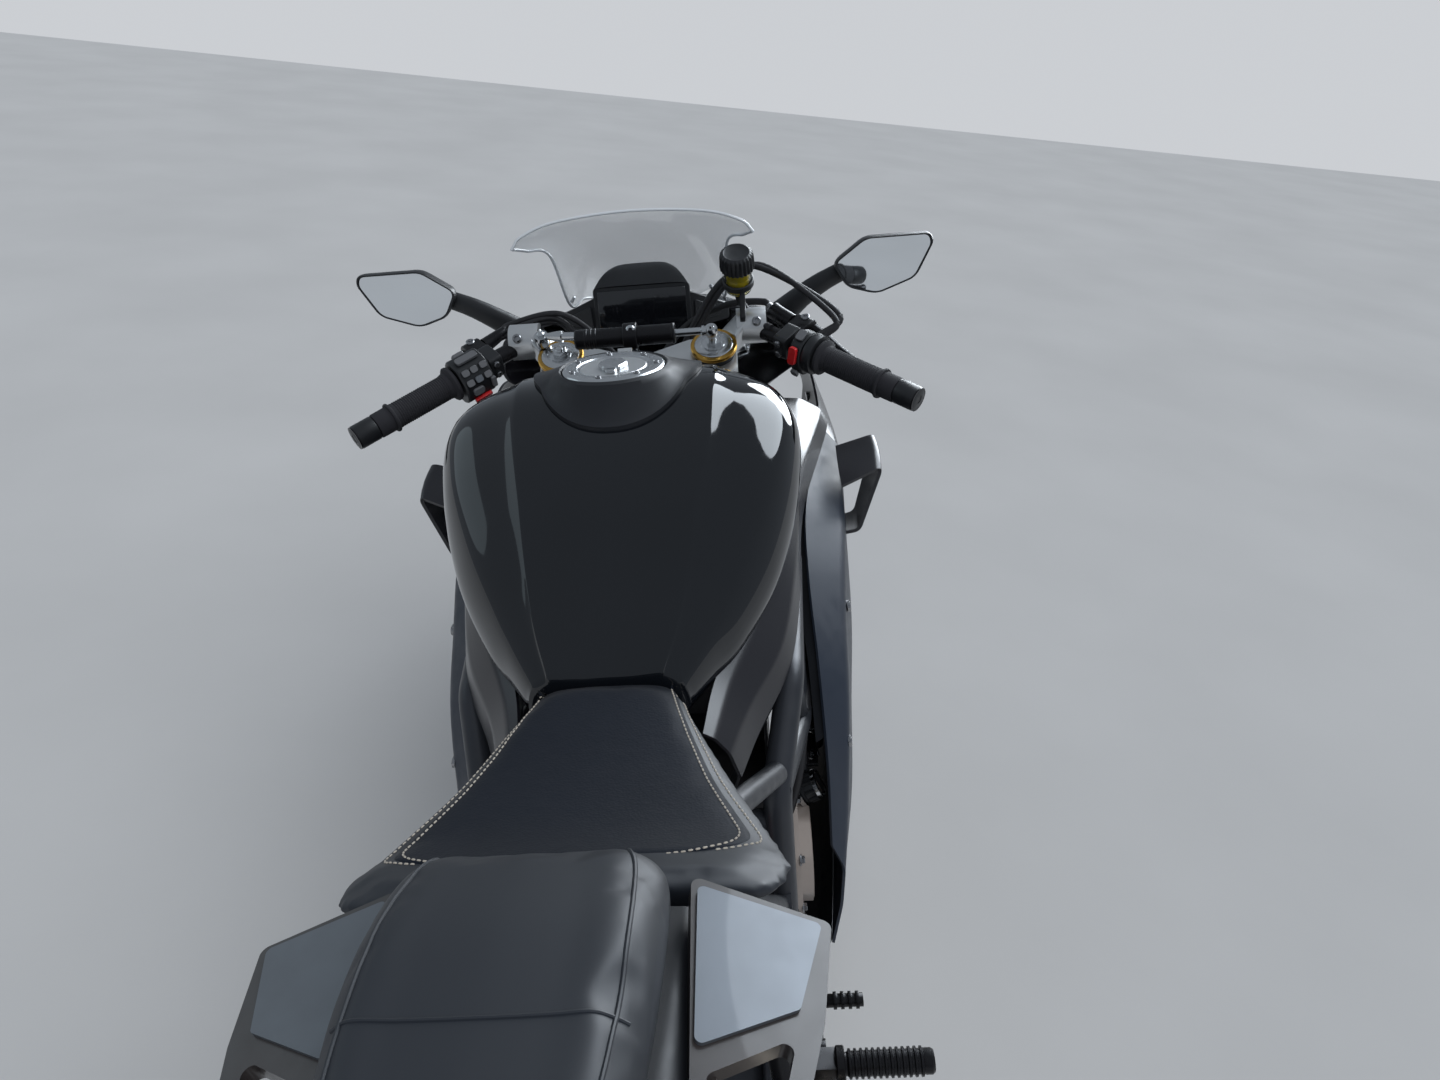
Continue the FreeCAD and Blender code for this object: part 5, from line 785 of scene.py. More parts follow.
@dataclass
class FuelTank:
    """Gloss tank with its matte surround and the filler lid."""

    rows: tuple = ((576, 60, 752, 77, 776, 73, 804, 54, 818, 821), (610, 72, 748, 99, 780, 95, 818, 66, 839, 844),
        (650, 84, 745, 128, 788, 118, 838, 76, 866, 871), (720, 108, 745, 166, 815, 152, 882, 88, 917, 922),
        (800, 128, 750, 190, 850, 179, 926, 102, 960, 965), (870, 136, 760, 197, 880, 186, 952, 108, 985, 990),
        (940, 134, 785, 190, 885, 168, 948, 108, 976, 982), (1000, 116, 814, 160, 878, 136, 926, 92, 948, 956))
    cap: tuple = (884, 0, 1003)
    cap_radius: float = 57.0
    cap_tilt: float = 3.0
    shoulder: int = 16
    crest: int = 56

    def surface(self) -> np.ndarray:
        """Loops along the tank, rolled in at the seat and at the head."""
        rows = []
        for x, ly, lz, ky, kz, sy, sz, cy, cz, tz in self.rows:
            rows.append([(x, 0, lz), (x, 0.7 * ly, lz), (x, ly, lz + 4), (x, ky, kz), (x, sy, sz),
                (x, cy + 0.16 * (sy - cy), cz + 0.10 * (sz - cz)), (x, cy - 0.10 * (sy - cy), cz + 2.4),
                (x, 0.45 * cy, 0.35 * cz + 0.65 * tz - 1.5), (x, 0, tz - 2.5)])
        body = closed_hull(rows, 76, 56)
        rear, front = body[0], body[-1]
        tail = [shrunk(rear, 0.86, (-5, 0, -13)), shrunk(rear, 0.93, (-6, 0, -6)), shrunk(rear, 0.98, (-4, 0, -2))]
        head = [shrunk(front, 0.98, (3, 0, -1)), shrunk(front, 0.94, (5, 0, -4))]
        return np.concatenate([np.stack(tail), body, np.stack(head)])

    def height(self, x: np.ndarray, y: np.ndarray) -> np.ndarray:
        """Height of the tank's upper side over points of the plan."""
        body = self.surface()[3:-2, self.shoulder:self.crest]
        plan, across = np.ravel(x), -np.abs(np.ravel(y))
        columns = np.array([[np.interp(plan, body[:, j, 0], body[:, j, k]) for j in range(body.shape[1])]
            for k in (1, 2)])
        sides, heights = -columns[0], columns[1]
        every = np.arange(plan.size)
        at = np.clip((sides <= across).sum(axis=0) - 1, 0, len(sides) - 2)
        share = (across - sides[at, every]) / (sides[at + 1, every] - sides[at, every])
        low, high = heights[at, every], heights[at + 1, every]
        return (low + np.clip(share, 0, 1) * (high - low)).reshape(np.shape(x))

    def body(self) -> None:
        """The tank itself: splined sections, capped at both ends."""
        shell = Shell().grid(self.surface(), loop_cols=True, caps=True)
        shell.build("tank_shell", GLOSS, "gloss_paint", "fuel_tank", angle=38)

    def on_cap(self, points: Sequence) -> np.ndarray:
        """Points round the lid's middle, tipped with it."""
        p = np.asarray(points, float)
        t = math.radians(-self.cap_tilt)
        x = p[..., 0] * math.cos(t) - p[..., 2] * math.sin(t)
        z = p[..., 0] * math.sin(t) + p[..., 2] * math.cos(t)
        return xyz(x, p[..., 1], z) + np.asarray(self.cap)

    def trim(self) -> None:
        """Raised surround: rings that run from the lid's edge down on to the tank, wider ahead."""
        cos, sin = circle(120).T
        outline = xyz(self.cap[0] + np.where(cos > 0, 118 * cos, 86 * cos),
            sin * (82 + 32 * np.clip(cos + 0.25, 0, 1)))
        outline[:, 0] = np.minimum(outline[:, 0], 995)
        seat = self.height(outline[:, 0], outline[:, 1])
        rim = xyz(outline[:, 0], outline[:, 1], seat)
        inner, lip, crest = (self.on_cap(xyz((self.cap_radius + wide) * cos, (self.cap_radius + wide) * sin, high))
            for wide, high in ((1.2, 0), (3, 1.2), (8, -1)))
        rings = [inner + (0, 0, -9), inner + (0, 0, -0.5), lip]
        rise = crest[:, 2] - self.height(crest[:, 0], crest[:, 1]) - 5.5
        for share in np.linspace(0, 1, 9):
            ring = crest * (1 - share) + rim * share
            lift = (1 - share) ** 1.5
            over = self.height(ring[:, 0], ring[:, 1]) + 5.5 + lift * rise
            rings.append(xyz(ring[:, 0], ring[:, 1], over))
        rings += [rim + (0, 0, 4.6), rim * (1.0008, 1.006, 1) + (0, 0, 2), rim + (0, 0, -2)]
        Shell().grid(np.stack(rings), loop_cols=True).build("tank_surround", MATTE, "matte_panel", "tank_trim",
            wall=1.5, angle=44)

    def lid(self) -> None:
        """Filler lid: turned ring with screws, brushed middle and the hexagonal key flap on its hinge."""
        up = self.on_cap((0, 0, 1)) - self.on_cap((0, 0, 0))
        centre = self.on_cap((0, 0, 0))
        r = self.cap_radius
        ring = Shell(Body.LID).lathe([(-8, r - 2), (-7, r), (-0.6, r), (0.8, r - 1), (1.9, r - 3), (2.1, r - 6),
            (1.7, r - 16), (0.2, r - 17.5), (-0.4, r - 20), (-8, r - 24)], centre, up, 96, closed=True)
        ring.build("lid_ring", TURNED, "cast_silver", "fuel_lid")
        middle = Shell(Body.LID).lathe([(-8, r - 20), (-0.3, r - 20), (0.5, r - 21), (0.6, 1)], centre, up, 96)
        middle.lathe([(-8, 3.2), (8, 3.2)], self.on_cap((r + 2, -7, 1)), LEFT, 16)
        middle.build("lid_middle", CAST_SILVER, "cast_silver")
        corners = [(21 * c - 3, 17 * s, 0.6) for c, s in circle(6, 30)]
        flap = Shell(Body.LID).slab(self.on_cap(softened(corners, 4)), (0, 0, 5.6), 1.2)
        flap.slab(self.on_cap(softened([(-22, -7, 0.6), (-30, -5, 0.6), (-30, 5, 0.6), (-22, 7, 0.6)], 2)),
            (0, 0, 3.5), 0.8)
        flap.build("lid_flap", TURNED, "cast_silver")
        screws = Shell(Body.LID)
        for c, s in (r - 9.5) * circle(7, 12):
            screws.lathe([(0, 3.4), (1.4, 3.3), (1.8, 2.6), (0.5, 1.9), (0.4, 0.4)], self.on_cap((c, s, 1.8)), up, 18)
        screws.build("lid_screws", BOLT_STEEL, "cast_silver")

    def build(self) -> None:
        """Tank, surround and lid."""
        self.body()
        self.trim()
        self.lid()


def crisp_sheet(rows: Sequence, reach: float, along: int) -> np.ndarray:
    """Folded panel: corners (y, z) at each x, blended over a reach and splined from row to row."""
    table = [softened([(x, y, z) for y, z in corners], reach, 7, closed=False) for x, *corners in rows]
    return spline(np.stack(table), along)


@dataclass
class SidePanels:
    """Gloss side covers, slate blades and the gloss front fairings, on both sides."""

    cover: tuple = ((1140, (190, 855), (216, 852), (242, 836), (254, 814)), (1110, (188, 857), (212, 852), (238, 833),
        (248, 808)), (1050, (184, 857), (206, 849), (225, 826), (233, 800)), (950, (175, 854), (192, 846), (205, 822),
        (210, 794)), (870, (172, 846), (186, 837), (197, 812), (198, 788)), (780, (158, 826), (172, 816), (186, 788),
        (190, 758)), (690, (128, 798), (143, 789), (166, 758), (173, 728)), (610, (98, 776), (112, 767), (130, 742),
        (137, 708)), (548, (86, 762), (97, 755), (110, 736), (118, 706)))
    blade: tuple = ((1150, (243, 806), (272, 768), (274, 640), (262, 562)), (1080, (229, 784), (268, 746), (274, 610),
        (256, 500)), (980, (210, 758), (260, 718), (268, 570), (246, 430)), (880, (206, 716), (250, 673), (256, 520),
        (232, 350)), (790, (209, 655), (244, 611), (246, 460), (222, 290)), (720, (212, 560), (235, 507), (230, 400),
        (214, 280)), (680, (211, 470), (226, 430), (222, 370), (210, 300)))
    fairing: tuple = ((1390, (222, 826), (238, 785), (228, 700), (205, 640)), (1300, (238, 848), (256, 792),
        (252, 690), (236, 602)), (1210, (245, 826), (267, 780), (268, 665), (256, 574)),
        (1151, (243, 806), (272, 768), (274, 641), (262, 563)))
    inside: tuple = (950, 0, 620)
    wall: float = 3.5

    def panel(self, rows: Sequence, reach: float, along: int, name: str, finish: Finish, slot: str,
            node: str) -> None:
        """One kind of folded panel on both sides."""
        grid = crisp_sheet(rows, reach, along)
        Shell().pair(grid, self.wall, self.inside).build(name, finish, slot, node, angle=40)

    def skirts(self) -> None:
        """Dull skirts that lead in under the covers' lower edges."""
        under = [[(x, y - 1.5, z + 1), (x, y - 10.5, z - 25), (x, y - 27.5, z - 49)]
            for (x, *_, (y, z)) in self.cover[2:]]
        Shell().pair(section_loft(under, 30, 8), 2, self.inside).build("cover_skirts", MATTE, "matte_panel")

    def fasteners(self) -> None:
        """Dished screws that hold the panels."""
        screws = Shell()
        for x, y, z in [(1160, 270, 760), (1160, 271, 655), (1120, 270, 745), (900, 256, 660), (760, 241, 560),
                (1360, 240, 770), (1290, 254, 700), (1040, 266, 590), (870, 250, 490), (740, 232, 430)]:
            for side in (1, -1):
                screws.lathe([(-3, 7.5), (0.6, 7.5), (1.4, 6.4), (1, 4.2), (1.9, 3.6), (1.9, 1.2)], (x, side * y, z),
                    (0.12, side, 0.1), 20)
        screws.build("panel_screws", BOLT_STEEL, "black_metal")

    def build(self) -> None:
        """Rolled covers beside the tank, creased blades outside the frame and the front fairings."""
        self.panel(self.cover, 5, 60, "side_covers", PANEL, "gloss_panel", "tank_covers")
        self.skirts()
        self.panel(self.blade, 11, 54, "slate_blades", BLADE_COAT, "blade_panel", "side_blades")
        self.panel(self.fairing, 14, 40, "front_fairings", PANEL, "gloss_panel", "side_fairings")
        self.fasteners()


class Surface:
    """Finished skin of one object that small pieces are laid on."""

    above = 1300.0
    beside = 800.0

    def __init__(self, made: Thing) -> None:
        """Reads the object with its modifiers."""
        bpy.context.view_layer.update()
        self.tree = BVHTree.FromObject(made, bpy.context.evaluated_depsgraph_get())

    def drop(self, plan: np.ndarray) -> tuple[np.ndarray, np.ndarray]:
        """Where points (x, y) of the upright plan, let fall, meet the skin, and the skin's normals there."""
        down = Vector(STANCE.turn @ (0, 0, -1))
        met, normals = [], []
        for x, y in np.asarray(plan, float).reshape(-1, 2):
            spot, normal, _, _ = self.tree.ray_cast(Vector(STANCE.place((x, y, self.above))), down)
            if spot is None:
                spot, normal, _, _ = self.tree.find_nearest(Vector(STANCE.place((x, y, self.beside))))
            met.append(spot)
            normals.append(normal)
        points = (np.array(met) - STANCE.shift) @ STANCE.turn * 1000
        return points, np.array(normals) @ STANCE.turn


def even_path(points: Sequence, step: float) -> np.ndarray:
    """A path resampled at even steps of its length."""
    p = np.asarray(points, float)
    length = np.concatenate([[0], np.cumsum(np.linalg.norm(np.diff(p, axis=0), axis=1))])
    count = max(2, int(length[-1] / step))
    at = np.linspace(0, length[-1], count)
    return xyz(*(np.interp(at, length, column) for column in p.T))


def stitched(plan: Sequence, skin: Surface, pitch: float = 5, long: float = 3.5, thick: float = 0.62) -> Shell:
    """Thread stitches along a seam (x, y) on a skin: beads of one length and thickness, laid a pitch apart."""
    spots, normals = skin.drop(even_path(plan, pitch))
    along = unit(np.gradient(spots, axis=0))
    side = unit(np.cross(normals, along))
    frames = np.stack([along, side, np.cross(along, side)], axis=-1)
    cos, sin = thick * circle(6).T
    rings = [(-0.5, 0.35), (-0.32, 1), (0.32, 1), (0.5, 0.35)]
    template = np.stack([xyz(share * long, size * cos, size * sin) for share, size in rings])
    return Shell().many(template, spots + normals * 0.35, frames)


def inflated(made: Thing, cap: float, voxel: float = 0.006, pressure: float = 4, steps: int = 20) -> None:
    """Swells a cushion by cloth simulation on an even skin, and keeps the result as its mesh.

    Args:
        made: the cushion.
        cap: furthest that a point may move, in metres.
        voxel: size of the even skin's faces.
        pressure: pressure inside it.
        steps: frames that the simulation runs.
    """
    scene = bpy.context.scene
    remesh = made.modifiers.new("even", "REMESH")
    remesh.mode = "VOXEL"
    remesh.voxel_size = voxel
    bake(made)
    start = np.empty(len(made.data.vertices) * 3)
    made.data.vertices.foreach_get("co", start)
    start = start.reshape(-1, 3)
    cloth = made.modifiers.new("cloth", "CLOTH")
    cloth.settings.use_pressure = True
    cloth.settings.uniform_pressure_force = pressure
    cloth.settings.effector_weights.gravity = 0
    for step in range(1, steps + 1):
        scene.frame_set(step)
    bake(made)
    scene.frame_set(1)
    moved = np.empty(start.size)
    made.data.vertices.foreach_get("co", moved)
    change = moved.reshape(-1, 3) - start
    length = np.maximum(np.linalg.norm(change, axis=1, keepdims=True), 1e-9)
    made.data.vertices.foreach_set("co", (start + change * np.minimum(1, cap / length)).ravel())
    made.data.update()
    soft = made.modifiers.new("soft", "SUBSURF")
    soft.levels = soft.render_levels = 1
    made.data.shade_smooth()


def bake(made: Thing) -> None:
    """Replaces an object's mesh by its evaluated one and clears its modifiers."""
    bpy.context.view_layer.update()
    evaluated = made.evaluated_get(bpy.context.evaluated_depsgraph_get())
    mesh = bpy.data.meshes.new_from_object(evaluated, preserve_all_data_layers=True,
        depsgraph=bpy.context.evaluated_depsgraph_get())
    made.modifiers.clear()
    made.data = mesh


@dataclass
class Seats:
    """Rider and passenger cushions with their covers, seams and stitching."""

    rider: tuple = ((578, 50, 768, 64, 784, 52, 800), (560, 58, 768, 74, 786, 60, 803),
        (520, 72, 768, 90, 787, 74, 805), (450, 94, 772, 120, 788, 100, 806), (380, 114, 784, 148, 800, 128, 814),
        (330, 122, 806, 161, 819, 142, 832), (296, 116, 826, 149, 840, 128, 850))
    passenger: tuple = ((289, 58, 846, 66, 872, 50, 888), (278, 66, 844, 78, 882, 60, 902),
        (255, 73, 846, 85, 889, 67, 911), (200, 78, 860, 87, 898, 70, 924), (120, 74, 872, 82, 906, 66, 929),
        (40, 64, 882, 72, 912, 55, 931), (-10, 54, 890, 61, 913, 44, 929), (-20, 48, 894, 55, 911, 38, 923))
    inlay_edge: tuple = ((600, 57), (560, 66), (515, 77), (440, 101), (385, 124), (364, 131), (350, 127), (341, 112),
        (336, 90), (334, 60))
    swell: float = 0.0035

    def cushion(self, name: str, rows: Sequence, finish: Finish, node: str, flat: float) -> Thing:
        """One pad: splined sections round a flat base, then swelled by cloth under pressure.

        Args:
            name: its name.
            rows: half widths and heights of its sections.
            finish: its cover.
            node: the solid that it stands for.
            flat: how much higher the middle is than the shoulder.

        Returns:
            The cushion.
        """
        table = [[(x, 0, lz), (x, 0.8 * ly, lz), (x, ly, lz + 3), (x, sy, sz), (x, ty, tz), (x, 0.55 * ty, tz + flat),
            (x, 0, tz + flat + 1)] for x, ly, lz, sy, sz, ty, tz in rows]
        body = closed_hull(table, 70, 30)
        ends = [shrunk(body[0], 0.8, (3, 0, 0)), shrunk(body[0], 0.95, (2, 0, 0))]
        back = [shrunk(body[-1], 0.95, (-2, 0, 0)), shrunk(body[-1], 0.8, (-3, 0, 0))]
        shell = Shell().grid(np.concatenate([np.stack(ends), body, np.stack(back)]), loop_cols=True, caps=True)
        made = shell.build(name, finish, "seat_cover", node)
        inflated(made, self.swell)
        return made

    def inlay(self, skin: Surface) -> Thing:
        """Textured middle of the rider's cover: a skin laid on the cushion that dips into the seam all round."""
        xs = np.concatenate([np.linspace(600, 370, 46), np.linspace(366, 334, 14)])
        edge = spline(np.array(self.inlay_edge, float), 60)
        half = np.interp(-xs, -edge[:, 0], edge[:, 1])
        t = np.concatenate([[-1, -0.985, -0.96], np.linspace(-0.92, 0.92, 36), [0.96, 0.985, 1]])
        points, normals = skin.drop(xyz(xs[:, None], half[:, None] * t))
        lift = np.tile(np.where(np.abs(t) > 0.99, -1.2, np.where(np.abs(t) > 0.97, 0.4, 1.5)), (len(xs), 1))
        lift[[1, -2]] = np.minimum(lift[1], 0.5)
        lift[[0, -1]] = -1.2
        grid = (points + normals * lift.reshape(-1, 1)).reshape(*lift.shape, 3)
        return Shell().grid(grid).build("seat_centre_panel", CENTRE, "seat_cover", wall=0.8, angle=70)

    def seams(self, rider: Surface, panel: Surface, passenger: Surface) -> None:
        """Pale double stitching round the middle panel, and piped seams along the passenger pad."""
        edge = spline(np.array(self.inlay_edge, float), 60)
        for number, side in enumerate((1, -1)):
            line = edge * (1, side)
            inner = stitched(line[1:-4] * (1, 0.93), panel, thick=0.8)
            inner.build("stitch_inner_%d" % number, THREAD, "seat_cover")
            outer = stitched(line[:50] * (1, 1.03) + (0, 2 * side), rider, thick=0.8)
            outer.build("stitch_outer_%d" % number, THREAD, "seat_cover")
        rows = np.array(self.passenger, float)[1:-1]
        for number, side in enumerate((1, -1)):
            plan = spline(xyz(rows[:, 0], side * (rows[:, 5] - 1)), 60)
            spots, normals = passenger.drop(plan)
            Shell().tube(spots + normals * 0.1, 1.5, 8).build("pad_piping_%d" % number, LEATHER, "seat_cover")
        strap = spline([(150, 73), (148, 40), (147, 0), (148, -40), (150, -73)], 30)
        spots, normals = passenger.drop(strap)
        Shell().tube(spots, 1.2, 8).build("pad_seam", LEATHER, "seat_cover")

    def build(self) -> None:
        """Both seats."""
        rider = self.cushion("rider_cushion", self.rider, LEATHER, "rider_seat", 4)
        passenger = self.cushion("passenger_cushion", self.passenger, LEATHER, "pillion_seat", 2)
        skin = Surface(rider)
        panel = self.inlay(skin)
        self.seams(skin, Surface(panel), Surface(passenger))


@dataclass(frozen=True)
class Bar:
    """One handlebar in the steering frame, with distances measured out from its clamp."""

    side: int
    clamp: tuple = (76.8, 155, 1015)
    end: tuple = (-89.5, 342, 1031)
    grip_end: float = 236.8
    grip_start: float = 118.8

    def axes(self) -> tuple[np.ndarray, np.ndarray, np.ndarray, np.ndarray]:
        """Where the bar starts, and its outward, forward and upward directions."""
        start = np.array(self.clamp) * (1, self.side, 1)
        along = unit(np.array(self.end) * (1, self.side, 1) - start)
        fore = unit(np.cross((0, 0, 1), along) * -self.side)
        up = np.cross(along, fore) * -self.side
        return start, along, fore, up

    def at(self, local: Sequence) -> np.ndarray:
        """Points given as distance along, ahead of and above the bar, in the steering frame."""
        start, along, fore, up = self.axes()
        p = np.asarray(local, float)
        return start + p[..., :1] * along + p[..., 1:2] * fore + p[..., 2:3] * up

    def prism(self, shell: Shell, outline: Sequence, low: float, high: float, reach: float,
            edge: float = 1.2) -> None:
        """Adds a block on the bar: an outline of (ahead, above) carried from one distance to another."""
        ring = softened([(low, f, u) for f, u in outline], reach, 5)
        depth = self.at((high, 0, 0)) - self.at((low, 0, 0))
        shell.slab(self.at(ring), depth, edge)

    def button(self, shell: Shell, middle: Numbers, half: Numbers, tall: float, facing: Numbers) -> None:
        """Adds a small raised button: half width along the bar, half height across, on a face of the cluster."""
        _, along, fore, up = self.axes()
        out = unit(fore * facing[0] + up * facing[1])
        over = np.cross(along, out)
        corners = [(-1, -1), (1, -1), (1, 1), (-1, 1)]
        base = self.at(middle)
        ring = softened([base + along * half[0] * a + over * half[1] * b for a, b in corners], min(half) * 0.7, 4)
        shell.slab(ring, out * tall, 0.5)


@dataclass
class Cockpit:
    """Handlebars, controls, fork tops, steering damper, reservoir and their hoses."""

    fork_top: float = 1018.0
    damper_z: float = 1052.0
    damper_x: float = 31.0
    cup: tuple = (95.6, -141, 1062)
    sleeve: tuple = ((-18, -17), (-18, 17), (18, 17), (22, 0), (18, -17))

    def fork_tops(self) -> None:
        """Turned caps in anodised rings, with the hexagon and its screw, and the stem nut."""
        gold, silver = Shell(), Shell()
        for side in (1, -1):
            start = (FORK_OFFSET, side * FORK_SPREAD, self.fork_top)
            gold.lathe([(-1, 27), (-1, 29.5), (0.4, 31), (2.2, 31), (2.8, 29.6), (3.4, 31), (5, 31), (5.8, 30),
                (5.8, 26)], start, UP, 72, closed=True)
            silver.lathe([(-2, 26), (5, 26), (6.4, 25.5), (7, 24), (7, 17.5), (6.2, 17), (6.2, 14.5), (8, 14),
                (8.4, 3)], start, UP, 72)
            silver.slab([(start[0] + c, start[1] + s, start[2] + 7.5) for c, s in 10.5 * circle(6, 12)], (0, 0, 7), 1)
            silver.lathe([(13, 5), (16, 5), (17, 4), (16.4, 1)], start, UP, 20)
        silver.lathe([(1008.3, 19.5), (1017, 19.5), (1019, 18), (1019.4, 12), (1016, 11), (1012, 10.5)], (0, 0, 0),
            UP, 48)
        gold.leaned().build("fork_rings", GOLD, "cast_silver", "fork_caps")
        silver.leaned().build("fork_tops", TURNED, "cast_silver")

    def damper(self) -> None:
        """Steering damper: knurled body, stepped rods, eyes, and a clamp ring with two screws."""
        x, z = self.damper_x, self.damper_z
        body = Shell().lathe([(-55, 7), (-54.5, 12.6), (-53, 13.6), (-51, 13.6), (-50, 12.8), (-6, 12.8), (12, 12.8),
            (48, 12.8), (49, 13.6), (51, 13.6), (52, 12.9), (54, 12.9), (55, 13.6), (57, 13.6), (58, 12.9),
            (60, 12.9), (61, 13.6), (63, 13.6), (64, 12.9), (75, 12.9), (77, 11.5), (78, 7)], (x, 0, z), LEFT, 48)
        body.lathe([(-7, 16.6), (-6, 17.4), (10, 17.4), (11, 16.6), (11, 13), (-7, 13)], (x, 2, z), LEFT, 48,
            closed=True)
        body.slab(softened([(x - 15, -4, z - 24), (x + 3, -4, z - 24), (x + 6, -4, z - 10), (x - 15, -4, z - 10)], 4),
            (0, 12, 0), 1)
        body.slab(softened([(-10, -5, 1020.4), (16, -5, 1020.4), (x - 2, -5, z - 12), (x - 16, -5, z - 12)], 4),
            (0, 14, 0), 1.2)
        rods = Shell().lathe([(76, 5.5), (100, 5.5), (101, 8), (112, 6.5), (122, 4.5), (126, 4.5)], (x, 0, z),
            (0.22, 1, -0.11), 24)
        rods.lathe([(52, 5), (88, 5), (90, 7.5), (96, 6)], (x, 0, z), (0, -1, 0), 24)
        rods.lathe([(-15, 4), (-14, 9.5), (-9, 10.5), (-3, 10.5), (1, 9.5), (1, 5), (4, 5), (6, 3)],
            (x + 27, 128, z - 12), UP, 28)
        rods.lathe([(-10, 4), (-9, 7), (-3, 8.2), (4, 8.2), (6, 7), (6, 4), (9, 3)], (x, -102, z), UP, 28)
        rods.lathe([(-32, 6), (-14, 6)], (x + 27, 128, z - 14), UP, 16)
        rods.lathe([(-34, 5), (-9, 5)], (x, -102, z), UP, 16)
        for out in (17, -17):
            spot = (x - 12 if out < 0 else x - 4, 2, z + (14 if out > 0 else -14))
            rods.lathe([(-3, 6.2), (2.2, 6.2), (3.4, 5), (3.4, 2.8), (1.6, 2.4), (1.5, 0.5)], spot,
                (-0.7, 0, 0.7 if out > 0 else 0.2), 24)
        body.leaned().build("damper_body", BLACK_METAL, "black_metal", "steering_damper")
        rods.leaned().build("damper_rods", TURNED, "cast_silver")

    def grips(self) -> None:
        """Ribbed rubber grips, and the turned weights at the bar ends."""
        for number, side in enumerate((1, -1)):
            bar = Bar(side)
            start, along = bar.axes()[:2]
            a, b = bar.grip_start, bar.grip_end
            profile = [(a, 12), (a, 22.5), (a + 1.5, 23.5), (a + 4.5, 23.5), (a + 6, 22), (a + 8, 18), (a + 11, 17)]
            for d in np.arange(a + 13, b - 30, 3.0):
                profile += [(d, 16.8), (d + 0.8, 16.1), (d + 1.6, 16.1), (d + 2.3, 16.8)]
            profile += [(b - 27, 17), (b - 26, 19.2), (b - 25, 19.8), (b - 23.5, 19.8), (b - 22.4, 19.2),
                (b - 22, 16.6), (b - 2, 16.4), (b - 0.5, 15.6), (b, 12)]
            Shell().lathe(profile, start, along, 64).leaned().build("grip_%d" % number, GRIP, "grip_rubber",
                *["grips"][number:])
            Shell().lathe([(b + 0.5, 11), (b + 0.6, 15.2), (b + 2, 15.9), (b + 27, 15.9), (b + 29, 15), (b + 30, 13),
                (b + 30.5, 6), (b + 27, 5.6), (b + 27, 0.4)], start, along, 48).leaned().build(
                "bar_weight_%d" % number, DEEP, "black_metal")

    def left_cluster(self) -> None:
        """Left switch cluster with its rows of keys, the paddle and the red key at its foot."""
        bar = Bar(1)
        case, keys, red, pale = Shell(), Shell(), Shell(), Shell()
        bar.prism(case, [(-26, -20), (-29, 4), (-13, 25), (10, 28), (21, 18), (21, -20), (8, -31), (-14, -31)], 72,
            116, 6, 2)
        bar.prism(case, self.sleeve, 50, 70, 6, 1.5)
        facing = (-0.78, 0.62)
        for i, d in enumerate((80, 94, 107)):
            for j, (f, u) in enumerate(((-26, 8), (-17.5, 19.5))):
                bar.button(pale if (i, j) == (1, 0) else keys, (d, f, u), (5.2, 4.4), 3.4 if (i + j) % 2 else 2.4,
                    facing)
        for shell, *key in ((keys, (94, -3, 27.5), (16, 5.5), 4, (-0.1, 1)), (keys, (76, -28, -4), (3.4, 8), 5,
                (-1, 0)), (keys, (100, -28, -6), (8, 5), 4, (-1, 0)), (red, (94, -24, -22), (13, 4.2), 4.5,
                (-0.75, -0.4)), (keys, (92, 21, 12), (9, 6), 7, (1, 0.3))):
            bar.button(shell, *key)
        case.leaned().build("left_cluster", DEEP, "control_plastic", "hand_controls")
        keys.leaned().build("left_keys", BUTTON_GREY, "control_plastic")
        red.leaned().build("left_red_key", BUTTON_RED, "control_plastic")
        pale.leaned().build("left_pale_key", SILVER_COAT, "control_plastic")

    def right_cluster(self) -> None:
        """Right switch cluster: throttle drum, red rocker, start key and its screws."""
        bar = Bar(-1)
        start, along = bar.axes()[:2]
        case, keys, red = Shell(), Shell(), Shell()
        bar.prism(case, [(-22, -24), (-27, 0), (-20, 22), (2, 28), (20, 18), (22, -14), (8, -30), (-12, -32)], 84,
            101, 7, 2)
        bar.prism(case, self.sleeve, 52, 72, 6, 1.5)
        case.lathe([(102, 14), (102, 24), (103.5, 26.5), (106, 27), (112, 27), (115, 26), (116.5, 22), (116.5, 14)],
            start, along, 48)
        bar.button(red, (92.5, -25.2, 9), (5.6, 12), 5.5, (-0.95, 0.3))
        bar.button(keys, (92.5, -24, -20), (5.4, 5.4), 4.5, (-0.9, -0.3))
        bar.button(keys, (92.5, -6, 27), (6, 8), 3.5, (-0.3, 1))
        case.leaned().build("right_cluster", DEEP, "control_plastic")
        keys.leaned().build("right_keys", BUTTON_GREY, "control_plastic")
        red.leaned().build("right_rocker", BUTTON_RED, "control_plastic")

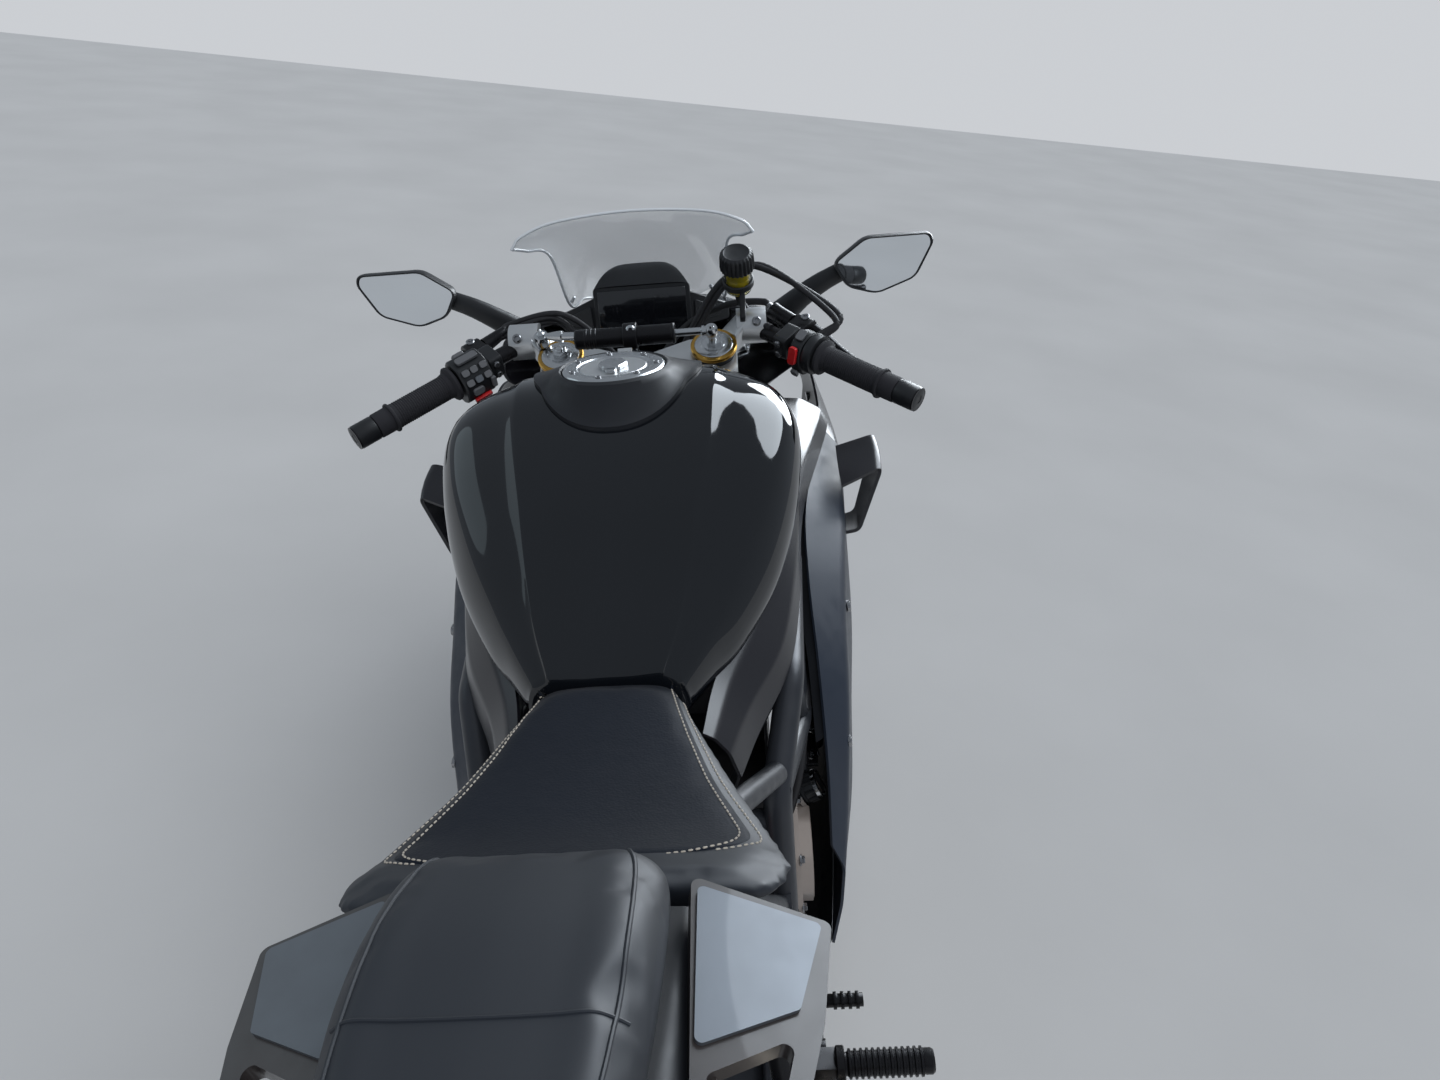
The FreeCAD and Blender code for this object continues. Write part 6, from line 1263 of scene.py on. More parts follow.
    def levers(self) -> None:
        """Hand levers with ball ends, their perches, the master cylinders and the clamp screws."""
        black, steel = Shell(), Shell()
        for side, reach in ((1, 62), (-1, 60)):
            bar = Bar(side)
            bar.prism(black, [(10, -10), (14, 10), (46, 9), (54, 0), (46, -9)], reach - 14, reach + 12, 5, 1.2)
            line = spline([(reach - 2, 44, 0), (reach + 22, 48, -12), (reach + 60, 44, -24), (reach + 110, 36, -26),
                (reach + 150, 39, -28), (reach + 168, 42, -29)], 40)
            size = np.interp(np.linspace(0, 1, 40), [0, 0.15, 0.5, 0.86, 0.93, 0.965, 1],
                [8, 7, 5.2, 4.6, 5.6, 7.2, 4.5])
            black.tube(bar.at(line), size, 18, squash=0.85)
            cylinder = spline([(reach - 16, 34, 0), (reach - 40, 36, 2), (reach - 52, 38, 3)], 12)
            if side < 0:
                black.tube(bar.at(cylinder), 11.5, 24)
                steel.tube(bar.at(spline([(reach - 52, 38, 3), (reach - 58, 38.8, 3.5), (reach - 62, 39, 4)], 8)), 7,
                    20)
            else:
                black.tube(bar.at(cylinder), np.linspace(10, 6.5, 12), 20)
            _, _, fore, up = bar.axes()
            for u in (-12, 12):
                steel.lathe([(0, 4.6), (2.6, 4.6), (3.4, 3.8), (3.4, 2.2), (1.6, 2), (1.5, 0.4)],
                    bar.at((61, -18, u * 0.7)), -fore, 18)
            steel.lathe([(0, 6), (2.2, 6), (3, 5), (3, 2.4), (1.5, 2), (1.5, 0.4)], bar.at((reach - 1, 44, 8)), up,
                20)
        black.leaned().build("levers", BLACK_METAL, "control_plastic")
        steel.leaned().build("lever_screws", BOLT_STEEL, "control_plastic")

    def reservoir(self) -> None:
        """Clear fluid cup with its level, the ribbed cap, the foot and the hose to the cylinder."""
        x, y, z = self.cup
        Shell().lathe([(0, 10), (0.4, 15), (2, 17), (34, 19), (36.5, 19), (36.5, 17.4), (34, 17.2), (3, 15.2),
            (2, 9)], (x, y, z), UP, 48, closed=True).leaned().build("fluid_cup", CUP, "clear_screen",
            "brake_reservoir")
        Shell().lathe([(2.6, 2), (3, 14.6), (4, 15), (24, 16.3), (24.6, 15), (24.6, 2)], (x, y, z), UP,
            40).leaned().build("brake_fluid", FLUID, "clear_screen")
        cap = Shell()
        angle = np.linspace(0, 2 * math.pi, 144, endpoint=False)
        wave = 0.9 * np.cos(24 * angle)
        rows = []
        for dz, r, ribs in ((36, 18, 0), (36.4, 21.6, 1), (38, 22.3, 1), (55, 21.4, 1), (58, 20.6, 1), (60, 18.6, 0),
                (60.6, 17, 0), (59.6, 15, 0), (59.6, 2, 0)):
            plan = (r + ribs * wave)[:, None] * rays(angle) + (x, y)
            rows.append(np.insert(plan, 2, z + dz, axis=1))
        cap.grid(np.stack(rows), loop_cols=True, caps=True)
        cap.lathe([(-3, 19.6), (-2, 20.6), (5, 20.8), (6, 19.6), (6, 18.2), (-3, 17.6)], (x, y, z + 12), UP, 48,
            closed=True)
        cap.slab(softened([(x - 16, y - 8, z + 11), (x - 36, y - 6, z - 20), (x - 30, y - 6, z - 34),
            (x - 22, y - 8, z - 30)], 4), (0, 7, 0), 1)
        cap.leaned().build("fluid_cap", DEEP, "control_plastic")
        hose = spline([(x, y, z + 1), (x, y, z - 14), (x - 6, y - 8, z - 30), (x - 24, y - 22, z - 36),
            (x - 42, y - 40, z - 34)], 30)
        Shell().tube(hose, 5.2, 16).leaned().build("fluid_hose", HOSE, "control_plastic")

    def hoses(self) -> None:
        """Throttle cables, switch leads and the brake hose, which go down behind the steering head."""
        shell = Shell()
        right, left = Bar(-1), Bar(1)
        start = right.at((108, 20, 14))
        for y in (0, 9):
            path = [start + (0, y, 0), right.at((104, 48 + y, 26)), (135, -178 + y, 1066), (128, -128 + y, 1052),
                (104, -86 + y, 1004), (82, -60 + y, 960), (60, -44 + y, 900)]
            shell.tube(spline(path, 60), 4.4, 12)
        for y in (0, 7):
            path = [left.at((80, 20, -10)), left.at((58, 38 + y, -4)), (118, 128, 1012 + y), (100, 84, 984 + y),
                (76, 50, 950), (58, 42, 900)]
            shell.tube(spline(path, 50), 3.6, 12)
        brake = [right.at((2, 39, 4)), right.at((-14, 42, 6)), (128, -120, 1010), (116, -60, 985), (80, -20, 950),
            (62, -8, 890)]
        shell.tube(spline(brake, 50), 4.8, 14)
        clutch = [left.at((14, 38, 3)), left.at((-4, 42, 4)), (122, 112, 1022), (102, 60, 990), (70, 24, 950),
            (58, 14, 890)]
        shell.tube(spline(clutch, 50), 4, 12)
        shell.leaned().build("bar_hoses", HOSE, "control_plastic")

    def clamp_screws(self) -> None:
        """Pinch screws of the top clamp and the handlebar clamps."""
        screws = Shell()
        for side in (1, -1):
            for y in (14, 42):
                screws.lathe([(-4, 5.4), (3.4, 5.4), (4.4, 4.4), (4.4, 2.8), (2.2, 2.5), (2.1, 0.5)],
                    (-8 - 0.26 * y, side * (FORK_SPREAD - 70 + y), 996), (-1, side * 0.35, 0), 20)
            screws.lathe([(-3, 6), (3.6, 6), (4.6, 5), (4.6, 3), (2.4, 2.7), (2.3, 0.5)], (62, side * 162, 1034),
                (-0.5, 0, 1), 22)
        screws.leaned().build("clamp_screws", BOLT_STEEL, "cast_silver")

    def build(self) -> None:
        """The whole cockpit that turns with the bars."""
        self.fork_tops()
        self.damper()
        self.grips()
        self.left_cluster()
        self.right_cluster()
        self.levers()
        self.reservoir()
        self.hoses()
        self.clamp_screws()


@dataclass
class Front:
    """Screen with its painted edge highlight and screws, display under its hood, mirrors and lamp insides."""

    screen: tuple = ((1208, 165, 1071, 1110), (1240, 153, 1061, 1104), (1275, 128, 1045, 1096),
        (1335, 120, 956, 1074), (1400, 107, 947, 1034), (1470, 86, 926, 984), (1530, 63, 901, 936))
    mirror_shape: tuple = ((278, 996), (326, 1031), (421, 1031), (426, 1018), (401, 968), (343, 947), (299, 960))

    def screen_rows(self) -> np.ndarray:
        """Sections of the screen from one side over the top to the other."""
        rows = []
        for x, half, side, top in self.screen:
            rise = top - side
            left = [(x, half, side), (x, 0.9 * half, side + 0.42 * rise), (x, 0.6 * half, side + 0.82 * rise),
                (x, 0, top)]
            rows.append(left + [(px, -y, z) for px, y, z in left[:-1][::-1]])
        return section_loft(rows, 70, 60)

    def windscreen(self) -> None:
        """Arched clear sheet, and a pale tube along its rear and side edges: a painted highlight for the bright line
        of the screen's edge.
        """
        grid = self.screen_rows()
        Shell().sheet(grid, 3, (1500, 0, 800)).build("screen_sheet", SCREEN, "clear_screen", "windscreen", angle=50)
        rim = Shell()
        inward = np.array([0, 0, -1.5])
        rim.tube(grid[0] + inward, 2.1, 10)
        for col in (0, -1):
            rim.tube(grid[:52, col] + inward, 2.1, 10)
        rim.build("screen_rim", SCREEN_EDGE_HIGHLIGHT, "clear_screen")
        screws = Shell()
        for x, y, z in [(1352, 118, 958), (1352, -118, 958), (1440, 96, 938), (1440, -96, 938)]:
            screws.lathe([(-3, 6), (1, 6), (2, 5), (2, 3), (1, 2.6), (0.9, 0.5)], (x, y, z),
                (0, 0.8 if y > 0 else -0.8, 0.6), 20)
        screws.build("screen_screws", BOLT_STEEL, "black_metal")

    def display(self) -> None:
        """Glass display in its frame, the hood behind it and a wedge duct at each side."""
        case = Shell()
        across_y = softened([(1241, -70, 925), (1241, 70, 925), (1253, 70, 997), (1253, -70, 997)], 6)
        case.slab(across_y, (9, 0, -1.5), 1.4)
        case.slab(softened([(1250, -61, 930), (1250, 61, 930), (1260, 61, 988), (1260, -61, 988)], 8), (20, 0, -3), 2)
        y = np.linspace(-1, 1, 40)
        back = xyz(1252 + 44 * (1 - 0.10 * y**2), 41 * y, 1016 + 3 * (1 - y**6))
        front = xyz(1252, 68 * y, 996 + 2.5 * (1 - y**6))
        share = np.linspace(0, 1, 16)[:, None, None]
        roof = front * (1 - share) + back * share + np.array([0, 0, 5]) * np.sin(np.pi * share)
        case.sheet(roof, 3, (1270, 0, 900))
        skirt_low = back + np.array([6, 0, -26])
        case.sheet(back * (1 - share) + skirt_low * share, 3, (1240, 0, 980))
        for side in (1, -1):
            wedge = [(1246, side * 68, 930), (1252, side * 68, 984), (1268, side * 124, 958), (1266, side * 124, 936)]
            case.slab(softened(wedge, 5), (17, side * -2, -3), 1.5)
            rib = [(1245, side * 74, 940), (1249, side * 76, 972), (1262, side * 112, 955), (1261, side * 112, 944)]
            case.slab(softened(rib, 4), (3, 0, 0), 1)
        case.build("display_case", DEEP, "control_plastic", "dash_display")
        glass = softened([(1241.4, -64, 931), (1241.4, 64, 931), (1251.6, 64, 992), (1251.6, -64, 992)], 4)
        facing = unit(np.cross((12, 0, 70), LEFT))
        Shell().slab(glass + facing * 0.6, facing * 1.6, 0.4).build("display_glass", DISPLAY, "control_plastic")

    def mirror_edge(self, side: int, x: float, share: float, reach: float) -> np.ndarray:
        """Softened outline of one mirror at a place along the machine and a share of its size."""
        shape = np.array(self.mirror_shape, float)
        middle = shape.mean(axis=0)
        y, z = (middle + (shape - middle) * share).T
        return softened(xyz(x, side * y, z), reach, 8)

    def mirrors(self) -> None:
        """Mirror shells with rolled rims, their glass, and the broad arms down to the nose."""
        for number, side in enumerate((1, -1)):
            rings = [self.mirror_edge(side, x, share, 12) for x, share in ((1297.6, 0.93), (1294.6, 0.955),
                (1294.2, 0.985), (1297, 1), (1304, 0.997), (1314, 0.965), (1324, 0.88), (1332, 0.74), (1337.5, 0.55),
                (1339.5, 0.3))]
            shell = Shell().grid(np.stack(rings), loop_cols=True, caps=True)
            arm = spline([(1330, side * 204, 920), (1322, side * 232, 944), (1318, side * 262, 964),
                (1318, side * 292, 978), (1321, side * 318, 985)], 40)
            size = np.interp(np.linspace(0, 1, 40), [0, 0.25, 0.6, 1], [21, 17, 14.5, 13])
            shell.tube(arm, size, 28, squash=0.72)
            shell.build("mirror_shell_%d" % number, DEEP, "control_plastic", *["mirror_arms"][number:])
            Shell().slab(self.mirror_edge(side, 1295.6, 0.94, 10), (1.6, 0, 0), 0.5).build("mirror_pane_%d" % number,
                MIRROR, "mirror_glass", *["mirror_glasses"][number:])

    def lamps(self) -> None:
        """Pale light strips inside the clear headlamp slits, and three small reflector bowls in each."""
        strips, bowls = Shell(), Shell()
        for side in (1, -1):
            line = spline([(1590, side * 36, 775), (1574, side * 64, 782), (1549, side * 92, 788),
                (1515, side * 120, 803), (1484, side * 142, 818)], 40)
            strips.tube(line, 3.2, 12)
            for at in (6, 15, 24):
                ahead = unit(np.array([1, side * 0.25, -0.1]))
                bowls.lathe([(-9, 3), (-4, 7), (0, 8.6), (0.8, 9.4), (-5, 8.4), (-10, 3.6)], line[at] - ahead * 3,
                    ahead, 24, closed=True)
        strips.build("lamp_strips", STRIP, "lamp_lens")
        bowls.build("lamp_bowls", CHROME, "lamp_lens")

    def build(self) -> None:
        """Screen, display, mirrors and lamp insides."""
        self.lamps()
        self.windscreen()
        self.display()
        self.mirrors()


@dataclass
class Wheels:
    """Tyres with their tread, painted shade in the discs' drill holes, bobbins, bolts, axle nuts and the link chain.
    """

    front: tuple = (WHEELBASE, FRONT_Z, 300, 60, 50)
    rear: tuple = (0, REAR_Z, 315, 90, 76)
    bead: float = 222.3
    groove: float = 3.4
    sprockets: tuple = ((648, 392, 37), (0, REAR_Z, 97))
    chain_y: float = 105.0
    pitch: float = 15.875

    def tyre(self, name: str, body: Body, node: str, size: Numbers, waves: int) -> None:
        """Tyre spun from its profile; the tread is cut by curved grooves that run out to the shoulders.

        Args:
            name: the piece.
            body: what it turns with.
            node: the solid that it stands for.
            size: axle x and z, crown radius, half width and half width of the rim seat.
            waves: grooves round the tyre on each side.
        """
        x, z, crown, half, seat = size
        rise = crown - self.bead
        share = [(0, 0), (0.27, 0.035), (0.53, 0.145), (0.76, 0.33), (0.93, 0.60), (1, 0.85)]
        right = [(a * half, crown - b * rise * 0.62) for a, b in share]
        right += [(0.97 * half, self.bead + 0.28 * rise), (seat + 1, self.bead + 9), (seat - 0.5, self.bead + 1)]
        across = spline([(-a, b) for a, b in right[:0:-1]] + right, 64)
        angle = np.linspace(0, 2 * math.pi, 640, endpoint=False)
        y, radius = across[:, 0], across[:, 1]
        s = y / half
        out = np.abs(s)
        phase = waves * angle[:, None] / 2 + np.where(s > 0, 0, 0.5 * math.pi) - 2.53 * out**0.8
        long_cut = np.clip((np.cos(phase) ** 2 - 0.985) / 0.008, 0, 1)
        short_cut = np.clip((np.cos(phase + 1.2) ** 2 - 0.99) / 0.006, 0, 1) * (out > 0.5)
        edges = np.clip((out - 0.10) / 0.05, 0, 1) * np.clip((0.93 - out) / 0.06, 0, 1)
        band = edges * (radius > crown - 0.62 * rise)
        r = radius - self.groove * np.maximum(long_cut, short_cut) * band
        cos, sin = rays(angle).T[:, :, None]
        points = xyz(x + r * cos, y, z + r * sin)
        low = self.bead + 6
        inner = xyz(x + low * cos, (seat - 4, 4 - seat), z + low * sin)
        shell = Shell(body).grid(np.concatenate([points, inner], axis=1), loop_rows=True, loop_cols=True)
        for side in (1, -1):
            for q in (self.bead + 0.36 * rise, self.bead + 0.42 * rise):
                shell.lathe([(0.968 * half, q - 1), (0.985 * half + 0.9, q), (0.975 * half, q + 1)], (x, 0, z),
                    (0, side, 0), 96, closed=True)
        shell.build(name, RUBBER, "tyre_rubber", node, angle=30)

    def holes(self, shell: Shell, centre: Numbers, y: float, radii: Numbers, count: int, size: float) -> None:
        """Adds the look of a disc's drilled holes: short dark plugs through both faces, painted shade where the open
        holes would be.
        """
        for row, radius in enumerate(radii):
            for c, s in radius * circle(count, 360 * 0.31 * row / count):
                shell.lathe([(0, 0.4), (0, size), (4.9, size), (4.9, 0.4)], (centre[0] + c, y - 2.45, centre[1] + s),
                    LEFT, 10)

    def discs(self) -> None:
        """Painted shade in the drilled holes, and the bobbins and carrier bolts of all three discs, on their wheels.
        """
        fx, fz = self.front[:2]
        hole_shade, bolts = Shell(Body.FRONT_WHEEL), Shell(Body.FRONT_WHEEL)
        for y, out in ((68, 1), (-68, -1)):
            self.holes(hole_shade, (fx, fz), y, (119, 131, 143), 30, 3.2)
            for c, s in 112 * circle(10, 8):
                bolts.lathe([(-3.4, 5.5), (-3.2, 7.5), (3.2, 7.5), (3.4, 5.5), (3.4, 2.6), (2.4, 2.4)],
                    (fx + c, y, fz + s), LEFT, 20)
            for c, s in 40 * circle(5):
                bolts.lathe([(0, 6.5), (3.5, 6.2), (4.3, 5), (4.3, 3), (2, 2.8), (1.9, 0.5)],
                    (fx + c, y + out * 2.3, fz + s), (0, out, 0), 18)
        hole_shade.build("front_disc_bores", DEEP, "disc_steel")
        bolts.build("front_disc_bolts", BOLT_STEEL, "disc_steel")
        rx, rz = self.rear[:2]
        hole_shade, bolts = Shell(Body.REAR_WHEEL), Shell(Body.REAR_WHEEL)
        self.holes(hole_shade, (rx, rz), -100, (91, 103, 114), 24, 3.2)
        for (c, s), (far, side) in zip(40 * circle(5), 58 * circle(5, math.degrees(0.63))):
            bolts.lathe([(-0.3, 6.6), (1.3, 6.2), (1.9, 5.2), (1.9, 3), (0.9, 2.8), (0.8, 0.5)],
                (rx + c, -102.3, rz + s), (0, -1, 0), 18)
            bolts.lathe([(0, 8), (5, 8), (6, 6.6), (6, 4), (9, 4), (9, 2.4)], (rx + far, 108, rz + side), LEFT, 6)
        hole_shade.build("rear_disc_bores", DEEP, "disc_steel")
        bolts.build("rear_wheel_bolts", BOLT_STEEL, "disc_steel")

    def valve(self, name: str, body: Body, x: float, z: float) -> None:
        """Angled valve stem in the rim of a wheel with its axle at x and z."""
        c, s = rays(math.radians(20))
        stem = [(0, 5), (4, 5), (5, 3.6), (22, 3.6), (23, 4.6), (34, 4.4), (35, 3.4), (35, 1)]
        shell = Shell(body).lathe(stem, (x + 212 * c, 14, z + 212 * s), (-c, 0.5, -s), 18)
        shell.build(name, BLACK_METAL, "rim_paint")

    def nuts(self) -> None:
        """Collars beside the forks, and the rear axle's washers and nuts."""
        collars, nuts = Shell(Body.STEERING), Shell()
        fx, fz = self.front[:2]
        rx, rz = self.rear[:2]
        for side in (1, -1):
            collars.lathe([(0, 17), (2.4, 17), (2.8, 15.5), (2.8, 9)], (fx, side * 118, fz), (0, side, 0), 36)
            nuts.lathe([(0, 21), (2.6, 21), (3, 19), (3, 10)], (rx, side * 147, rz), (0, side, 0), 36)
            nuts.slab([(rx + c, side * 150, rz + s) for c, s in 18 * circle(6)], (0, side * 9, 0), 1.5)
        collars.build("front_axle_collars", TURNED, "axle_steel")
        nuts.build("rear_axle_nuts", TURNED, "axle_steel")

    def chain_path(self) -> np.ndarray:
        """Middle of the chain round both sprockets, at every pin."""
        (*drive, small), (*rear, big) = self.sprockets
        run = np.subtract(drive, rear)
        angle = math.atan2(run[1], run[0])
        swing = math.asin((big - small) / np.linalg.norm(run))
        up, down = angle + math.pi / 2 - swing, angle - math.pi / 2 + swing
        ahead = drive + small * rays(np.linspace(up, down, 24))
        behind = rear + big * rays(np.linspace(down, up - 2 * math.pi, 60))
        path = np.concatenate([ahead, behind, ahead[:1]])
        length = np.linalg.norm(np.diff(path, axis=0), axis=1).sum()
        count = int(round(length / self.pitch / 2)) * 2
        even = even_path(path, length / (count + 0.001))
        return even[:-1] if len(even) > count else even

    def chain(self) -> None:
        """Link chain: pairs of waisted plates that alternate between inner and outer, and rollers on every pin."""
        pins = self.chain_path()
        following = np.roll(pins, -1, axis=0)
        along = unit(np.concatenate([following - pins, np.zeros((len(pins), 1))], axis=1)[:, [0, 2, 1]])
        side = np.broadcast_to(np.array([0, 1, 0]), along.shape)
        frames = np.stack([along, side, np.cross(along, side)], axis=-1)
        half = np.linalg.norm(following - pins, axis=1).mean() / 2
        middle = (pins + following) / 2
        cos, sin = circle(20).T
        ring = xyz(half * np.sign(cos) * np.minimum(1, np.abs(cos) * 1.6) + 5.6 * cos, (4.6 + 1.4 * cos**2) * sin)
        plates, rollers = Shell(), Shell()
        for inner, spots, axes in ((4.7, middle[::2], frames[::2]), (6.9, middle[1::2], frames[1::2])):
            for sign in (1, -1):
                rows = [np.insert(ring * k, 1, sign * y, axis=1) for y, k in ((inner, 0.95), (inner + 0.3, 1),
                    (inner + 1.7, 1), (inner + 2, 0.95))]
                plates.many(np.stack(rows), np.insert(spots, 1, self.chain_y, axis=1), axes)
        plates.build("chain_plates", STEEL, "chain_steel", "drive_chain")
        for reach, radius in ((4.4, 5.1), (9.8, 2.6)):
            rows = [np.insert(radius * circle(10), 1, y, axis=1) for y in (-reach, reach)]
            rollers.many(np.stack(rows), np.insert(pins, 1, self.chain_y, axis=1), frames)
        rollers.build("chain_rollers", BOLT_STEEL, "chain_steel")

    def build(self) -> None:
        """Both wheels' looks and the chain."""
        self.tyre("front_tread", Body.FRONT_WHEEL, "front_tyre", self.front, 26)
        self.tyre("rear_tread", Body.REAR_WHEEL, "rear_tyre", self.rear, 24)
        self.discs()
        self.valve("front_valve", Body.FRONT_WHEEL, *self.front[:2])
        self.valve("rear_valve", Body.REAR_WHEEL, *self.rear[:2])
        self.nuts()
        self.chain()


@dataclass
class Engine:
    """What shows of the engine between tube and blade: bolts, filler cap, canister, hoses and blade linings."""

    clutch_edge: tuple = ((652, 395), (690, 330), (770, 345), (800, 420), (790, 505), (700, 512), (655, 470))
    clutch_face: tuple = ((672, 400), (700, 352), (758, 362), (782, 420), (770, 482), (705, 490), (672, 455))
    linings: tuple = ((1150, 243, 806, 38), (1080, 229, 784, 38), (980, 210, 758, 30), (930, 206, 738, 26),
        (868, 206, 708, 17), (820, 208, 678, 13), (790, 209, 652, 12), (740, 211, 590, 12))

    def bolt(self, shell: Shell, spot: Numbers, along: Numbers, size: float = 5) -> None:
        """A flanged bolt: washer, hexagonal head and its dished top."""
        shell.lathe([(-1, 1.55 * size), (0.9, 1.5 * size), (1.3, 1.1 * size)], spot, along, 20)
        start = np.asarray(spot, float) + 1.1 * unit(np.asarray(along, float))
        shell.lathe([(0, size), (0.62 * size, size), (0.8 * size, 0.85 * size), (0.66 * size, 0.6 * size),
            (0.62 * size, 0.1)], start, along, 6)

    def lining(self) -> None:
        """Return flange of each blade, from its upper edge in and down to the frame tube, and a heat guard a side."""
        rows = [[(x, y + 1, z - 4), (x, y - wide / 2, z - 4 - 0.45 * wide), (x, y - wide, z - 4 - 0.8 * wide)]
            for (x, y, z, wide) in self.linings]
        Shell().pair(section_loft(rows, 26, 9), 2.5, (950, 0, 500)).build("blade_linings", MATTE, "matte_panel")
        guard = Shell()
        plate = [(700, 540), (705, 622), (760, 642), (880, 575), (905, 480), (800, 470)]
        for side in (1, -1):
            ring = softened([(x, side * 139.5, z) for x, z in plate], 12)
            guard.slab(ring if side > 0 else ring[::-1], (0, side * 4, 0), 1.2)
        guard.build("heat_guards", BLACK_METAL, "engine_metal")

    def covers(self) -> None:
        """Bolts of the side covers and the head cover, and the clutch cover's raised rib and middle plug."""
        shell = Shell()
        edge = even_path([(x, 0, z) for x, z in (*self.clutch_edge, self.clutch_edge[0])], 62)
        middle = np.array([725, 0, 425])
        for x, _, z in middle + (edge[:-1] - middle) * 0.94:
            self.bolt(shell, (x, -172.3, z), (0, -1, 0), 4.6)
        for c, s in 66 * circle(9, math.degrees(0.2)):
            self.bolt(shell, (850 + c, 172, 400 + s), LEFT, 4.6)
        for x, z in ((640, 330), (672, 300), (700, 470), (640, 455)):
            self.bolt(shell, (x, 152, z), LEFT, 4.2)
        for x, y, z in ((958, 120, 724), (1018, 120, 690), (958, -120, 724), (1018, -120, 690), (958, 40, 724),
                (958, -40, 724)):
            self.bolt(shell, (x, y, z - 9), (0.5, 0, 0.86), 4.6)
        shell.build("engine_bolts", BOLT_STEEL, "engine_metal")
        face = np.array([(x, -186, z) for x, z in self.clutch_face])
        ribs = Shell()
        hub = middle + (0, -186, 0)
        ring = spline(hub + (face - hub) * 0.86, 60, closed=True)
        ribs.tube(np.concatenate([ring, ring[:1]]), 1.6, 10)
        ribs.lathe([(-2, 21), (1.8, 21), (2.6, 19.5), (2.6, 15), (1.2, 13.5), (1.2, 0.5)], (728, -186, 420),
            (0, -1, 0), 40)
        ribs.build("clutch_ribs", BRONZE, "cover_metal")

    def filler(self) -> None:
        """Black oil cap with grip lugs that stands in a silver ring."""
        start, up = np.array([748, -179, 496.8]), unit(np.array([0, -32, 14]))
        Shell().lathe([(-3, 22), (2.5, 22), (3.6, 20.8), (3.6, 16.5)], start, up, 48).build("filler_ring", TURNED,
            "engine_metal")
        cap = Shell().lathe([(2, 18.6), (6, 18.6), (7, 17.8), (19, 16.6), (22.5, 15.6), (23.6, 13.4), (22.4, 11.5),
            (22.4, 0.5)], start, up, 48)
        side = unit(np.cross(up, [1, 0, 0]))
        other = np.cross(up, side)
        for c, s in circle(10):
            out = c * side + s * other
            cap.lathe([(0, 1), (0.6, 2.6), (12, 2.4), (12.8, 1)], start + up * 7 + out * 17.6, up, 10)
        lug = [start + up * 22 + side * u + other * v for u, v in ((-13, -3), (13, -3), (13, 3), (-13, 3))]
        cap.slab(lug, tuple(up * 6), 1.2)
        cap.build("filler_cap", DEEP, "control_plastic")
        Shell().lathe([(19.5, 17.8), (24, 17.6), (25, 16.6), (25, 14.4), (19.5, 14.2)], start, up, 48,
            closed=True).build("filler_rim", TURNED, "engine_metal")

    def canister(self) -> None:
        """Ribbed black canister on the right with its silver clamp, nozzles and bracket bolts."""
        foot, up = np.array([895, -200, 438]), unit(np.array([0.04, 0, 1]))
        body = [(0, 8), (1, 14), (4, 17.4), (22, 17.6), (24, 18.6), (28, 18.6), (30, 17.6), (96, 17.2), (98, 18.8),
            (104, 18.8), (106, 16.5), (120, 15.5), (127, 11), (128, 6.5), (141, 6), (141, 1)]
        shell = Shell().lathe(body, foot, up, 40)
        for z in (40, 52, 64, 76, 88):
            shell.lathe([(z, 17), (z + 1.6, 18.5), (z + 4.4, 18.5), (z + 6, 17)], foot, up, 40, closed=True)
        shell.build("side_canister", TUBE_COAT, "control_plastic")
        clamp = Shell().lathe([(30, 18.8), (38, 18.8), (38, 17), (30, 17)], foot, up, 40, closed=True)
        clamp.lathe([(98.5, 18.5), (98.5, 19.8), (103.5, 19.8), (103.5, 18.5)], foot, up, 40, closed=True)
        for spot, along in (((872, -201, 585), (0, -0.3, 1)), ((842, -196, 600), (0, -0.3, 1)),
                ((862, -204, 452), (0, -1, 0.2)), ((826, -191, 622), (0, -0.4, 1)), ((800, -196, 548), (0, -0.4, 1)),
                ((772, -194, 530), (0, -0.4, 1))):
            self.bolt(clamp, spot, along, 5.2)
        clamp.build("canister_fittings", TURNED, "axle_steel")
        plate = Shell().slab([(820, -170, 596), (900, -170, 580), (900, -208, 580), (820, -202, 596)], (0, 0.5, 4),
            1.2)
        plate.slab([(760, -166, 520), (815, -168, 540), (815, -204, 540), (760, -202, 520)], (0, 0.5, 5), 1.2)
        plate.build("canister_bracket", BLACK_METAL, "black_metal")

    def hoses(self) -> None:
        """Coolant, breather and wiring runs along both sides of the engine, with their clamps."""
        shell, clamps = Shell(), Shell()
        for s in (1, -1):
            water = spline([(1085, s * 158, 640), (1050, s * 176, 648), (1000, s * 178, 640), (968, s * 166, 612),
                (955, s * 148, 590)], 40)
            shell.tube(water, 15, 18)
            for at in (3, 34):
                start, along = water[at], unit(water[at + 1] - water[at])
                clamps.lathe([(-4, 15.2), (-4, 16.4), (4, 16.4), (4, 15.2)], start, along, 28, closed=True)
        runs = [([(896, -200, 576), (880, -200, 606), (830, -196, 625), (760, -188, 610), (712, -176, 560),
            (700, -160, 500)], 6.5), ([(905, -172, 690), (850, -178, 668), (790, -182, 640), (740, -180, 590),
            (725, -168, 530)], 5), ([(930, -176, 560), (880, -178, 520), (830, -184, 512), (790, -186, 540),
            (770, -178, 585), (760, -165, 640)], 5.5),
            ([(880, -200, 460), (845, -203, 486), (815, -202, 520), (800, -198, 560)], 7.5),
            ([(930, 176, 640), (860, 182, 640), (790, 178, 620), (740, 170, 570), (720, 158, 500)], 6.5),
            ([(905, 172, 690), (850, 176, 660), (800, 180, 560), (820, 176, 500), (850, 170, 470)], 4.5)]
        for points, radius in runs:
            shell.tube(spline(points, 48), radius, 14)
        shell.build("engine_hoses", HOSE, "control_plastic")
        clamps.build("hose_clamps", TURNED, "axle_steel")
        plugs = Shell()
        for spot, along in (((800, -187, 546), (0.1, -0.2, -1)), ((762, -184, 600), (-0.5, 0, 1)),
                ((742, -180, 562), (-0.4, 0, -1))):
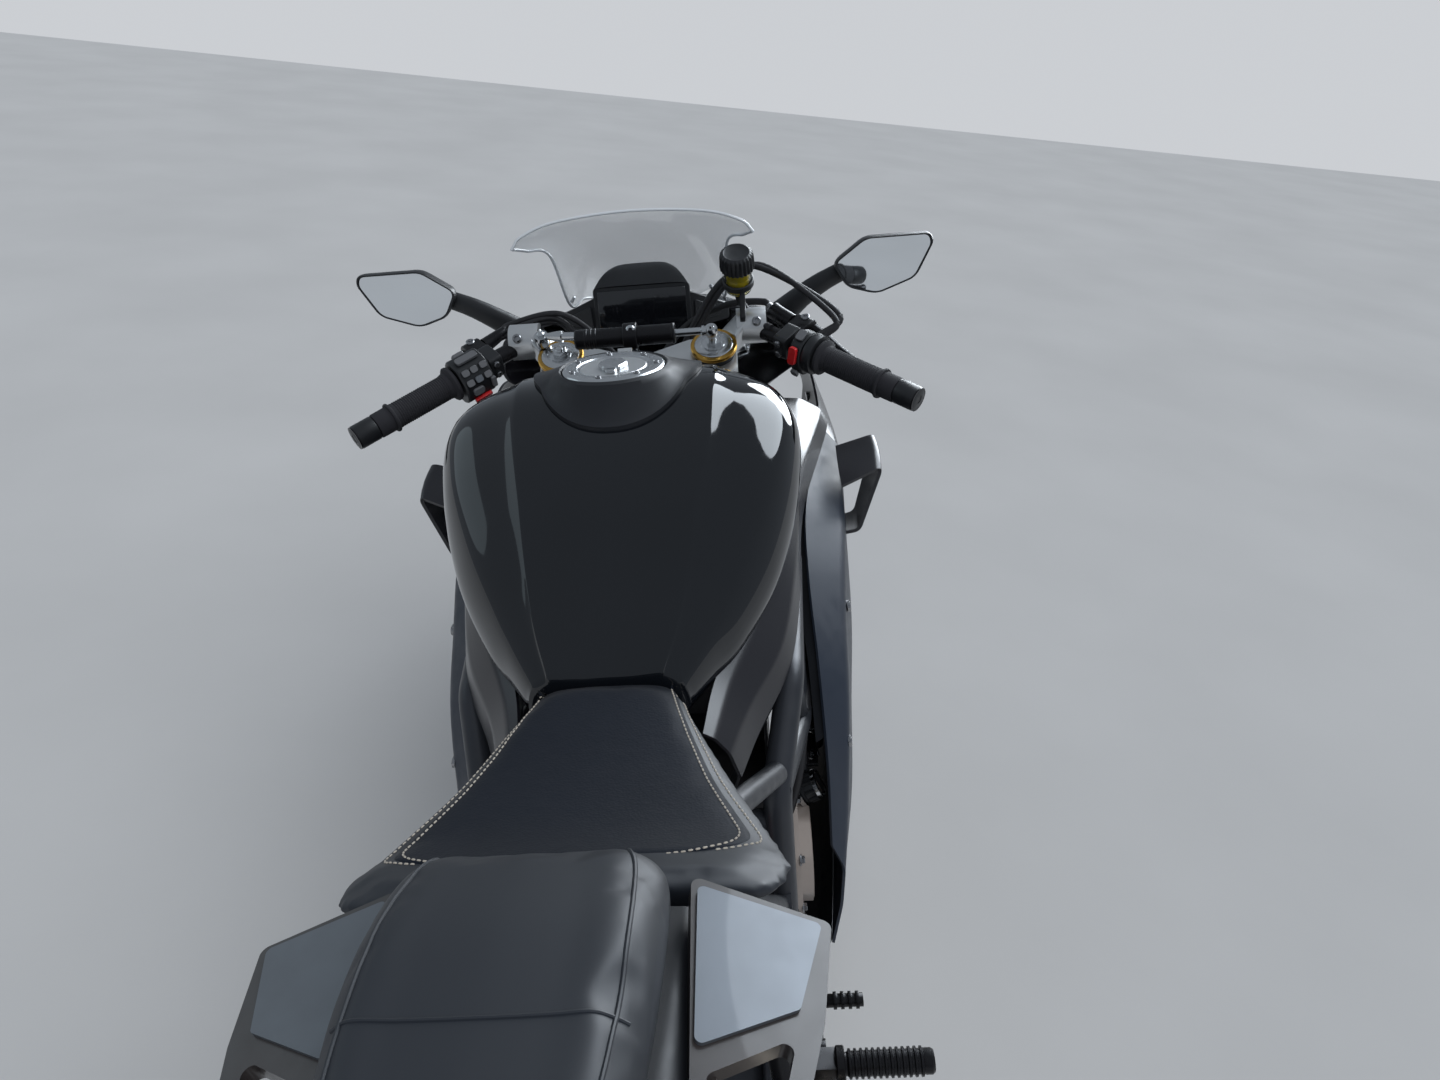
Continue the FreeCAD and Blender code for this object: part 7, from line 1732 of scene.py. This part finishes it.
            plugs.lathe([(0, 6), (1, 10), (13, 10), (14, 8.5), (20, 8.5), (21, 6)], spot, along, 8)
        plugs.build("wiring_plugs", BLACK_METAL, "control_plastic")

    def build(self) -> None:
        """All engine details."""
        self.lining()
        self.covers()
        self.filler()
        self.canister()
        self.hoses()


@dataclass
class Details:
    """Small pieces all round: winglets, pegs, shock spring, silencer fittings and plate bolts."""

    can_start: tuple = (358, -193, 406.5)
    can_end: tuple = (30, -240, 545)
    shock_low: tuple = (472, 0, 411.04)
    shock_high: tuple = (586, 0, 590)
    peg: tuple = (457, 196, 400)
    turns: float = 6.2

    def winglets(self) -> None:
        """Gloss wings outside the blades: one thin band that runs out, turns over and comes back in at the foot."""
        front = softened([(1118, 262, 786), (1131, 323, 797), (1096, 288, 690), (1094, 268, 685)], [0, 17, 12, 0], 9,
            closed=False)
        rear = softened([(1032, 262, 766), (1060, 323, 779), (1046, 288, 686), (1046, 268, 683)], [0, 17, 12, 0], 9,
            closed=False)
        share = np.array([0, 0.03, 0.1, 0.25, 0.5, 0.75, 0.9, 0.97, 1])[None, :, None]
        band = rear[:, None] * (1 - share) + front[:, None] * share
        middle = band.mean(axis=(0, 1))
        band += unit(band - middle) * (3 * np.sin(np.pi * share))
        Shell().pair(band, 5, middle).build("gloss_winglets", PANEL, "gloss_panel", "winglets", bevel=1.6, angle=40)

    def pegs(self) -> None:
        """Serrated sleeves with flanged collars on the rider's pegs."""
        sleeves = Shell()
        x, y, z = self.peg
        teeth = [(4, 9)]
        for d in np.arange(8, 82, 6):
            teeth += [(d, 12), (d + 0.8, 14.2), (d + 3, 14.2), (d + 3.8, 12)]
        teeth += [(86, 12.4), (92, 12.4), (94.5, 10.5), (94.5, 1)]
        for side in (1, -1):
            sleeves.lathe(teeth, (x, side * y, z), (0, side, 0), 24)
            sleeves.lathe([(-6, 16), (-5, 17.5), (2, 17.5), (3, 16), (3, 9)], (x, side * (y + 2), z), (0, side, 0),
                32)
        sleeves.build("peg_sleeves", BLACK_METAL, "black_metal")

    def shock(self) -> None:
        """Coil spring round the rear shock, its collars and its damper body."""
        low, high = np.array(self.shock_low), np.array(self.shock_high)
        run = unit(high - low)
        side = np.array([0, 1, 0])
        other = np.cross(run, side)
        t = np.linspace(0, 1, 240)
        reach = 58 + 98 * t
        coil = low + run * reach[:, None] + 26.0 * rays(2 * math.pi * self.turns * t) @ np.stack([side, other])
        Shell().tube(coil, 5.4, 12).build("shock_spring", BUTTON_RED, "black_metal")
        body = Shell().lathe([(20, 9), (21, 22), (50, 24), (52, 31.5), (57, 31.5), (58, 22), (60, 17), (150, 17),
            (152, 22), (156, 31.5), (162, 31.5), (163, 25), (186, 24), (190, 18), (205, 14), (205, 1)], low, run, 40)
        for spot in (low, high):
            body.lathe([(-17, 13), (-16, 15), (16, 15), (17, 13)], spot, LEFT, 30)
        body.build("shock_body", BLACK_METAL, "black_metal", "rear_shock")

    def exhaust(self) -> None:
        """Rivets round both ends of the silencer, and its rolled outlet."""
        start, end = np.array(self.can_start), np.array(self.can_end)
        run = unit(end - start)
        length = float(np.linalg.norm(end - start))
        side = unit(np.cross(run, UP))
        other = np.cross(side, run)
        shell = Shell()
        for d in (6, length - 6):
            for c, s in circle(12, 15):
                out = c * side + s * other
                shell.lathe([(-0.5, 3.4), (0.8, 3.2), (1.7, 1.8), (1.8, 0.2)], start + run * d + out * 52, out, 12)
        shell.build("silencer_rivets", BOLT_STEEL, "pipe_steel")
        rim = Shell().lathe([(length - 3, 26.5), (length + 3.5, 26), (length + 4.5, 28), (length + 3.5, 30),
            (length, 30.5)], start, run, 48)
        rim.build("silencer_rim", PIPE, "pipe_steel")

    def plate(self) -> None:
        """Bolts at the corners of the plate."""
        shell = Shell()
        for y, z in ((55, 680), (-55, 680), (55, 574), (-55, 574)):
            shell.lathe([(-1, 5), (0.4, 4.8), (0.9, 3.4), (0.3, 2.6), (0.3, 0.3)], (-330, y, z), (-1, 0, 0), 16)
        shell.build("plate_bolts", BOLT_STEEL, "black_metal")

    def build(self) -> None:
        """All details."""
        self.winglets()
        self.pegs()
        self.shock()
        self.exhaust()
        self.plate()


PARTS = [FuelTank(), SidePanels(), Seats(), Cockpit(), Front(), Wheels(), Engine(), Details()]


def main() -> None:
    """Builds every sub-assembly in order."""
    logging.basicConfig(level=logging.INFO, format="%(message)s")
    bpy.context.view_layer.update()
    Studio().build()
    Carried().dress(frame["nodes"])
    for part in PARTS:
        part.build()
        LOG.info("built %s", type(part).__name__)
    bpy.context.view_layer.update()


if __name__ == "__main__":
    main()
